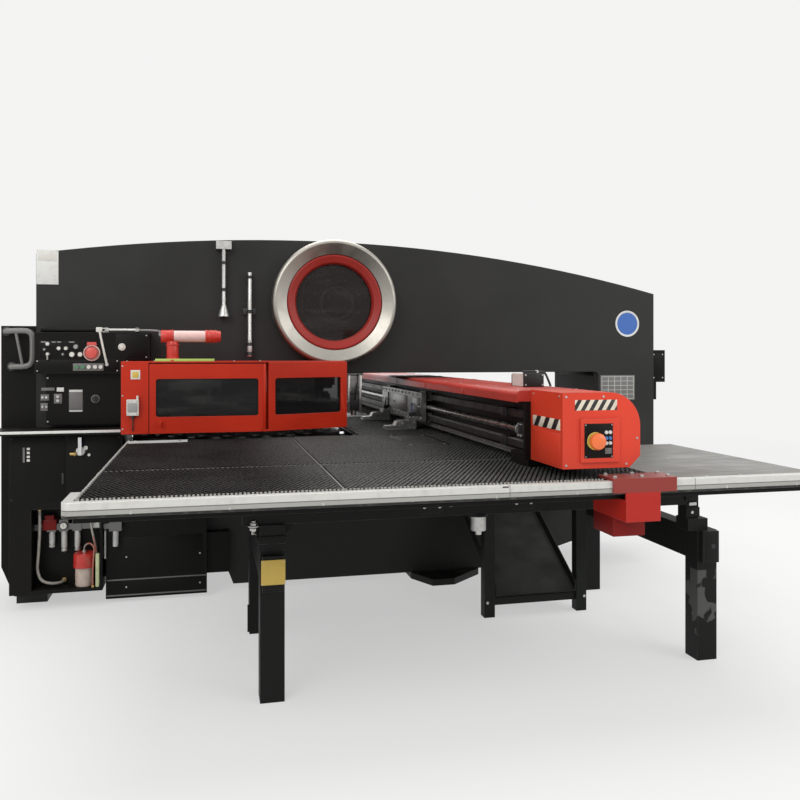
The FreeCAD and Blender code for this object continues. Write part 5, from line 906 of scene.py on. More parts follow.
    def screw(self, at: Point, radius: float, height: float, axis: Axis = Axis.Z, slot: int = 0) -> Shape:
        """A round screw head with a sunk socket.

        Args:
            at: The middle of its foot.
            radius: Its radius.
            height: Its height. A negative one stands backwards.
            axis: The direction that it stands in.
            slot: The finish it takes.

        Returns:
            The shape.
        """
        flip = height < 0
        tall = abs(height)
        profile = [(0, 0), (radius, 0), (radius, tall * 0.85), (radius * 0.88, tall), (radius * 0.5, tall)]
        profile += [(radius * 0.46, tall * 0.45), (0, tall * 0.45)]
        return self.turned(profile, at, axis, 18, slot, flip)

    def screws(
        self, places: Iterable[Point], radius: float, height: float, axis: Axis = Axis.Z, slot: int = 0
    ) -> Shape:
        """A round screw head at each place.

        Args:
            places: The middle of each one's foot.
            radius: Their radius.
            height: Their height. A negative one stands backwards.
            axis: The direction that they stand in.
            slot: The finish they take.

        Returns:
            The shape.
        """
        for at in places:
            self.screw(at, radius, height, axis, slot)
        return self

    def piece(
        self, name: str, body: str, finishes: Sequence[bpy.types.Material]
    ) -> bpy.types.Object:
        """Close the shape as one object that rides on a body.

        Args:
            name: The piece's name.
            body: The body that carries it.
            finishes: A material for each finish number that the shape uses.

        Returns:
            The object.
        """
        mesh = bpy.data.meshes.new(name)
        self.mesh.to_mesh(mesh)
        self.mesh.free()
        made = bpy.data.objects.new(name, mesh)
        bpy.context.scene.collection.objects.link(made)
        for finish in finishes:
            mesh.materials.append(finish)
        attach(made, body)
        LOG.info("%s: %d faces on %s", name, len(mesh.polygons), body)
        return made


# ---------------------------------------------------------------- studio


@dataclass
class Studio:
    """The camera at the photographed view, soft lights, a pale floor and a white surround."""

    eye: Point = (-0.761, -5.34, 1.425)
    yaw: float = 13.4
    lens: float = 36.5
    shift: float = -0.0575
    pale: Colour = (0.9, 0.9, 0.895)
    ambient: float = 0.62
    floor_half: float = 60.0

    def build(self) -> None:
        """Make the camera, the lights, the floor and the world."""
        bpy.context.scene.view_settings.view_transform = "Standard"
        self._camera()
        self._world()
        self._lamps()
        self._floor()

    def _camera(self) -> None:
        """Make the camera and put it to use."""
        lens = bpy.data.cameras.new("camera")
        lens.lens = self.lens
        lens.sensor_width = 36.0
        lens.shift_y = self.shift
        camera = bpy.data.objects.new("camera", lens)
        camera.location = self.eye
        camera.rotation_euler = (math.pi / 2, 0, -math.radians(self.yaw))
        bpy.context.scene.collection.objects.link(camera)
        bpy.context.scene.camera = camera

    def _lamps(self) -> None:
        """Hang the soft square lamps, each turned to its target."""
        for name, at, target, size, power in (
            ("key_lamp", (-5.0, -7.5, 6.5), (0.2, -0.8, 0.9), 5.0, 330.0),
            ("fill_lamp", (6.0, -6.5, 4.5), (0.8, -0.8, 0.9), 4.5, 150.0),
            ("top_lamp", (0.2, 0.0, 7.5), (0.2, 0.0, 0.9), 6.5, 260.0),
            ("rear_lamp", (1.0, 8.0, 5.5), (0.2, 0.8, 1.0), 5.0, 200.0),
        ):
            lamp = bpy.data.lights.new(name, "AREA")
            lamp.shape = "SQUARE"
            lamp.size = size
            lamp.energy = power
            placed = bpy.data.objects.new(name, lamp)
            placed.location = at
            placed.rotation_euler = (Vector(target) - Vector(at)).to_track_quat("-Z", "Y").to_euler()
            bpy.context.scene.collection.objects.link(placed)

    def _world(self) -> None:
        """Make the surround: plain light, and white where it is seen."""
        graph = Graph(bpy.data.worlds.new("surround"))
        bpy.context.scene.world = graph.owner
        light = {"Color": (1.0, 1.0, 1.0, 1.0), "Strength": self.ambient}
        white = {"Color": (*self.pale, 1.0), "Strength": 1.0}
        lit = graph.node("ShaderNodeBackground", {}, light)
        shown = graph.node("ShaderNodeBackground", {}, white)
        mixed = graph.node("ShaderNodeMixShader", {}, {0: graph.seen(), 1: lit, 2: shown})
        graph.close(mixed, "ShaderNodeOutputWorld")

    def _floor(self) -> None:
        """Make the pale floor, which keeps the object's shadow and fades to white far out."""
        made = bmesh.new()
        bmesh.ops.create_grid(made, x_segments=1, y_segments=1, size=self.floor_half)
        mesh = bpy.data.meshes.new("floor")
        made.to_mesh(mesh)
        made.free()
        floor = bpy.data.objects.new("floor", mesh)
        bpy.context.scene.collection.objects.link(floor)
        graph = Graph(bpy.data.materials.new("pale_floor"))
        grain = graph.noise(3, 3)
        colour = graph.mix(grain, tuple(part * 0.985 for part in self.pale), self.pale)
        matt = graph.node("ShaderNodeBsdfDiffuse", {}, {"Color": colour})
        glow = graph.node("ShaderNodeEmission", {}, {"Color": (*self.pale, 1.0), "Strength": 1.0})
        reach = graph.node("ShaderNodeVectorMath", {"operation": "LENGTH"}, {0: graph.place()}, "Value")
        share = 0.55 + graph.between(reach, 3.0, 12.0) * 0.45
        graph.close(graph.node("ShaderNodeMixShader", {}, {0: graph.seen() * share, 1: matt, 2: glow}))
        mesh.materials.append(graph.owner)


# ---------------------------------------------------------------- the machine's finishes


@dataclass
class Palette:
    """Every finish on the machine, made once."""

    made: dict[str, bpy.types.Material] = field(default_factory=dict)

    def build(self) -> None:
        """Make the materials."""
        for finish in (
            Paint(
                "frame_charcoal", (0.017, 0.017, 0.0155), 0.5, gloss=0.26, tone=0.22, wear=0.3, scuffs=0.14),
            Paint(
                "satin_black", (0.0052, 0.0048, 0.0042), 0.44, gloss=0.13, wear=0.3, dust=0.06, scuffs=0.12),
            Paint(
                "stand_black", (0.0085, 0.0085, 0.008), 0.55, gloss=0.16, wear=0.45, scuffs=0.3, dust=0.12,
                patch=((1.4, -2.2, 0.12), (1.75, -1.85, 0.42))),
            Paint("guard_red", (0.5, 0.026, 0.008), 0.36, gloss=0.2, tone=0.1, wear=0.4, dust=0.05),
            Paint(
                "box_red", (0.65, 0.05, 0.022), 0.32, gloss=0.3, tone=0.08, wear=0.45, dust=0.25,
                dust_colour=(0.46, 0.27, 0.2),
                below=((0.97, (0.25, 0.036, 0.028)), (0.908, (0.4, 0.014, 0.007)))),
            Paint(
                "cover_red", (0.43, 0.04, 0.028), 0.38, gloss=0.3, tone=0.1, wear=0.45, dust=0.2,
                dust_colour=(0.55, 0.34, 0.3)),
            Paint("bezel_red", (0.3, 0.024, 0.018), 0.36, gloss=0.25, tone=0.1, wear=0.4),
            Paint("lamp_red", (0.55, 0.03, 0.018), 0.3, gloss=0.5, tone=0.1, wear=0.4),
            Paint("motor_black", (0.012, 0.012, 0.013), 0.48, peel=0.0003, gloss=0.35, wear=0.35),
            # Painted highlight: lit lightens the ring's upward faces.
            Metal(
                "ring_silver", (0.38, 0.36, 0.32), 0.34, (1.0, 1.0, 1.0), 420.0, 0.00002, stained=0.05,
                lit=(0.62, 0.59, 0.54)),
            # Painted highlight: lit lightens the slides' upward faces, as bright top edges.
            Metal(
                "slide_steel", (0.055, 0.052, 0.048), 0.38, (14.0, 1.0, 14.0), 30.0, stained=0.4,
                stain=(0.03, 0.025, 0.02), lit=(0.42, 0.41, 0.39), metallic=0.7),
            Metal("machined_plate", (0.28, 0.28, 0.27), 0.34, (1.0, 0.4, 30.0), 20.0, stained=0.3),
            Metal("turned_steel", (0.52, 0.51, 0.49), 0.26, (1.0, 1.0, 30.0), 24.0, stained=0.2),
            Metal("turret_iron", (0.17, 0.165, 0.155), 0.42, (1.0, 1.0, 6.0), 40.0, 0.0001, stained=0.5),
            Metal("tool_steel", (0.34, 0.33, 0.31), 0.32, (1.0, 1.0, 20.0), 50.0, stained=0.35),
            Metal("zinc", (0.55, 0.54, 0.52), 0.38, (1.0, 1.0, 1.0), 90.0, stained=0.25),
            Metal("brass", (0.58, 0.4, 0.15), 0.35, (1.0, 1.0, 1.0), 90.0, stained=0.3),
            Metal("lever_chrome", (0.7, 0.7, 0.69), 0.16, (1.0, 1.0, 1.0), 60.0, stained=0.1),
            Plastic("stop_orange", (0.8, 0.16, 0.035), 0.32, coat=0.25, dirt=0.15),
            Plastic("key_white", (0.66, 0.65, 0.6), 0.34),
            Plastic("black_plastic", (0.012, 0.012, 0.013), 0.4, dirt=0.15, dirt_colour=(0.06, 0.055, 0.05)),
            Plastic("grey_plastic", (0.3, 0.3, 0.29), 0.42),
            Plastic("pale_plastic", (0.62, 0.61, 0.56), 0.4),
            Plastic("plate_pale", (0.66, 0.66, 0.63), 0.42, dirt=0.22),
            Plastic("plate_grey", (0.14, 0.137, 0.13), 0.42, dirt=0.25),
            Plastic("plate_yellow", (0.62, 0.43, 0.08), 0.42, dirt=0.12),
            Plastic("blue_film", (0.03, 0.12, 0.42), 0.35, dirt=0.1),
            Plastic("blue_rubber", (0.02, 0.035, 0.16), 0.5),
            Plastic("lamp_lens", (0.78, 0.5, 0.46), 0.22, coat=0.5, dirt=0.2),
            Plastic("lime_film", (0.42, 0.56, 0.12), 0.4, dirt=0.3),
            Zoned("hoses", (0.36, 0.12, 0.08), (("Y", -0.4605, (0.36, 0.335, 0.295)),), dirt=0.5),
            Zoned(
                "oil_jar", (0.52, 0.42, 0.36), (("Z", 0.2185, (0.5, 0.025, 0.018)),), dirt=0.4,
                dirt_colour=(0.3, 0.19, 0.14)),
            Zoned(
                "air_heads", (0.52, 0.52, 0.5),
                (("Z", 0.4195, (0.1, 0.1, 0.098)), ("Z", 0.4862, (0.02, 0.02, 0.02))), 0.3, coat=0.4),
            # The edge rails: the pale band over z 0.927 is a painted highlight along the rail's top; the
            # bands below it change the tone down the rail's front.
            Zoned(
                "rail_bands_painted_highlight", (0.01, 0.01, 0.0095),
                (
                    ("Z", 0.9095, (0.36, 0.355, 0.33)), ("Z", 0.9235, (0.15, 0.15, 0.14)),
                    ("Z", 0.927, (0.6, 0.595, 0.56))),
                0.36, dirt=0.22, dirt_colour=(0.25, 0.24, 0.21), coat=0.0, metallic=0.25),
            Plastic("stop_pink", (0.6, 0.07, 0.055), 0.32, coat=0.25, dirt=0.2),
            Plastic("pale_pink", (0.66, 0.42, 0.38), 0.38, dirt=0.25),
            Plastic("green_plastic", (0.07, 0.2, 0.1), 0.4, dirt=0.2),
            Plastic("blue_cap", (0.05, 0.16, 0.42), 0.36),
            Plastic("grip_grey", (0.17, 0.165, 0.155), 0.42, dirt=0.25),
            Plastic("pale_bristle", (0.4, 0.39, 0.36), 0.55, dirt=0.4),
            Plastic("sight_lime", (0.5, 0.54, 0.3), 0.35, coat=0.3, dirt=0.35),
            Plastic("cap_red", (0.5, 0.025, 0.018), 0.32, coat=0.3, dirt=0.2),
            Paint("dark_red_paint", (0.16, 0.008, 0.006), 0.45, gloss=0.15, tone=0.15, wear=0.4),
            Paint(
                "chute_grey", (0.016, 0.018, 0.015), 0.5, gloss=0.14, tone=0.25, wear=0.5, scuffs=0.4,
                dust=0.14),
            Plastic("cable_black", (0.014, 0.014, 0.014), 0.5, dirt=0.3),
            Plastic("cable_grey", (0.24, 0.23, 0.22), 0.5, dirt=0.3),
            Pane("guard_pane"),
            Pane("drive_pane", (0.016, 0.01, 0.008), 0.66, 0.06, 0.3),
            # The tufts' pale tips are partly dust and partly painted highlight, with a painted sheen over
            # part of the table.
            Bristle("brush_tufts", (0.007, 0.007, 0.007), (0.24, 0.24, 0.225), 0.9435, 0.9515),
            Bristle("brush_ground", (0.006, 0.006, 0.0058), (0.03, 0.03, 0.028), 0.936, 0.95),
            WornPlate("worn_steel", (0.18, 0.173, 0.16), (0.29, 0.28, 0.262), (0.12, 0.11, 0.095)),
            WornPlate("worn_black", (0.016, 0.016, 0.015), (0.07, 0.07, 0.065), (0.01, 0.01, 0.009), 0.45),
            Stripes("small_stripes", (0.7, 0.62, 0.5), pitch=0.035, across="X", slant=-0.6),
            Stripes("side_stripes", (0.72, 0.64, 0.52), pitch=0.085, across="Y", slant=0.8)
        ):
            self.made[finish.name] = finish.material()

    def __getitem__(self, name: str) -> bpy.types.Material:
        """One finish by its name."""
        return self.made[name]


# ---------------------------------------------------------------- sub-assemblies


def steps(start: float, end: float, count: int) -> list[float]:
    """Evenly spaced values from start to end."""
    return [start + (end - start) * step / (count - 1) for step in range(count)]


def round_places(
    count: int, radius: float, centre: tuple[float, float], shift: float = 0.0
) -> list[tuple[float, float]]:
    """Evenly spaced places on a circle.

    Args:
        count: How many there are.
        radius: The circle's radius.
        centre: Its centre, in the plane's own two directions.
        shift: How far they are turned, as a share of the space between two.

    Returns:
        The two coordinates of each.
    """
    angles = [math.tau * (step + shift) / count for step in range(count)]
    first, second = centre
    return [(first + radius * math.cos(angle), second + radius * math.sin(angle)) for angle in angles]


@dataclass
class Assembly:
    """A sub-assembly: it dresses its CAD parts and builds the pieces that they lack."""

    palette: Palette
    nodes: dict[str, bpy.types.Object]

    def coat(self, finish: str, *names: str, round_by: float = 0.0) -> None:
        """Give CAD parts a finish and, where asked, rounded edges.

        Args:
            finish: The finish's name.
            names: The parts.
            round_by: The rounding of their sharp edges, in metres.
        """
        for name in names:
            part = self.nodes[name]
            for slot in part.material_slots:
                slot.material = self.palette[finish]
            if round_by:
                weld = part.modifiers.new("weld", "WELD")
                weld.merge_threshold = 0.00002
                soften = part.modifiers.new("soften", "BEVEL")
                soften.width = round_by
                soften.segments = 2
                soften.limit_method = "ANGLE"
                soften.angle_limit = SOFTEN_FROM
                soften.harden_normals = True

    def make(self, shape: Shape, name: str, *finishes: str, body: str = "root") -> bpy.types.Object:
        """Close a shape as a piece in these finishes, on a body."""
        materials = [self.palette[finish] for finish in finishes]
        return shape.piece(name, body, materials)

    def dress(self) -> None:
        """Finish the CAD parts."""

    def build(self) -> None:
        """Make the pieces."""


@dataclass
class BridgeFrame(Assembly):
    """The bridge frame with its plates, its covers and the pipes on its near side."""

    face: float = FRAME_FACE
    rear: float = 2.21

    def dress(self) -> None:
        """Finish the frame, its feet and its cover boxes."""
        self.coat(
            "frame_charcoal", "near_side_plate", "far_side_plate", "frame_rim", "window_lining",
            round_by=0.003)
        self.coat("frame_charcoal", "foot_pads", round_by=0.002)
        self.coat("satin_black", "frame_covers", round_by=0.002)
        self.coat("zinc", "service_pipes", round_by=0.0008)

    def build(self) -> None:
        """Make the plates, the far covers, the rear conduits and the front door."""
        self._plates()
        self._far_covers()
        self._rear_conduits()
        self._front_box()
        self._pedestal()
        self._pipe_fittings()

    def _plates(self) -> None:
        """Make the bare plates and the blue disc on the near side."""
        face = self.face
        plate = Shape().block((-1.708, face - 0.0022, 1.824), (-1.59, face, 2.023), 0.0006)
        plate.block((-1.7, face - 0.0028, 1.958), (-1.598, face - 0.002, 2.013), 0.0003, slot=1)
        for x in (-1.701, -1.597):
            for z in (1.831, 2.016):
                plate.rod((x, face - 0.0022, z), 0.003, -0.0012, Axis.Y, sides=12, slot=2)
        self.make(plate, "blank_tag_plate", "plate_pale", "pale_plastic", "zinc")
        disc = Shape().rod((2.01, face, 1.63), 0.088, -0.0018, Axis.Y, 0.0005, 48)
        rim = [
            (0.075, 0.0), (0.088, 0.0), (0.0885, 0.0024), (0.0875, 0.0032), (0.0765, 0.0032), (0.075, 0.0024)]
        disc.turned(rim + rim[:1], (2.01, face, 1.63), Axis.Y, 48, 1, True)
        self.make(disc, "blue_disc_plate", "blue_film", "plate_pale")
        grid = Shape().block((1.812, face - 0.0016, 1.114), (2.066, face, 1.282), 0.0005)
        for x in steps(1.822, 2.056, 6):
            grid.block((x - 0.0014, face - 0.0024, 1.124), (x + 0.0014, face - 0.0014, 1.272), 0.0003, slot=1)
        for z in steps(1.124, 1.272, 6):
            grid.block((1.822, face - 0.0022, z - 0.0012), (2.056, face - 0.0013, z + 0.0012), 0.0003, slot=1)
        self.make(grid, "blank_table_plate", "plate_grey", "pale_plastic")

    def _far_covers(self) -> None:
        """Make the drive's round cover and the hatches on the far side."""
        face = -self.face
        cover = Shape().turned(
            [
                (0, 0), (0.332, 0), (0.336, 0.004), (0.336, 0.01), (0.33, 0.014), (0.06, 0.014),
                (0.052, 0.019), (0, 0.019)],
            (CRANK_X, face, DRIVE_Z), Axis.Y, 72)
        places = [(x, face + 0.013, z) for x, z in round_places(16, 0.312, (CRANK_X, DRIVE_Z))]
        cover.screws(places, 0.008, 0.006, Axis.Y, 1)
        self.make(cover, "far_drive_cover", "satin_black", "zinc")
        hatch = Shape()
        for low, high in (
            ((-1.6, 0.18), (-1.22, 0.74)), ((1.2, 0.42), (1.72, 0.8)), ((1.28, 1.44), (1.86, 1.8))
        ):
            hatch.block((low[0], face, low[1]), (high[0], face + 0.004, high[1]), 0.002)
            hatch.screws(
                product(
                    (low[0] + 0.02, (low[0] + high[0]) / 2, high[0] - 0.02), (face + 0.0035,),
                    (low[1] + 0.02, high[1] - 0.02)),
                0.006, 0.005, Axis.Y, 1)
        for z in steps(0.34, 0.6, 9):
            outline = [(z, 0.0), (z + 0.012, 0.0), (z + 0.002, 0.009)]
            louvre = [(face + 0.004 + out, up) for up, out in outline]
            hatch.prism(louvre, Axis.X, -1.54, -1.28, 0.0008)
        self.make(hatch, "far_service_hatches", "satin_black", "zinc")

    def _rear_conduits(self) -> None:
        """Make the conduits and the box ends on the rear."""
        rear = self.rear
        pipes = Shape()
        for index, y in enumerate((-0.16, -0.09, 0.13)):
            low = 0.52 + index * 0.06
            pipes.rod((rear + 0.026, y, 1.112), 0.015, -0.022, sides=6, slot=1)
            pipes.rod((rear + 0.026, y, 1.092), 0.012, -0.03, sides=20, slot=1)
            route = [(rear + 0.026, y, 1.075), (rear + 0.026, y, 0.9), (rear + 0.026, y, low + 0.07)]
            pipes.tube(route + [(rear + 0.026, y, low), (rear + 0.004, y, low)], 0.0095)
            pipes.turned(
                [(0, 0), (0.018, 0), (0.018, 0.008), (0.013, 0.014), (0, 0.014)], (rear, y, low), Axis.X, 18,
                1)
            for z in (0.98, 0.8):
                pipes.block((rear, y - 0.019, z - 0.006), (rear + 0.037, y + 0.019, z + 0.006), 0.003, slot=1)
        self.make(pipes, "rear_conduits", "cable_black", "grey_plastic")
        box = Shape()
        for side in (-0.31, 0.31):
            out = math.copysign(0.0025, side)
            box.block(
                (rear + 0.012, min(side, side + out), 1.252), (rear + 0.098, max(side, side + out), 1.432),
                0.001)
            box.screws(
                product((rear + 0.022, rear + 0.088), (side + out * 0.9,), (1.262, 1.422)), 0.0045,
                math.copysign(0.004, side), Axis.Y, 1)
        self.make(box, "rear_box_ends", "satin_black", "zinc")

    def _front_box(self) -> None:
        """Make the front box's door."""
        x = -1.895
        door = Shape().block((x - 0.0035, -0.318, 0.34), (x, 0.318, 1.548), 0.0015)
        for z in steps(0.46, 0.72, 11):
            door.prism([(x - 0.0034, z), (x - 0.0046, z + 0.001), (x - 0.0034, z + 0.012)], Axis.Y, -0.2, 0.2)
        for z in (0.5, 1.36):
            door.rod((x - 0.0008, 0.322, z - 0.03), 0.004, 0.06, slot=1)
        door.block((x - 0.0048, -0.3, 0.93), (x - 0.003, -0.268, 1.03), 0.0008, slot=1)
        self.make(door, "front_box_door", "satin_black", "black_plastic")

    def _pedestal(self) -> None:
        """Make the front pedestal's panels."""
        y = -0.445
        panel = Shape()
        for low, high in ((0.148, 0.372), (0.052, 0.124)):
            panel.block((-1.225, y - 0.003, low), (-0.785, y, high), 0.0012)
            for x in (-1.21, -0.8):
                panel.screw((x, y - 0.0025, (low + high) / 2), 0.005, -0.004, Axis.Y, 1)
        panel.block((-1.318, y - 0.004, 0.1265), (-0.765, y, 0.1345), slot=2)
        panel.block((-1.318, y - 0.004, 0.038), (-0.765, y, 0.046), slot=2)
        self.make(panel, "pedestal_panels", "satin_black", "zinc", "plate_grey")

    def _pipe_fittings(self) -> None:
        """Make the nuts and the clips of the service pipes."""
        y = self.face - 0.04
        fit = Shape()
        fit.hexagon((-0.51, y, 1.474), 0.0215, 0.022)
        fit.hexagon((-0.51, y, 1.5), 0.0205, 0.012, slot=1)
        fit.hexagon((-0.51, y, 1.418), 0.0225, 0.02)
        fit.block((-0.548, self.face - 0.012, 1.66), (-0.472, self.face, 1.7), 0.002)
        fit.turned([(0.0134, 0), (0.017, 0), (0.017, 0.02), (0.0134, 0.02)], (-0.51, y, 1.67))
        fit.block((-0.514, y, 1.674), (-0.506, self.face, 1.686))
        fit.hexagon((-0.51, y, 1.88), 0.019, 0.016)
        for z in (1.8, 1.96):
            fit.turned(
                [(0.0124, 0), (0.016, 0), (0.016, 0.018), (0.0124, 0.018)], (-0.662, self.face - 0.038, z))
            fit.block((-0.667, self.face - 0.024, z + 0.003), (-0.657, self.face, z + 0.015))
        self.make(fit, "pipe_fittings", "black_plastic", "turned_steel")


@dataclass
class DriveCover(Assembly):
    """The round cover over the crank drive and what shows behind its pane."""

    centre: tuple[float, float] = (0.0, DRIVE_Z)
    crank: tuple[float, float] = (CRANK_X, DRIVE_Z)
    motor_face: float = -0.364
    cable_end: float = -0.312

    def dress(self) -> None:
        """Finish the ring, the bezel, the pane and the drive inside."""
        self.coat("ring_silver", "drive_cover_ring")
        self.coat("bezel_red", "drive_cover_bezel")
        self.coat("drive_pane", "drive_window")
        self.coat("motor_black", "drive_motor", round_by=0.002)
        self.coat("turret_iron", "drive_bearings", "connecting_rod", round_by=0.002)
        self.coat("turned_steel", "crankshaft", "ram", round_by=0.001)
        self.coat("tool_steel", "striker")

    def build(self) -> None:
        """Make the clamp ring, the motor's screws and the cables round it."""
        x, z = self.centre
        ring = Shape().turned(
            [(0.2165, 0.012), (0.2335, 0.012), (0.2335, 0.034), (0.2165, 0.03), (0.2165, 0.012)],
            (x, FRAME_FACE, z), Axis.Y, 72, flip=True,
        )
        self.make(ring, "pane_clamp_ring", "black_plastic")
        motor = Shape()
        x, z = self.crank
        for count, radius, y, head in ((8, 0.148, self.motor_face, 0.0075), (6, 0.062, -0.372, 0.005)):
            places = [(across, y, up) for across, up in round_places(count, radius, (x, z), 0.5)]
            motor.screws(places, head, -0.005, Axis.Y)
        motor.turned(
            [(0.092, 0), (0.104, 0), (0.106, 0.002), (0.104, 0.004), (0.092, 0.004), (0.092, 0)],
            (x, self.motor_face, z), Axis.Y, 48, 1, True,
        )
        motor.block((x - 0.05, -0.3715, z - 0.165), (x + 0.05, -0.3635, z - 0.118), 0.002, slot=2)
        self.make(motor, "crank_motor_screws", "zinc", "turned_steel", "plate_grey")
        cables = Shape()
        for start, end, radius, deep in (
            (2.3, 4.4, 0.214, -0.344), (2.6, 5.2, 0.204, -0.356), (0.2, 1.6, 0.212, -0.345)
        ):
            route = []
            for angle in steps(start, end, 6):
                route.append((radius * math.cos(angle), deep, DRIVE_Z + radius * math.sin(angle)))
            ends = [(x, self.cable_end, z) for x, _, z in (route[0], route[-1])]
            cables.tube(ends[:1] + route + ends[1:], 0.0055)
        self.make(cables, "crank_motor_cables", "cable_grey")


@dataclass
class Turrets(Assembly):
    """The two turrets, their tool holders and the housing that locks them."""

    axis: tuple[float, float] = (-0.56, 0.0)
    top: float = 1.13
    ram_foot: float = 1.292

    def dress(self) -> None:
        """Finish the turrets and their drives."""
        self.coat("turret_iron", "upper_turret", "lower_turret")
        self.coat("tool_steel", "punch_holders", "die_holders")
        self.coat("motor_black", "turret_gearmotors", round_by=0.002)

    def build(self) -> None:
        """Make the hub screws, the keeper plates and the locking housing."""
        hub = Shape()
        hub.screws([(x, y, self.top) for x, y in round_places(10, 0.15, self.axis)], 0.011, 0.009)
        hub.screws([(x, y, self.top) for x, y in round_places(24, 0.612, self.axis, 0.5)], 0.006, 0.005)
        self.make(hub, "turret_top_screws", "zinc", body="upper_turret")
        lock = Shape()
        lock.block((0.085, -0.335, 1.292), (0.195, -0.205, 1.306), 0.002)
        lock.block((0.098, -0.327, 1.175), (0.186, -0.222, 1.292), 0.004)
        for low in (0.095, 0.17):
            lock.block((low, -0.333, 1.055), (low + 0.016, -0.317, 1.292), 0.002, slot=1)
        lock.block((0.111, -0.329, 1.07), (0.17, -0.24, 1.172), 0.004, slot=2)
        lock.rod((0.1405, -0.285, 1.07), 0.018, -0.032, sides=20, slot=1)
        for x, z in ((0.113, 1.2), (0.171, 1.2), (0.113, 1.275), (0.171, 1.275)):
            lock.screw((x, -0.326, z), 0.006, -0.006, Axis.Y, 1)
        lock.tube(
            [
                (0.14, -0.329, 1.14), (0.14, -0.345, 1.14), (0.15, -0.347, 1.2), (0.16, -0.345, 1.29),
                (0.16, -0.33, 1.3)],
            0.004, 2)
        self.make(lock, "turret_lock_housing", "machined_plate", "turned_steel", "black_plastic")
        shroud = Shape()
        shroud.turned(
            [
                (0.0975, 0), (0.125, 0), (0.127, 0.002), (0.127, 0.01), (0.12, 0.014), (0.0975, 0.014),
                (0.0975, 0)],
            (0, 0, self.ram_foot), sides=48)
        places = [(x, y, self.ram_foot + 0.001) for x, y in round_places(8, 0.112, (0.0, 0.0))]
        shroud.screws(places, 0.006, -0.007, slot=1)
        self.make(shroud, "ram_guide_ring", "machined_plate", "zinc")


@dataclass
class TurretGuard(Assembly):
    """The red guards over the turret's sides, with the near door and its lamp."""

    face: float = -0.75
    lamp_x: float = -0.944
    lamp_y: float = -0.7
    lamp_z: float = 1.523

    def dress(self) -> None:
        """Finish the guards, their panes, the door and the lamp."""
        self.coat("guard_red", "guard_frames", "guard_door", round_by=0.0022)
        self.coat("guard_pane", "guard_windows", "guard_door_window")
        self.coat("pale_plastic", "guard_lock", round_by=0.002)
        self.coat("lamp_red", "signal_lamp", round_by=0.003)

    def build(self) -> None:
        """Make the label, the strip, the lamp's lens, the lock's cable and the screws."""
        face = self.face
        label = Shape().block((-1.16, face - 0.0012, 1.288), (-1.111, face, 1.338), 0.0003)
        label.block((-1.152, face - 0.0017, 1.296), (-1.119, face - 0.001, 1.33), 0.0002, slot=1)
        self.make(label, "blank_yellow_label", "plate_pale", "plate_yellow")
        strip = Shape().block((-1.034, face + 0.002, 1.3848), (-0.72, face + 0.06, 1.3905))
        strip.block((-1.034, face + 0.001, 1.3848), (-0.72, face + 0.006, 1.399))
        self.make(strip, "roof_strip", "lime_film")
        self._lamp()
        self._lock()
        self._screws()

    def _lamp(self) -> None:
        """Make the signal lamp's lens and its trims."""
        y, z = self.lamp_y, self.lamp_z
        lens = Shape().turned(
            [(0, 0), (0.0312, 0), (0.0318, 0.004), (0.0318, 0.166), (0.0312, 0.17), (0, 0.17)],
            (-0.937, y, z), Axis.X, 40)
        self.make(lens, "lamp_lens", "lamp_lens")
        trim = Shape()
        for x in (-0.948, -0.768, -0.744, -0.722):
            trim.turned(
                [
                    (0.03, 0), (0.0352, 0), (0.0362, 0.002), (0.0362, 0.007), (0.0352, 0.009), (0.03, 0.009),
                    (0.03, 0)],
                (x, y, z), Axis.X, 40)
        trim.turned(
            [
                (0, 0), (0.048, 0), (0.05, 0.002), (0.05, 0.008), (0.044, 0.012), (0.034, 0.016),
                (0.034, 0.022), (0, 0.022)],
            (self.lamp_x, y, 1.3852), sides=40)
        trim.turned(
            [(0.0325, 0), (0.0352, 0.001), (0.0352, 0.011), (0.0325, 0.012)], (self.lamp_x, y, 1.47), sides=40
        )
        places = [(across, along, 1.395) for across, along in round_places(4, 0.0415, (self.lamp_x, y), 0.5)]
        trim.screws(places, 0.0042, 0.004, slot=1)
        self.make(trim, "lamp_trim", "lamp_red", "zinc")

    def _lock(self) -> None:
        """Make the door switch's cover and its cable."""
        y = self.face - 0.03
        lock = Shape()
        lock.screws(product((-1.171, -1.126), (y,), (1.103, 1.171)), 0.0036, -0.0015, Axis.Y, 1)
        lock.block((-1.174, y - 0.0012, 1.112), (-1.123, y, 1.162), 0.0004)
        lock.rod((-1.148, y + 0.015, 1.094), 0.0085, -0.016, sides=20, slot=2)
        lock.tube(
            [
                (-1.148, y + 0.015, 1.082), (-1.148, y + 0.015, 1.05), (-1.149, y + 0.016, 1.02),
                (-1.149, y + 0.029, 1.012), (-1.149, y + 0.034, 1.012)],
            0.0036, 2)
        self.make(lock, "door_switch_cover", "grey_plastic", "zinc", "black_plastic")

    def _screws(self) -> None:
        """Make the guards' screws and foot trims."""
        screws = Shape()
        for side in (-1, 1):
            for x in steps(-1.18, -0.47, 6):
                screws.screw((x, side * 0.728, 1.3848), 0.0055, 0.004)
            for z in (1.02, 1.2, 1.36):
                screws.screw((-1.202, side * 0.7495, z), 0.0045, side * 0.003, Axis.Y)
        self.make(screws, "guard_screws", "zinc")
        trim = Shape()
        for side in (-1, 1):
            trim.side_block(side, (-1.204, 0.744, 0.9865), (-1.072, 0.736, 0.9925))
        self.make(trim, "guard_foot_trim", "black_plastic")


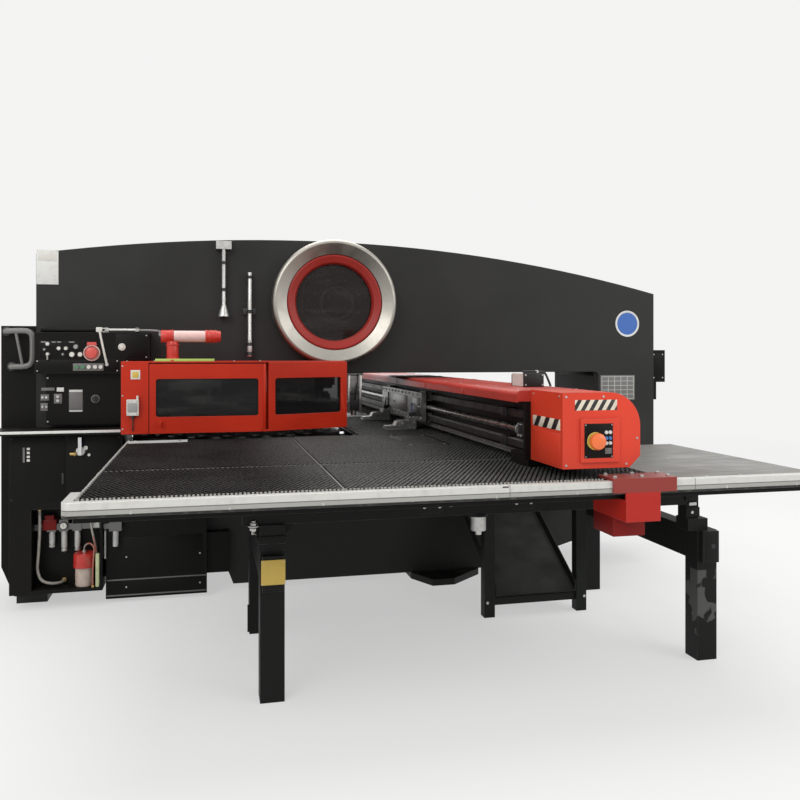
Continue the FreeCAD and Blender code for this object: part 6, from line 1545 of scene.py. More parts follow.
@dataclass
class OperatorEnd(Assembly):
    """The console, the shelf and the cabinet under it, with their hand controls."""

    console_y: float = -0.5
    panel_y: float = -0.45
    cabinet_y: float = -0.5
    grip_y: float = -0.4
    wall_y: float = -0.344
    conduit_y: float = -0.48
    conduit_z: float = 1.561
    stop_at: tuple[float, float] = (-1.389, 1.431)

    def dress(self) -> None:
        """Finish the boxes and the hand controls."""
        self.coat("satin_black", "console_box", "air_cabinet", round_by=0.002)
        self.coat("stop_pink", "console_stop")
        self.coat("key_white", "start_button")
        self.coat("black_plastic", "mode_selector", round_by=0.001)
        self.coat("lever_chrome", "valve_lever", round_by=0.0015)

    def build(self) -> None:
        """Make the keys, the plates, the handle, the conduit and the trims."""
        self._keys()
        self._plates()
        self._handle()
        self._conduit()
        self._trims()
        self._valve()

    def _keys(self) -> None:
        """Make the console's keys and the rings round its stop and its start button."""
        y = self.console_y
        keys = Shape().block((-1.662, y - 0.0016, 1.402), (-1.432, y, 1.498), 0.0006, slot=4)
        places = (
            (-1.621, 1.481, 0.01, 2), (-1.638, 1.45, 0.006, 3), (-1.621, 1.424, 0.009, 2),
            (-1.563, 1.456, 0.01, 1), (-1.526, 1.456, 0.01, 2), (-1.474, 1.465, 0.012, 3),
            (-1.542, 1.423, 0.006, 3), (-1.494, 1.422, 0.0135, 1), (-1.451, 1.422, 0.0125, 1))
        for x, z, radius, slot in places:
            collar = [
                (0, 0), (radius + 0.004, 0), (radius + 0.004, 0.002), (radius + 0.001, 0.005), (0, 0.005)]
            keys.turned(collar, (x, y, z), Axis.Y, 24, 0, True)
            cap = [(0, 0.004), (radius, 0.004), (radius, 0.0105), (radius * 0.8, 0.013), (0, 0.013)]
            keys.turned(cap, (x, y, z), Axis.Y, 24, slot, True)
        keys.block((-1.625, y - 0.016, 1.392), (-1.617, y - 0.004, 1.42), 0.0015, slot=3)
        for x in (-1.655, -1.6, -1.58, -1.51):
            keys.block((x, y - 0.0024, 1.489), (x + 0.028, y - 0.0014, 1.494), 0.0003, slot=3)
        self.make(
            keys, "console_keys", "black_plastic", "key_white", "pale_plastic", "grey_plastic", "satin_black")
        stop_x, stop_z = self.stop_at
        stop = Shape().turned(
            [
                (0.026, 0), (0.043, 0), (0.045, 0.003), (0.045, 0.01), (0.04, 0.014), (0.0345, 0.005),
                (0.026, 0.004), (0.026, 0)],
            (stop_x, y, stop_z), Axis.Y, 48, 0, True)
        stop.prism(
            [(-1.416, 1.474), (-1.412, 1.492), (-1.366, 1.492), (-1.362, 1.474)], Axis.Y, y - 0.013, y, 0.002,
            1)
        self.make(stop, "console_stop_ring", "pale_pink", "stop_pink")
        head = Shape().turned(
            [
                (0, 0.012), (0.026, 0.012), (0.032, 0.016), (0.033, 0.023), (0.029, 0.03), (0.015, 0.0335),
                (0, 0.034)],
            (stop_x, y, stop_z), Axis.Y, 40, 0, True)
        self.make(head, "console_stop_head", "stop_pink", body="console_stop")
        ring = Shape().turned(
            [(0.0118, 0), (0.02, 0), (0.0205, 0.003), (0.0185, 0.006), (0.0118, 0.006), (0.0118, 0)],
            (-1.229, y, 1.465), Axis.Y, 32, 0, True,
        )
        self.make(ring, "start_button_ring", "pale_plastic")

    def _plates(self) -> None:
        """Make the switch panel's plates and the console's strip of keys."""
        y = self.panel_y
        plates = Shape()
        for low_x, high_x, low_z, high_z, slot in (
            (-1.663, -1.594, 1.219, 1.236, 1), (-1.582, -1.545, 1.213, 1.236, 0),
            (-1.667, -1.623, 1.164, 1.198, 1), (-1.597, -1.555, 1.146, 1.201, 1),
            (-1.667, -1.63, 1.106, 1.149, 1), (-1.518, -1.444, 1.097, 1.224, 2)
        ):
            plates.block((low_x, y - 0.002, low_z), (high_x, y, high_z), 0.0006, slot=slot)
        for low_z, high_z, slot in ((1.21, 1.222, 0), (1.116, 1.206, 1), (1.099, 1.106, 0)):
            plates.block((-1.516, y - 0.0035, low_z), (-1.446, y - 0.0018, high_z), 0.0004, slot=slot)
        for x in (-1.66, -1.64):
            plates.rod((x + 0.004, y - 0.002, 1.181), 0.006, -0.008, Axis.Y, sides=18)
            plates.rod((x + 0.004, y - 0.002, 1.128), 0.006, -0.006, Axis.Y, sides=18, slot=3)
        for z in (1.162, 1.185):
            plates.rod((-1.576, y - 0.002, z), 0.009, -0.008, Axis.Y, sides=18, slot=3)
        plates.turned(
            [(0, 0), (0.024, 0), (0.024, 0.0018), (0, 0.0018)], (-1.377, y, 1.17), Axis.Y, 32, 1, True)
        plates.turned(
            [(0.0075, 0), (0.022, 0), (0.022, 0.003), (0.0075, 0.003), (0.0075, 0)],
            (-1.377, y + 0.0016, 1.17), Axis.Y, 32, 1, True)
        for x, z in ((-1.63, 1.29), (-1.23, 1.29), (-1.63, 1.045), (-1.23, 1.045)):
            plates.screw((x, y, z), 0.005, -0.004, Axis.Y, 3)
        self.make(plates, "switch_panel_plates", "plate_pale", "plate_grey", "plate_grey", "zinc")
        strip = Shape().block(
            (-1.489, self.console_y - 0.0036, 1.331), (-1.327, self.console_y, 1.372), 0.0006)
        for x in (-1.468, -1.437, -1.405, -1.372, -1.342):
            strip.rod(
                (x, self.console_y - 0.0035, 1.352), 0.011, -0.009, Axis.Y, sides=20, slot=1 + (x > -1.41))
        self.make(strip, "console_key_strip", "plate_grey", "green_plastic", "pale_plastic")

    def _handle(self) -> None:
        """Make the side grip."""
        y, wall = self.grip_y, self.wall_y
        grip = Shape().tube(
            [
                (-1.866, wall, 1.553), (-1.866, y, 1.553), (-1.8, y, 1.556), (-1.745, y, 1.556),
                (-1.722, y, 1.54), (-1.718, y, 1.5), (-1.718, y, 1.42), (-1.722, y, 1.376),
                (-1.745, y, 1.356), (-1.79, y, 1.354), (-1.838, y, 1.354), (-1.838, wall, 1.354)],
            0.0155)
        grip.tube([(-1.806, y, 1.548), (-1.79, y, 1.46), (-1.772, y, 1.364)], 0.008)
        for x, z in ((-1.866, 1.553), (-1.838, 1.354)):
            grip.turned(
                [(0, 0), (0.026, 0), (0.026, 0.004), (0.018, 0.01), (0, 0.01)], (x, wall, z), Axis.Y, 24, 1,
                True)
        self.make(grip, "side_grip", "grip_grey", "black_plastic")

    def _conduit(self) -> None:
        """Make the lamp's conduit and the console's stay."""
        y, z = self.conduit_y, self.conduit_z
        pipe = Shape().rod((-1.322, y, z), 0.0095, 0.178, Axis.X, sides=20)
        pipe.hexagon((-1.158, y, z), 0.016, 0.022, Axis.X, 1)
        pipe.hexagon((-1.322, y, z), 0.017, 0.018, Axis.X, 1)
        pipe.tube([(-1.136, y, z), (-1.07, y, z), (-1.02, -0.5, 1.556), (-1.015, -0.6, 1.545),
                   (-1.015, -0.698, 1.53), (-1.004, -0.7, 1.524)], 0.0062, 2)
        pipe.block((-1.345, -0.492, 1.545), (-1.3, -0.47, 1.573), 0.003, slot=1)
        self.make(pipe, "lamp_conduit", "zinc", "turned_steel", "cable_grey")
        stay = Shape().tube([(-1.349, -0.503, 1.56), (-1.33, -0.512, 1.46), (-1.309, -0.503, 1.366)], 0.0065)
        stay.rod((-1.309, -0.5, 1.366), 0.01, -0.012, Axis.Y, sides=18, slot=1)
        stay.block((-1.368, -0.506, 1.548), (-1.334, -0.486, 1.576), 0.004)
        self.make(stay, "console_stay", "pale_plastic", "turned_steel")

    def _trims(self) -> None:
        """Make the shelf's edge, the doors, the panels and the bay's edge."""
        trim = Shape().block((-1.898, -0.6035, 0.991), (-1.226, -0.5995, 1.0055))
        self.make(trim, "shelf_edge", "plate_pale")
        doors = Shape()
        y = self.cabinet_y
        doors.block((-1.812, y - 0.003, 0.606), (-1.53, y, 0.968), 0.0015)
        doors.block((-1.52, y - 0.003, 0.606), (-1.236, y, 0.968), 0.0015)
        doors.block((-1.548, y - 0.008, 0.7), (-1.536, y - 0.002, 0.76), 0.002, slot=1)
        doors.screws(product((-1.805, -1.243), (y - 0.0028,), (0.62, 0.955)), 0.004, -0.003, Axis.Y, 1)
        self.make(doors, "cabinet_doors", "satin_black", "black_plastic")
        console = Shape()
        y = self.console_y
        console.block((-1.682, y - 0.002, 1.324), (-1.246, y, 1.392))
        console.block((-1.262, y - 0.002, 1.4), (-1.088, y, 1.537))
        for x, z in (
            (-1.675, 1.386), (-1.254, 1.386), (-1.675, 1.331), (-1.254, 1.331), (-1.096, 1.53),
            (-1.096, 1.407)
        ):
            console.screw((x, y - 0.0015, z), 0.004, -0.003, Axis.Y, 1)
        self.make(console, "console_panels", "satin_black", "zinc")
        lamps = Shape().block((-1.749, -0.5045, 0.826), (-1.738, -0.5025, 0.908), 0.0004)
        for z in (0.83, 0.85, 0.872, 0.894):
            lamps.block((-1.728, -0.5065, z), (-1.712, -0.5025, z + 0.013), slot=1)
        self.make(lamps, "cabinet_lamps", "plate_grey", "pale_plastic")
        edge = Shape()
        for low, high in (
            ((-1.711, 0.104), (-1.705, 0.566)), ((-1.345, 0.104), (-1.339, 0.566)),
            ((-1.711, 0.56), (-1.339, 0.566))
        ):
            edge.block((low[0], -0.5025, low[1]), (high[0], -0.499, high[1]), 0.0008)
        self.make(edge, "bay_edge", "satin_black")

    def _valve(self) -> None:
        """Make the shut-off valve and its lever's sleeve."""
        x, y, z = -1.449, self.cabinet_y, 0.881
        valve = Shape().turned(
            [(0, 0), (0.026, 0), (0.028, 0.003), (0.024, 0.01), (0.0115, 0.012), (0, 0.012)], (x, y, z),
            Axis.Y, 32, 0, True)
        valve.rod((x - 0.055, y - 0.004, z - 0.014), 0.01, 0.036, Axis.X, sides=16, slot=1)
        valve.hexagon((x - 0.035, y - 0.004, z - 0.014), 0.016, 0.014, Axis.X, 1)
        valve.rod((x + 0.028, y - 0.006, z + 0.018), 0.012, -0.004, Axis.Y, sides=18, slot=2)
        valve.rod((x + 0.046, y, z - 0.022), 0.008, -0.012, Axis.Y, sides=18, slot=2)
        self.make(valve, "shutoff_valve", "zinc", "brass", "pale_plastic")
        cap = Shape().block((x - 0.0105, y - 0.0255, z + 0.03), (x + 0.0105, y - 0.0105, z + 0.0795), 0.003)
        self.make(cap, "valve_lever_sleeve", "blue_rubber", body="valve_lever")


@dataclass
class AirUnit(Assembly):
    """The air filters, the oil jar and the hoses in the cabinet's open bay."""

    bowl_y: float = -0.402
    collar_z: float = 0.407
    gauge: tuple[float, float] = (-1.55, 0.452)
    jar: tuple[float, float] = (-1.437, -0.444)

    def dress(self) -> None:
        """Finish the filters, the jar and the hoses."""
        self.coat("air_heads", "air_unit", round_by=0.0012)
        self.coat("oil_jar", "oil_reservoir", round_by=0.0015)
        self.coat("hoses", "air_hoses")

    def build(self) -> None:
        """Make the bowls' collars, the gauge, the brackets and the fittings."""
        y, z = self.bowl_y, self.collar_z
        collar = [(0.0155, 0), (0.019, 0.001), (0.019, 0.012), (0.0155, 0.013)]
        unit = Shape()
        for x, low in ((-1.615, 0.33), (-1.55, 0.305), (-1.479, 0.305)):
            unit.turned(collar, (x, y, z), sides=28)
            unit.turned(
                [(0.0165, 0), (0.0178, 0.001), (0.0178, 0.006), (0.0165, 0.007)], (x, y, low + 0.012),
                sides=28)
            unit.rod((x, y, low), 0.005, -0.012, sides=14, slot=1)
            unit.rod((x, y, 0.5115), 0.0105, 0.004, sides=20, slot=2)
        unit.turned(collar, (-1.266, -0.467, z), sides=28)
        gauge_x, gauge_z = self.gauge
        unit.turned(
            [(0, 0), (0.021, 0), (0.022, 0.002), (0.022, 0.01), (0.018, 0.011), (0, 0.011)],
            (gauge_x, -0.426, gauge_z), Axis.Y, 28, 1, True)
        unit.turned(
            [(0, 0), (0.0175, 0), (0.0175, 0.0006), (0, 0.0006)], (gauge_x, -0.4371, gauge_z), Axis.Y, 28, 3,
            True)
        unit.block((-1.5506, -0.4388, 0.446), (-1.5494, -0.4376, 0.464), 0.0002, slot=1)
        unit.block((-1.394, -0.43, 0.432), (-1.358, -0.376, 0.462), 0.003, slot=3)
        self.make(unit, "air_unit_fittings", "zinc", "black_plastic", "blue_rubber", "pale_plastic")
        block = Shape().block((-1.662, -0.4285, 0.4285), (-1.588, -0.3745, 0.488), 0.003)
        block.block((-1.65, -0.4285, 0.4875), (-1.6, -0.378, 0.5135), 0.004)
        self.make(block, "bay_valve_block", "dark_red_paint")
        nub = Shape().rod((*self.jar, 0.2995), 0.012, 0.012, sides=20)
        nub.turned(
            [(0.0565, 0), (0.0592, 0.002), (0.0592, 0.014), (0.0565, 0.016)], (*self.jar, 0.222), sides=48,
            slot=1)
        self.make(nub, "jar_fittings", "zinc", "cap_red")
        drain = Shape()
        for x, z in ((-1.672, 0.548), (-1.402, 0.548)):
            drain.hexagon((x, -0.446 if x < -1.5 else -0.452, z), 0.014, 0.012)
        drain.rod((-1.556, -0.3635, 0.131), 0.015, -0.012, Axis.Y, sides=6)
        drain.turned([(0, 0), (0.013, 0), (0.013, 0.012), (0, 0.012)], (-1.362, -0.455, 0.11), sides=6)
        drain.turned([(0, 0), (0.011, 0), (0.011, 0.012), (0, 0.012)], (-1.387, -0.487, 0.11), sides=6)
        self.make(drain, "hose_nuts", "brass")
        strip = Shape().block((-1.372, -0.496, 0.11), (-1.35, -0.474, 0.3), 0.006)
        self.make(strip, "oil_sight_tube", "sight_lime")


@dataclass
class SideTables(Assembly):
    """The travelling side tables and the fixed centre table with their brushes."""

    pitch: float = 0.02
    root_z: float = 0.9385
    tip_z: float = 0.9522
    edge_tip_z: float = 0.9568
    board_low: float = 0.9378
    board_high: float = 0.94
    seam_high: float = 0.9505

    def dress(self) -> None:
        """Finish the tables, the rails and the worn rear plates."""
        self.coat("satin_black", "side_tables", "centre_table", round_by=0.0015)
        self.coat("worn_steel", "rear_panels", round_by=0.001)
        # The rails' bands carry a painted highlight along their top.
        self.coat("rail_bands_painted_highlight", "edge_rails", round_by=0.003)

    def build(self) -> None:
        """Make the brush fields, their strips, the table bars and the rails' trims."""
        for name, side in (("near", -1), ("far", 1)):
            field_shape = Shape().bristles(self._spots(side), self.root_z, self.tip_z, 0.0042, 0.0068)
            brushes = self.make(field_shape, f"{name}_brushes", "brush_tufts", body="table")
            if side < 0:
                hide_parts("brush_panels")
        self._edges()
        self._boards()
        centre = []
        for row, y in enumerate(steps(-0.645, 0.645, 58)):
            for x in steps(0.118 + (row % 2) * 0.011, 1.755 + (row % 2) * 0.011, 74):
                centre.append((x, y))
        field_shape = Shape().block((0.106, -0.656, 0.9375), (1.778, 0.656, 0.9395), 0.0, 1)
        field_shape.bristles(centre, self.root_z, self.tip_z - 0.001, 0.0042, 0.0068)
        self.make(field_shape, "centre_brushes", "brush_tufts", "brush_ground")
        self._bars()
        self._rail_trims()

    def _open(self, x: float, y: float) -> bool:
        """Whether a spot of a side table carries a tuft.

        Args:
            x: Its x.
            y: Its distance from the machine's middle.

        Returns:
            False on the seams, the plate and under the beam's feet and brackets.
        """
        at_seam = abs(x + 0.29) < 0.011 or abs(y - 1.87) < 0.011
        at_foot = 0.548 < x < 0.792 and 1.915 < y < 2.145
        at_bracket = 0.69 < x < 0.98 and y > 2.465
        at_plate = 0.255 < x < 0.485 and 0.735 < y < 1.245
        return not (at_seam or at_foot or at_bracket or at_plate)

    def _spots(self, side: int) -> list[tuple[float, float]]:
        """The places of a side table's tufts.

        Args:
            side: 1 for the far side, -1 for the near side.

        Returns:
            The x and y of each.
        """
        spots = []
        for row in range(94):
            y = 0.683 + row * self.pitch
            shift = (row % 2) * self.pitch / 2
            for column in range(106):
                x = -1.166 + shift + column * self.pitch
                if y < 2.548 and x < 0.952 and self._open(x, y):
                    spots.append((x, side * y))
        return spots

    def _edges(self) -> None:
        """Make the brushes along the tables' edges."""
        edge = Shape()
        for side in (-1, 1):
            spots = [(x, side * 2.5535) for x in steps(-1.165, 0.685, 134)]
            edge.bristles(spots, self.root_z, self.edge_tip_z, 0.004, 0.0045)
            spots = [(-1.1735, side * y) for y in steps(0.69, 2.54, 134)]
            edge.bristles(spots, self.root_z, self.edge_tip_z, 0.004, 0.0045)
        self.make(edge, "edge_brushes", "pale_bristle", body="table")

    def _boards(self) -> None:
        """Make the boards under the brushes, with their seams and bare plates."""
        boards = Shape()
        for side in (-1, 1):
            for start, end in ((-1.179, -0.2915), (-0.2885, 0.5455), (0.7945, 0.959)):
                boards.side_block(side, (start, 0.672, self.board_low), (end, 2.559, self.board_high), 0.0004)
            for inner, outer in ((0.672, 1.913), (2.147, 2.559)):
                boards.side_block(
                    side, (0.5455, inner, self.board_low), (0.7945, outer, self.board_high), 0.0004)
            boards.side_block(
                side, (-1.178, 1.8665, self.root_z), (0.958, 1.8735, self.seam_high), 0.0008, slot=1)
            boards.side_block(
                side, (-0.2935, 0.674, self.root_z), (-0.2865, 2.55, self.seam_high), 0.0008, slot=1)
            boards.side_block(
                side, (0.9535, 0.674, self.root_z), (0.9595, 2.55, self.seam_high), 0.0008, slot=1)
            boards.side_block(side, (0.262, 0.742, 0.9395), (0.478, 1.238, 0.9502), slot=2)
            for x in (0.277, 0.463):
                for y in (0.76, 0.99, 1.22):
                    boards.screw((x, side * y, 0.95), 0.006, 0.0012, slot=3)
        self.make(boards, "brush_boards", "brush_ground", "plate_grey", "worn_black", "zinc", body="table")

    def _bars(self) -> None:
        """Make the gauge bar, the rear plates' screws and the end blocks."""
        bars = Shape().prism(
            [(-1.168, -0.842), (-1.168, -0.826), (-0.862, -0.806), (-0.862, -0.822)], Axis.Z, 0.9505, 0.9625,
            0.002)
        for x in (-1.13, -0.9):
            bars.screw((x, -0.826, 0.9622), 0.005, 0.003, slot=1)
        self.make(bars, "front_gauge_bar", "plate_pale", "zinc", body="table")
        plates = Shape()
        for side in (-1, 1):
            for x in steps(1.0, 1.6, 5):
                for y in (1.49, 2.0, 2.52):
                    plates.screw((x, side * y, 0.9456), 0.007, 0.0015)
        self.make(plates, "rear_plate_screws", "zinc", body="table")
        ends = Shape()
        for side in (-1, 1):
            ends.side_block(side, (1.556, 2.4, 0.9025), (1.632, 2.556, 0.936), 0.004)
        self.make(ends, "table_end_blocks", "satin_black", body="table")

    def _rail_trims(self) -> None:
        """Make the edge rails' joints and screws."""
        trims = Shape()
        for side in (-1, 1):
            for x in (0.3, 1.05):
                trims.side_block(side, (x - 0.001, 2.5942, 0.8995), (x + 0.001, 2.561, 0.9523), 0.0004)
            for x in steps(-1.0, 1.5, 9):
                trims.screw((x, side * 2.5938, 0.9135), 0.0055, side * 0.0008, Axis.Y, 1)
            trims.side_block(side, (1.5595, 2.5938, 0.9015), (1.5625, 2.56, 0.951))
        trims.block((0.272, -2.5946, 0.944), (0.296, -2.592, 0.9495))
        self.make(trims, "edge_rail_trims", "black_plastic", "zinc", body="table")


@dataclass
class CarriageBeam(Assembly):
    """The beam over the tables, its cover, its rails and the clamp carriage on it."""

    def dress(self) -> None:
        """Finish the beam, the cover, the rails and the carriage."""
        self.coat("satin_black", "carriage_beam", round_by=0.002)
        self.coat("cover_red", "beam_cover", round_by=0.0015)
        self.coat("slide_steel", "carriage_rails", round_by=0.001)
        self.coat("turned_steel", "carriage_screw")
        self.coat("pale_plastic", "carriage_motor", round_by=0.006)
        self.coat("machined_plate", "carriage_plate", "clamp_bodies", round_by=0.0012)
        self.coat("tool_steel", "near_clamp_jaw", "far_clamp_jaw", round_by=0.001)

    def build(self) -> None:
        """Make the rail plugs, the end blocks, the cover's screws, the duct and the clamps' details."""
        self._rails()
        self._cover()
        self._duct()
        self._carriage()
        self._clamps()
        self._servo()

    def _rails(self) -> None:
        """Make the rails' plugs, their end blocks and the strip under them."""
        plugs = Shape()
        for z in (1.035, 1.165):
            for y in steps(-2.14, 2.14, 54):
                plugs.rod((0.556, y, z), 0.0058, -0.00018, Axis.X, 0.0, 12)
        self.make(plugs, "rail_plugs", "black_plastic", body="table")
        ends = Shape()
        for side in (-1, 1):
            for z in (1.014, 1.144):
                ends.side_block(side, (0.546, 1.835, z), (0.586, 1.9, z + 0.042), 0.003)
            ends.side_block(side, (0.542, 2.055, 1.068), (0.5895, 2.12, 1.132), 0.004)
            ends.rod((0.559, side * 2.0545, 1.1), 0.026, -side * 0.006, Axis.Y, sides=32, slot=1)
            ends.screws(
                product((0.542,), (side * 2.072, side * 2.103), (1.076, 1.124)), 0.006, -0.006, Axis.X, 1)
        self.make(ends, "rail_end_blocks", "motor_black", "zinc", body="table")
        strip = Shape()
        for low, high in ((-2.176, -1.62), (-1.615, -0.81), (-0.805, 0.805), (0.81, 1.615), (1.62, 2.176)):
            strip.block((0.588, low, 0.9845), (0.5905, high, 1.0005), 0.0008)
            strip.block((0.5775, low, 0.9805), (0.5895, high, 0.985), 0.0008)
        for y in steps(-2.1, 2.1, 22):
            strip.screw((0.588, y, 0.9925), 0.004, -0.003, Axis.X, 1)
        self.make(strip, "beam_foot_strip", "plate_grey", "zinc", body="table")

    def _cover(self) -> None:
        """Make the cover's screws and joints."""
        top = 1.274
        screws = Shape()
        screws.screws(product((0.52, 0.786), steps(-2.12, 2.12, 17), (top - 0.0004,)), 0.0048, 0.0024)
        self.make(screws, "beam_cover_screws", "zinc", body="table")
        seams = Shape()
        for y in (-1.46, -0.73, 0.0, 0.73, 1.46):
            seams.block((0.507, y - 0.022, top - 0.0004), (0.8, y + 0.022, top + 0.0011), 0.0005)
            seams.block((0.4852, y - 0.022, 1.228), (0.4866, y + 0.022, top - 0.021), 0.0005)
        self.make(seams, "beam_cover_joints", "cover_red", body="table")

    def _duct(self) -> None:
        """Make the cable ducts and the cables out of them."""
        rear = 0.8
        duct = Shape()
        for side in (-1, 1):
            low, high = sorted((side * 0.46, side * 2.1))
            duct.block((rear, low, 1.02), (rear + 0.038, high, 1.1), 0.003)
            for y in steps(low + 0.05, high - 0.05, 7):
                duct.block(
                    (rear + 0.0375, y - 0.0015, 1.024), (rear + 0.0395, y + 0.0015, 1.096), 0.0004, slot=1)
            for y in steps(low + 0.08, high - 0.08, 5):
                duct.block((rear, y - 0.02, 1.104), (rear + 0.03, y + 0.02, 1.112), slot=1)
        self.make(duct, "beam_cable_duct", "satin_black", "zinc", body="table")
        cable = Shape()
        for side in (-1, 1):
            cable.tube([(rear + 0.018, side * 2.12, 1.06), (rear + 0.022, side * 2.14, 1.065),
                        (rear + 0.026, side * 2.165, 1.09), (rear + 0.026, side * 2.186, 1.12)], 0.007)
        self.make(cable, "beam_end_cables", "cable_black", body="table")

    def _carriage(self) -> None:
        """Make the carriage's screws, wipers and pads."""
        face = 0.514
        plate = Shape()
        plate.screws(product((face,), steps(-0.53, 0.53, 12), (1.03, 1.171)), 0.0065, -0.0055, Axis.X)
        plate.screws(product((face,), (-0.49, 0.49), (1.072, 1.128)), 0.0085, -0.007, Axis.X)
        self.make(plate, "carriage_screws", "zinc", body="carriage")
        wipers = Shape()
        for side in (-1, 1):
            for z in (1.0045, 1.1345):
                for y in (0.5405, 0.4295):
                    low, high = sorted((side * y, side * (y + (0.006 if y > 0.5 else -0.006))))
                    wipers.block((0.5425, low, z), (0.5545, high, z + 0.061))
        self.make(wipers, "shoe_wipers", "black_plastic", body="carriage")
        stiff = Shape()
        for low, high in ((-0.545, -0.36), (-0.18, 0.18), (0.36, 0.545)):
            stiff.block((0.5065, low, 1.048), (0.5142, high, 1.152), 0.0015)
            for y in (low + 0.02, high - 0.02):
                stiff.screw((0.5065, y, 1.1), 0.0055, -0.005, Axis.X, 1)
        self.make(stiff, "carriage_pads", "machined_plate", "zinc", body="carriage")

    def _clamps(self) -> None:
        """Make the clamps' screws, pins and air lines."""
        parts = Shape()
        for y in (-0.38, 0.38):
            for x in (0.478, 0.5):
                for across in (-0.032, 0.032):
                    parts.screw((x, y + across, 1.03), 0.0055, 0.005)
            for side in (-1, 1):
                parts.rod((0.424, y + side * 0.055, 0.99), 0.0125, side * 0.003, Axis.Y, sides=28, slot=1)
                for x, z in ((0.47, 0.968), (0.498, 0.968), (0.498, 0.998)):
                    parts.screw((x, y + side * 0.0548, z), 0.0042, side * 0.003, Axis.Y)
            parts.rod((0.5065, y - 0.02, 1.052), 0.011, 0.0085, Axis.X, sides=20, slot=2)
            parts.block((0.474, y - 0.031, 1.029), (0.509, y - 0.009, 1.06), 0.003, slot=2)
            parts.tube(
                [
                    (0.49, y - 0.02, 1.058), (0.49, y - 0.02, 1.075), (0.492, y - 0.012, 1.095),
                    (0.5, y + 0.02, 1.108), (0.509, y + 0.03, 1.112), (0.5145, y + 0.03, 1.112)],
                0.0035, 3)
        self.make(
            parts, "clamp_fittings", "zinc", "turned_steel", "motor_black", "blue_rubber", body="carriage")

    def _servo(self) -> None:
        """Make the servo motor's fittings."""
        servo = Shape()
        low_y, high_y = -1.86, -1.71
        servo.block((0.646, low_y - 0.008, 1.2735), (0.746, low_y, 1.338), 0.002)
        servo.block((0.668, low_y + 0.02, 1.3355), (0.724, low_y + 0.062, 1.348), 0.003)
        servo.hexagon((0.724, low_y + 0.041, 1.342), 0.008, 0.014, Axis.X, 2)
        servo.tube(
            [
                (0.738, low_y + 0.041, 1.342), (0.76, low_y + 0.041, 1.342), (0.774, low_y + 0.04, 1.336),
                (0.788, low_y + 0.035, 1.3), (0.796, low_y + 0.03, 1.277), (0.796, low_y + 0.03, 1.268)],
            0.0055, 1)
        servo.screws(product((0.656, 0.738), (low_y - 0.008,), (1.284, 1.328)), 0.004, -0.004, Axis.Y, 2)
        servo.block((0.652, high_y - 0.001, 1.2735), (0.742, high_y + 0.012, 1.33), 0.004)
        self.make(servo, "servo_fittings", "motor_black", "cable_black", "zinc", body="table")


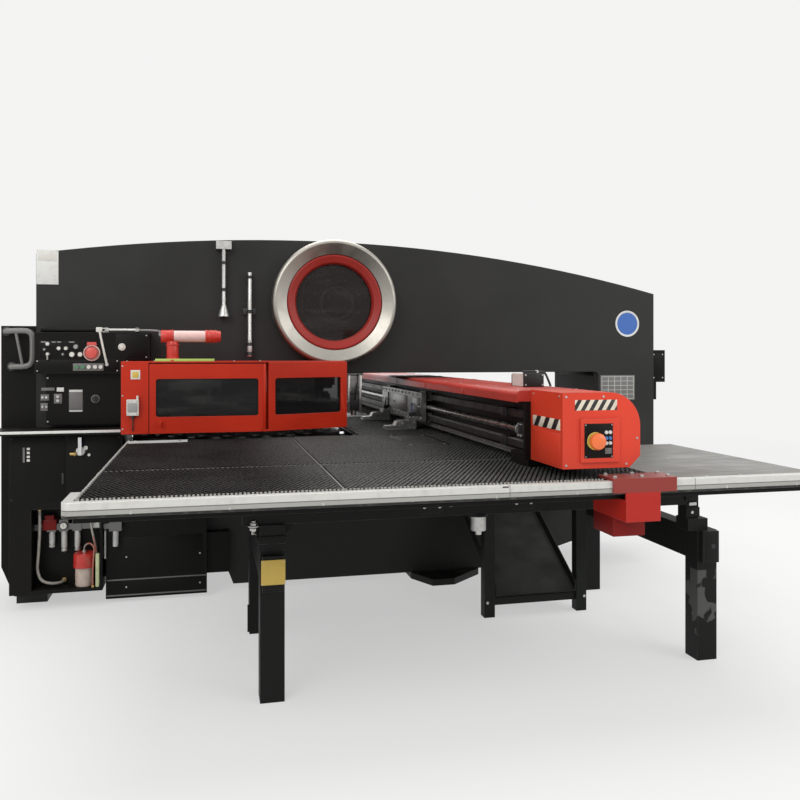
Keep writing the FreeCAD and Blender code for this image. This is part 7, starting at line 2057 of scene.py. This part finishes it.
@dataclass
class EndBoxes(Assembly):
    """The red boxes over the beam's ends, with the near switch face."""

    outer: float = 2.5
    face_out: float = 0.01
    stop_at: tuple[float, float] = (0.676, 1.094)

    def dress(self) -> None:
        """Finish the boxes, the brackets and the stop."""
        self.coat("box_red", "end_boxes", round_by=0.0022)
        self.coat("stop_orange", "near_stop")

    def build(self) -> None:
        """Make the stripes, the switch face and the trims."""
        self._stripes()
        self._switch_face()
        self._trims()

    def _stripes(self) -> None:
        """Make the striped films."""
        stripes = Shape().block((0.598, -self.outer - 0.0008, 1.21), (0.773, -self.outer, 1.25), 0.0002)
        self.make(stripes, "front_stripes", "small_stripes", body="table")
        side = Shape()
        for low, high in ((-2.478, -2.213), (2.213, 2.478)):
            side.block((0.5472, low, 1.133), (0.548, high, 1.175), 0.0002)
        self.make(side, "side_stripes", "side_stripes", body="table")

    def _switch_face(self) -> None:
        """Make the near box's switch panel and its stop's ring and head."""
        y = -self.outer - self.face_out
        panel = Shape().block((0.632, y - 0.0018, 1.029), (0.75, y, 1.16), 0.0006)
        for x, z in ((0.637, 1.034), (0.745, 1.034), (0.637, 1.155), (0.745, 1.155)):
            panel.screw((x, y - 0.0016, z), 0.0024, -0.0018, Axis.Y, 1)
        for x in (0.722, 0.738):
            for z, slot in ((1.126, 2), (1.104, 3), (1.085, 2)):
                panel.turned([(0, 0), (0.0072, 0), (0.0072, 0.003), (0.0055, 0.0055), (0, 0.0055)],
                             (x, y - 0.0016, z), Axis.Y, 20, slot, True)
        panel.block((0.717, y - 0.0026, 1.044), (0.744, y - 0.0015, 1.066), 0.0003, slot=4)
        self.make(
            panel, "end_switch_panel", "satin_black", "zinc", "key_white", "blue_cap", "plate_grey",
            body="table")
        stop_x, stop_z = self.stop_at
        ring = Shape().turned(
            [(0.0215, 0), (0.0335, 0), (0.034, 0.0012), (0.0325, 0.0026), (0.0215, 0.0026), (0.0215, 0)],
            (stop_x, y - 0.0016, stop_z), Axis.Y, 48, 0, True,
        )
        ring.turned([(0.0098, 0), (0.0205, 0), (0.0195, 0.0025), (0.0098, 0.0025), (0.0098, 0)],
                    (stop_x, y - 0.0016, stop_z), Axis.Y, 40, 1, True)
        self.make(ring, "end_stop_ring", "plate_yellow", "black_plastic", body="table")
        head = Shape().turned(
            [
                (0, 0.018), (0.0265, 0.018), (0.0315, 0.0215), (0.0325, 0.027), (0.029, 0.0345),
                (0.017, 0.039), (0, 0.04)],
            (stop_x, y, stop_z), Axis.Y, 44, 0, True)
        self.make(head, "end_stop_head", "stop_orange", body="near_stop")

    def _trims(self) -> None:
        """Make the boxes' screws, side panels and bracket blocks."""
        trims = Shape()
        for side in (-1, 1):
            out = side * self.outer
            for x, z in ((0.562, 1.262), (0.716, 1.262), (0.562, 1.002), (0.812, 1.002), (0.858, 1.1)):
                trims.screw((x, out - side * 0.0005, z), 0.0045, side * 0.0028, Axis.Y)
            for y in (2.22, 2.47):
                for z in (1.006, 1.11, 1.262):
                    trims.screw((0.5485, side * y, z), 0.0042, -0.003, Axis.X)
        self.make(trims, "end_box_screws", "zinc", body="table")
        panel = Shape()
        for side in (-1, 1):
            panel.side_block(side, (0.5455, 2.212, 0.996), (0.548, 2.482, 1.12))
        self.make(panel, "end_side_panels", "box_red", body="table")
        bracket = Shape()
        for side in (-1, 1):
            for x in (0.724, 0.835, 0.946):
                bracket.screw((x, side * 2.5, 0.9615), 0.0085, 0.008)
                bracket.screw((x, side * 2.575, 0.9615), 0.0085, 0.008)
            bracket.side_block(side, (0.757, 2.5, 0.722), (0.893, 2.335, 0.799), 0.003, slot=1)
        self.make(bracket, "bracket_screws", "zinc", "dark_red_paint", body="table")


@dataclass
class SupportStands(Assembly):
    """The stands under the side tables and their rollers."""

    post: float = -0.5
    rear_post: float = 1.507
    outer: float = 1.995

    def dress(self) -> None:
        """Finish the stands and the rollers."""
        self.coat("stand_black", "support_frames", round_by=0.0025)
        rollers = ("near_front_roller", "near_rear_roller", "far_front_roller", "far_rear_roller")
        self.coat("turned_steel", *rollers, round_by=0.0006)

    def build(self) -> None:
        """Make both sides' details, then those that only the near side has."""
        for side in (-1, 1):
            self._side(side)
        self._near_only()

    def _side(self, side: int) -> None:
        """Make one side's plates, gussets and bolts.

        Args:
            side: 1 for the far side, -1 for the near side.
        """
        name = "near" if side < 0 else "far"
        outer = side * self.outer
        ledge = outer + side * 0.0075
        fixed = Shape()
        low, high = sorted((outer + side * 0.006, outer))
        fixed.block((self.post - 0.056, low, 0.622), (self.post + 0.056, high, 0.682), 0.002)
        for x in (self.post - 0.038, self.post + 0.038):
            fixed.block((x - 0.014, min(outer, ledge), 0.65), (x + 0.014, max(outer, ledge), 0.657), 0.001)
        for slope in (-1, 1):
            at = self.post + slope * 0.049
            fixed.prism(
                [(at, 0.725), (at + slope * 0.055, 0.725), (at, 0.665)], Axis.Y, side * 1.951, side * 1.941,
                0.001)
        for post in (self.post, self.rear_post):
            fixed.side_block(side, (post - 0.036, 2.024, 0.47), (post + 0.036, 2.0265, 0.595))
        fixed.rod((self.rear_post + 0.012, side * 2.0262, 0.535), 0.01, side * 0.0008, Axis.Y, 0.0, 28, 2)
        for x in (0.18, 0.6, 1.02):
            fixed.side_block(side, (x - 0.05, 1.977, 0.738), (x + 0.05, 1.981, 0.8))
            for spot in (x - 0.034, x + 0.034):
                fixed.hexagon((spot, side * 1.981, 0.769), 0.0085, side * 0.007, Axis.Y, 1)
        self.make(fixed, f"{name}_stand_plates", "stand_black", "zinc", "black_plastic")

    def _near_only(self) -> None:
        """Make what only the near stands carry."""
        plate = Shape().block((-0.548, -2.0285, 0.49), (-0.4505, -2.026, 0.591), 0.0006)
        for x, z in ((-0.542, 0.496), (-0.4565, 0.496), (-0.542, 0.585), (-0.4565, 0.585)):
            plate.rod((x, -2.0285, z), 0.0024, -0.001, Axis.Y, 0.0002, 12, 1)
        self.make(plate, "yellow_plate", "plate_yellow", "zinc")
        bolts = Shape()
        bolts.turned([(0, 0), (0.024, 0), (0.024, 0.004), (0, 0.004)], (-0.575, -1.985, 0.7215), sides=28)
        bolts.rod((-0.575, -1.985, 0.7), 0.009, 0.045, sides=18)
        bolts.hexagon((-0.575, -1.985, 0.7255), 0.016, 0.014)
        bolts.hexagon((-0.575, -1.985, 0.705), 0.016, 0.012)
        bolts.hexagon((-0.55, -1.2, 0.605), 0.014, 0.012)
        bolts.hexagon((-0.55, -1.6, 0.605), 0.014, 0.012)
        bolts.hexagon((1.48, -1.6, 0.605), 0.014, 0.012)
        bolts.hexagon((0.266, -1.98, 0.775), 0.011, -0.008, Axis.Y)
        bolts.hexagon((0.215, -1.98, 0.775), 0.011, -0.008, Axis.Y)
        self.make(bolts, "stand_bolts", "zinc")
        hangers = Shape()
        hangers.rod((0.402, -1.945, 0.7255), 0.034, -0.0755, sides=28)
        hangers.rod((0.402, -1.945, 0.651), 0.014, -0.02, sides=20, slot=1)
        hangers.rod((0.402, -1.945, 0.7255), 0.043, -0.012, sides=28, slot=2)
        self.make(hangers, "rail_dampers", "zinc", "turned_steel", "stand_black")
        inner = Shape()
        y = -1.152
        inner.prism(
            [
                (-0.56, 0.012), (-0.52, 0.012), (-0.52, 0.045), (-0.53, 0.07), (-0.53, 0.1), (-0.52, 0.13),
                (-0.545, 0.15), (-0.56, 0.15)],
            Axis.Y, y, y + 0.006, 0.001)
        self.make(inner, "inner_post_bracket", "stand_black")
        head = Shape().block((1.405, -1.987, 0.668), (1.474, -1.979, 0.712), 0.002)
        head.block((1.418, -1.989, 0.721), (1.456, -1.979, 0.735), slot=1)
        head.block((1.4, -1.989, 0.745), (1.466, -1.979, 0.79), 0.002)
        head.hexagon((1.432, -1.987, 0.69), 0.008, -0.006, Axis.Y, 1)
        self.make(head, "rear_post_head", "stand_black", "zinc")


@dataclass
class ScrapChute(Assembly):
    """The slanted sheet that takes the slugs out, and its stand."""

    def dress(self) -> None:
        """Finish the chute and its stand."""
        self.coat("chute_grey", "scrap_chute", round_by=0.0012)

    def build(self) -> None:
        """Make the lip's ends and the stand's bolts."""
        lip = Shape()
        for x in (0.7605, 1.2235):
            lip.block((x, -1.188, 0.112), (x + 0.006, -1.16, 0.168))
        for x in (0.712, 1.278):
            for z in (0.082, 0.676):
                lip.hexagon((x, -1.19, z), 0.009, -0.007, Axis.Y, 1)
        self.make(lip, "chute_trims", "chute_grey", "zinc")


@dataclass
class TableDrive(Assembly):
    """The table's ballscrew and its motor."""

    axis: tuple[float, float] = (-0.45, 0.8)
    rib_radius: float = 0.0585
    rib_start: float = 1.556

    def dress(self) -> None:
        """Finish the screw and the motor."""
        self.coat("turned_steel", "travel_screw")
        self.coat("motor_black", "travel_motor", round_by=0.0015)

    def build(self) -> None:
        """Make the motor's ribs, its plug and the hangers' screws."""
        y, z = self.axis
        motor = Shape()
        for along, up in round_places(14, self.rib_radius, self.axis):
            if abs(up - z) < 0.98 * self.rib_radius:
                motor.rod((self.rib_start, along, up), 0.0035, 0.12, Axis.X, 0.0008, 8)
        motor.rod((1.7, y, z), 0.05, 0.012, Axis.X, sides=36)
        motor.block((1.62, y - 0.018, z + 0.052), (1.668, y + 0.018, z + 0.074), 0.003, slot=1)
        for x in (-0.532, 1.448):
            for along in (-0.478, -0.422):
                motor.screw((x, along, z + 0.036), 0.006, 0.005, slot=2)
        self.make(motor, "table_motor_details", "motor_black", "black_plastic", "zinc")


ASSEMBLIES = (
    BridgeFrame,
    DriveCover,
    Turrets,
    TurretGuard,
    OperatorEnd,
    AirUnit,
    SideTables,
    CarriageBeam,
    EndBoxes,
    SupportStands,
    ScrapChute,
    TableDrive,
)


def main() -> None:
    """Load the CAD parts, dress them, make the pieces and set the stage."""
    logging.basicConfig(level=logging.INFO, format="%(message)s")
    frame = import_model()
    palette = Palette()
    palette.build()
    for kind in ASSEMBLIES:
        assembly = kind(palette, frame["nodes"])
        assembly.dress()
        assembly.build()
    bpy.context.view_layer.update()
    Studio().build()


if __name__ == "__main__":
    main()
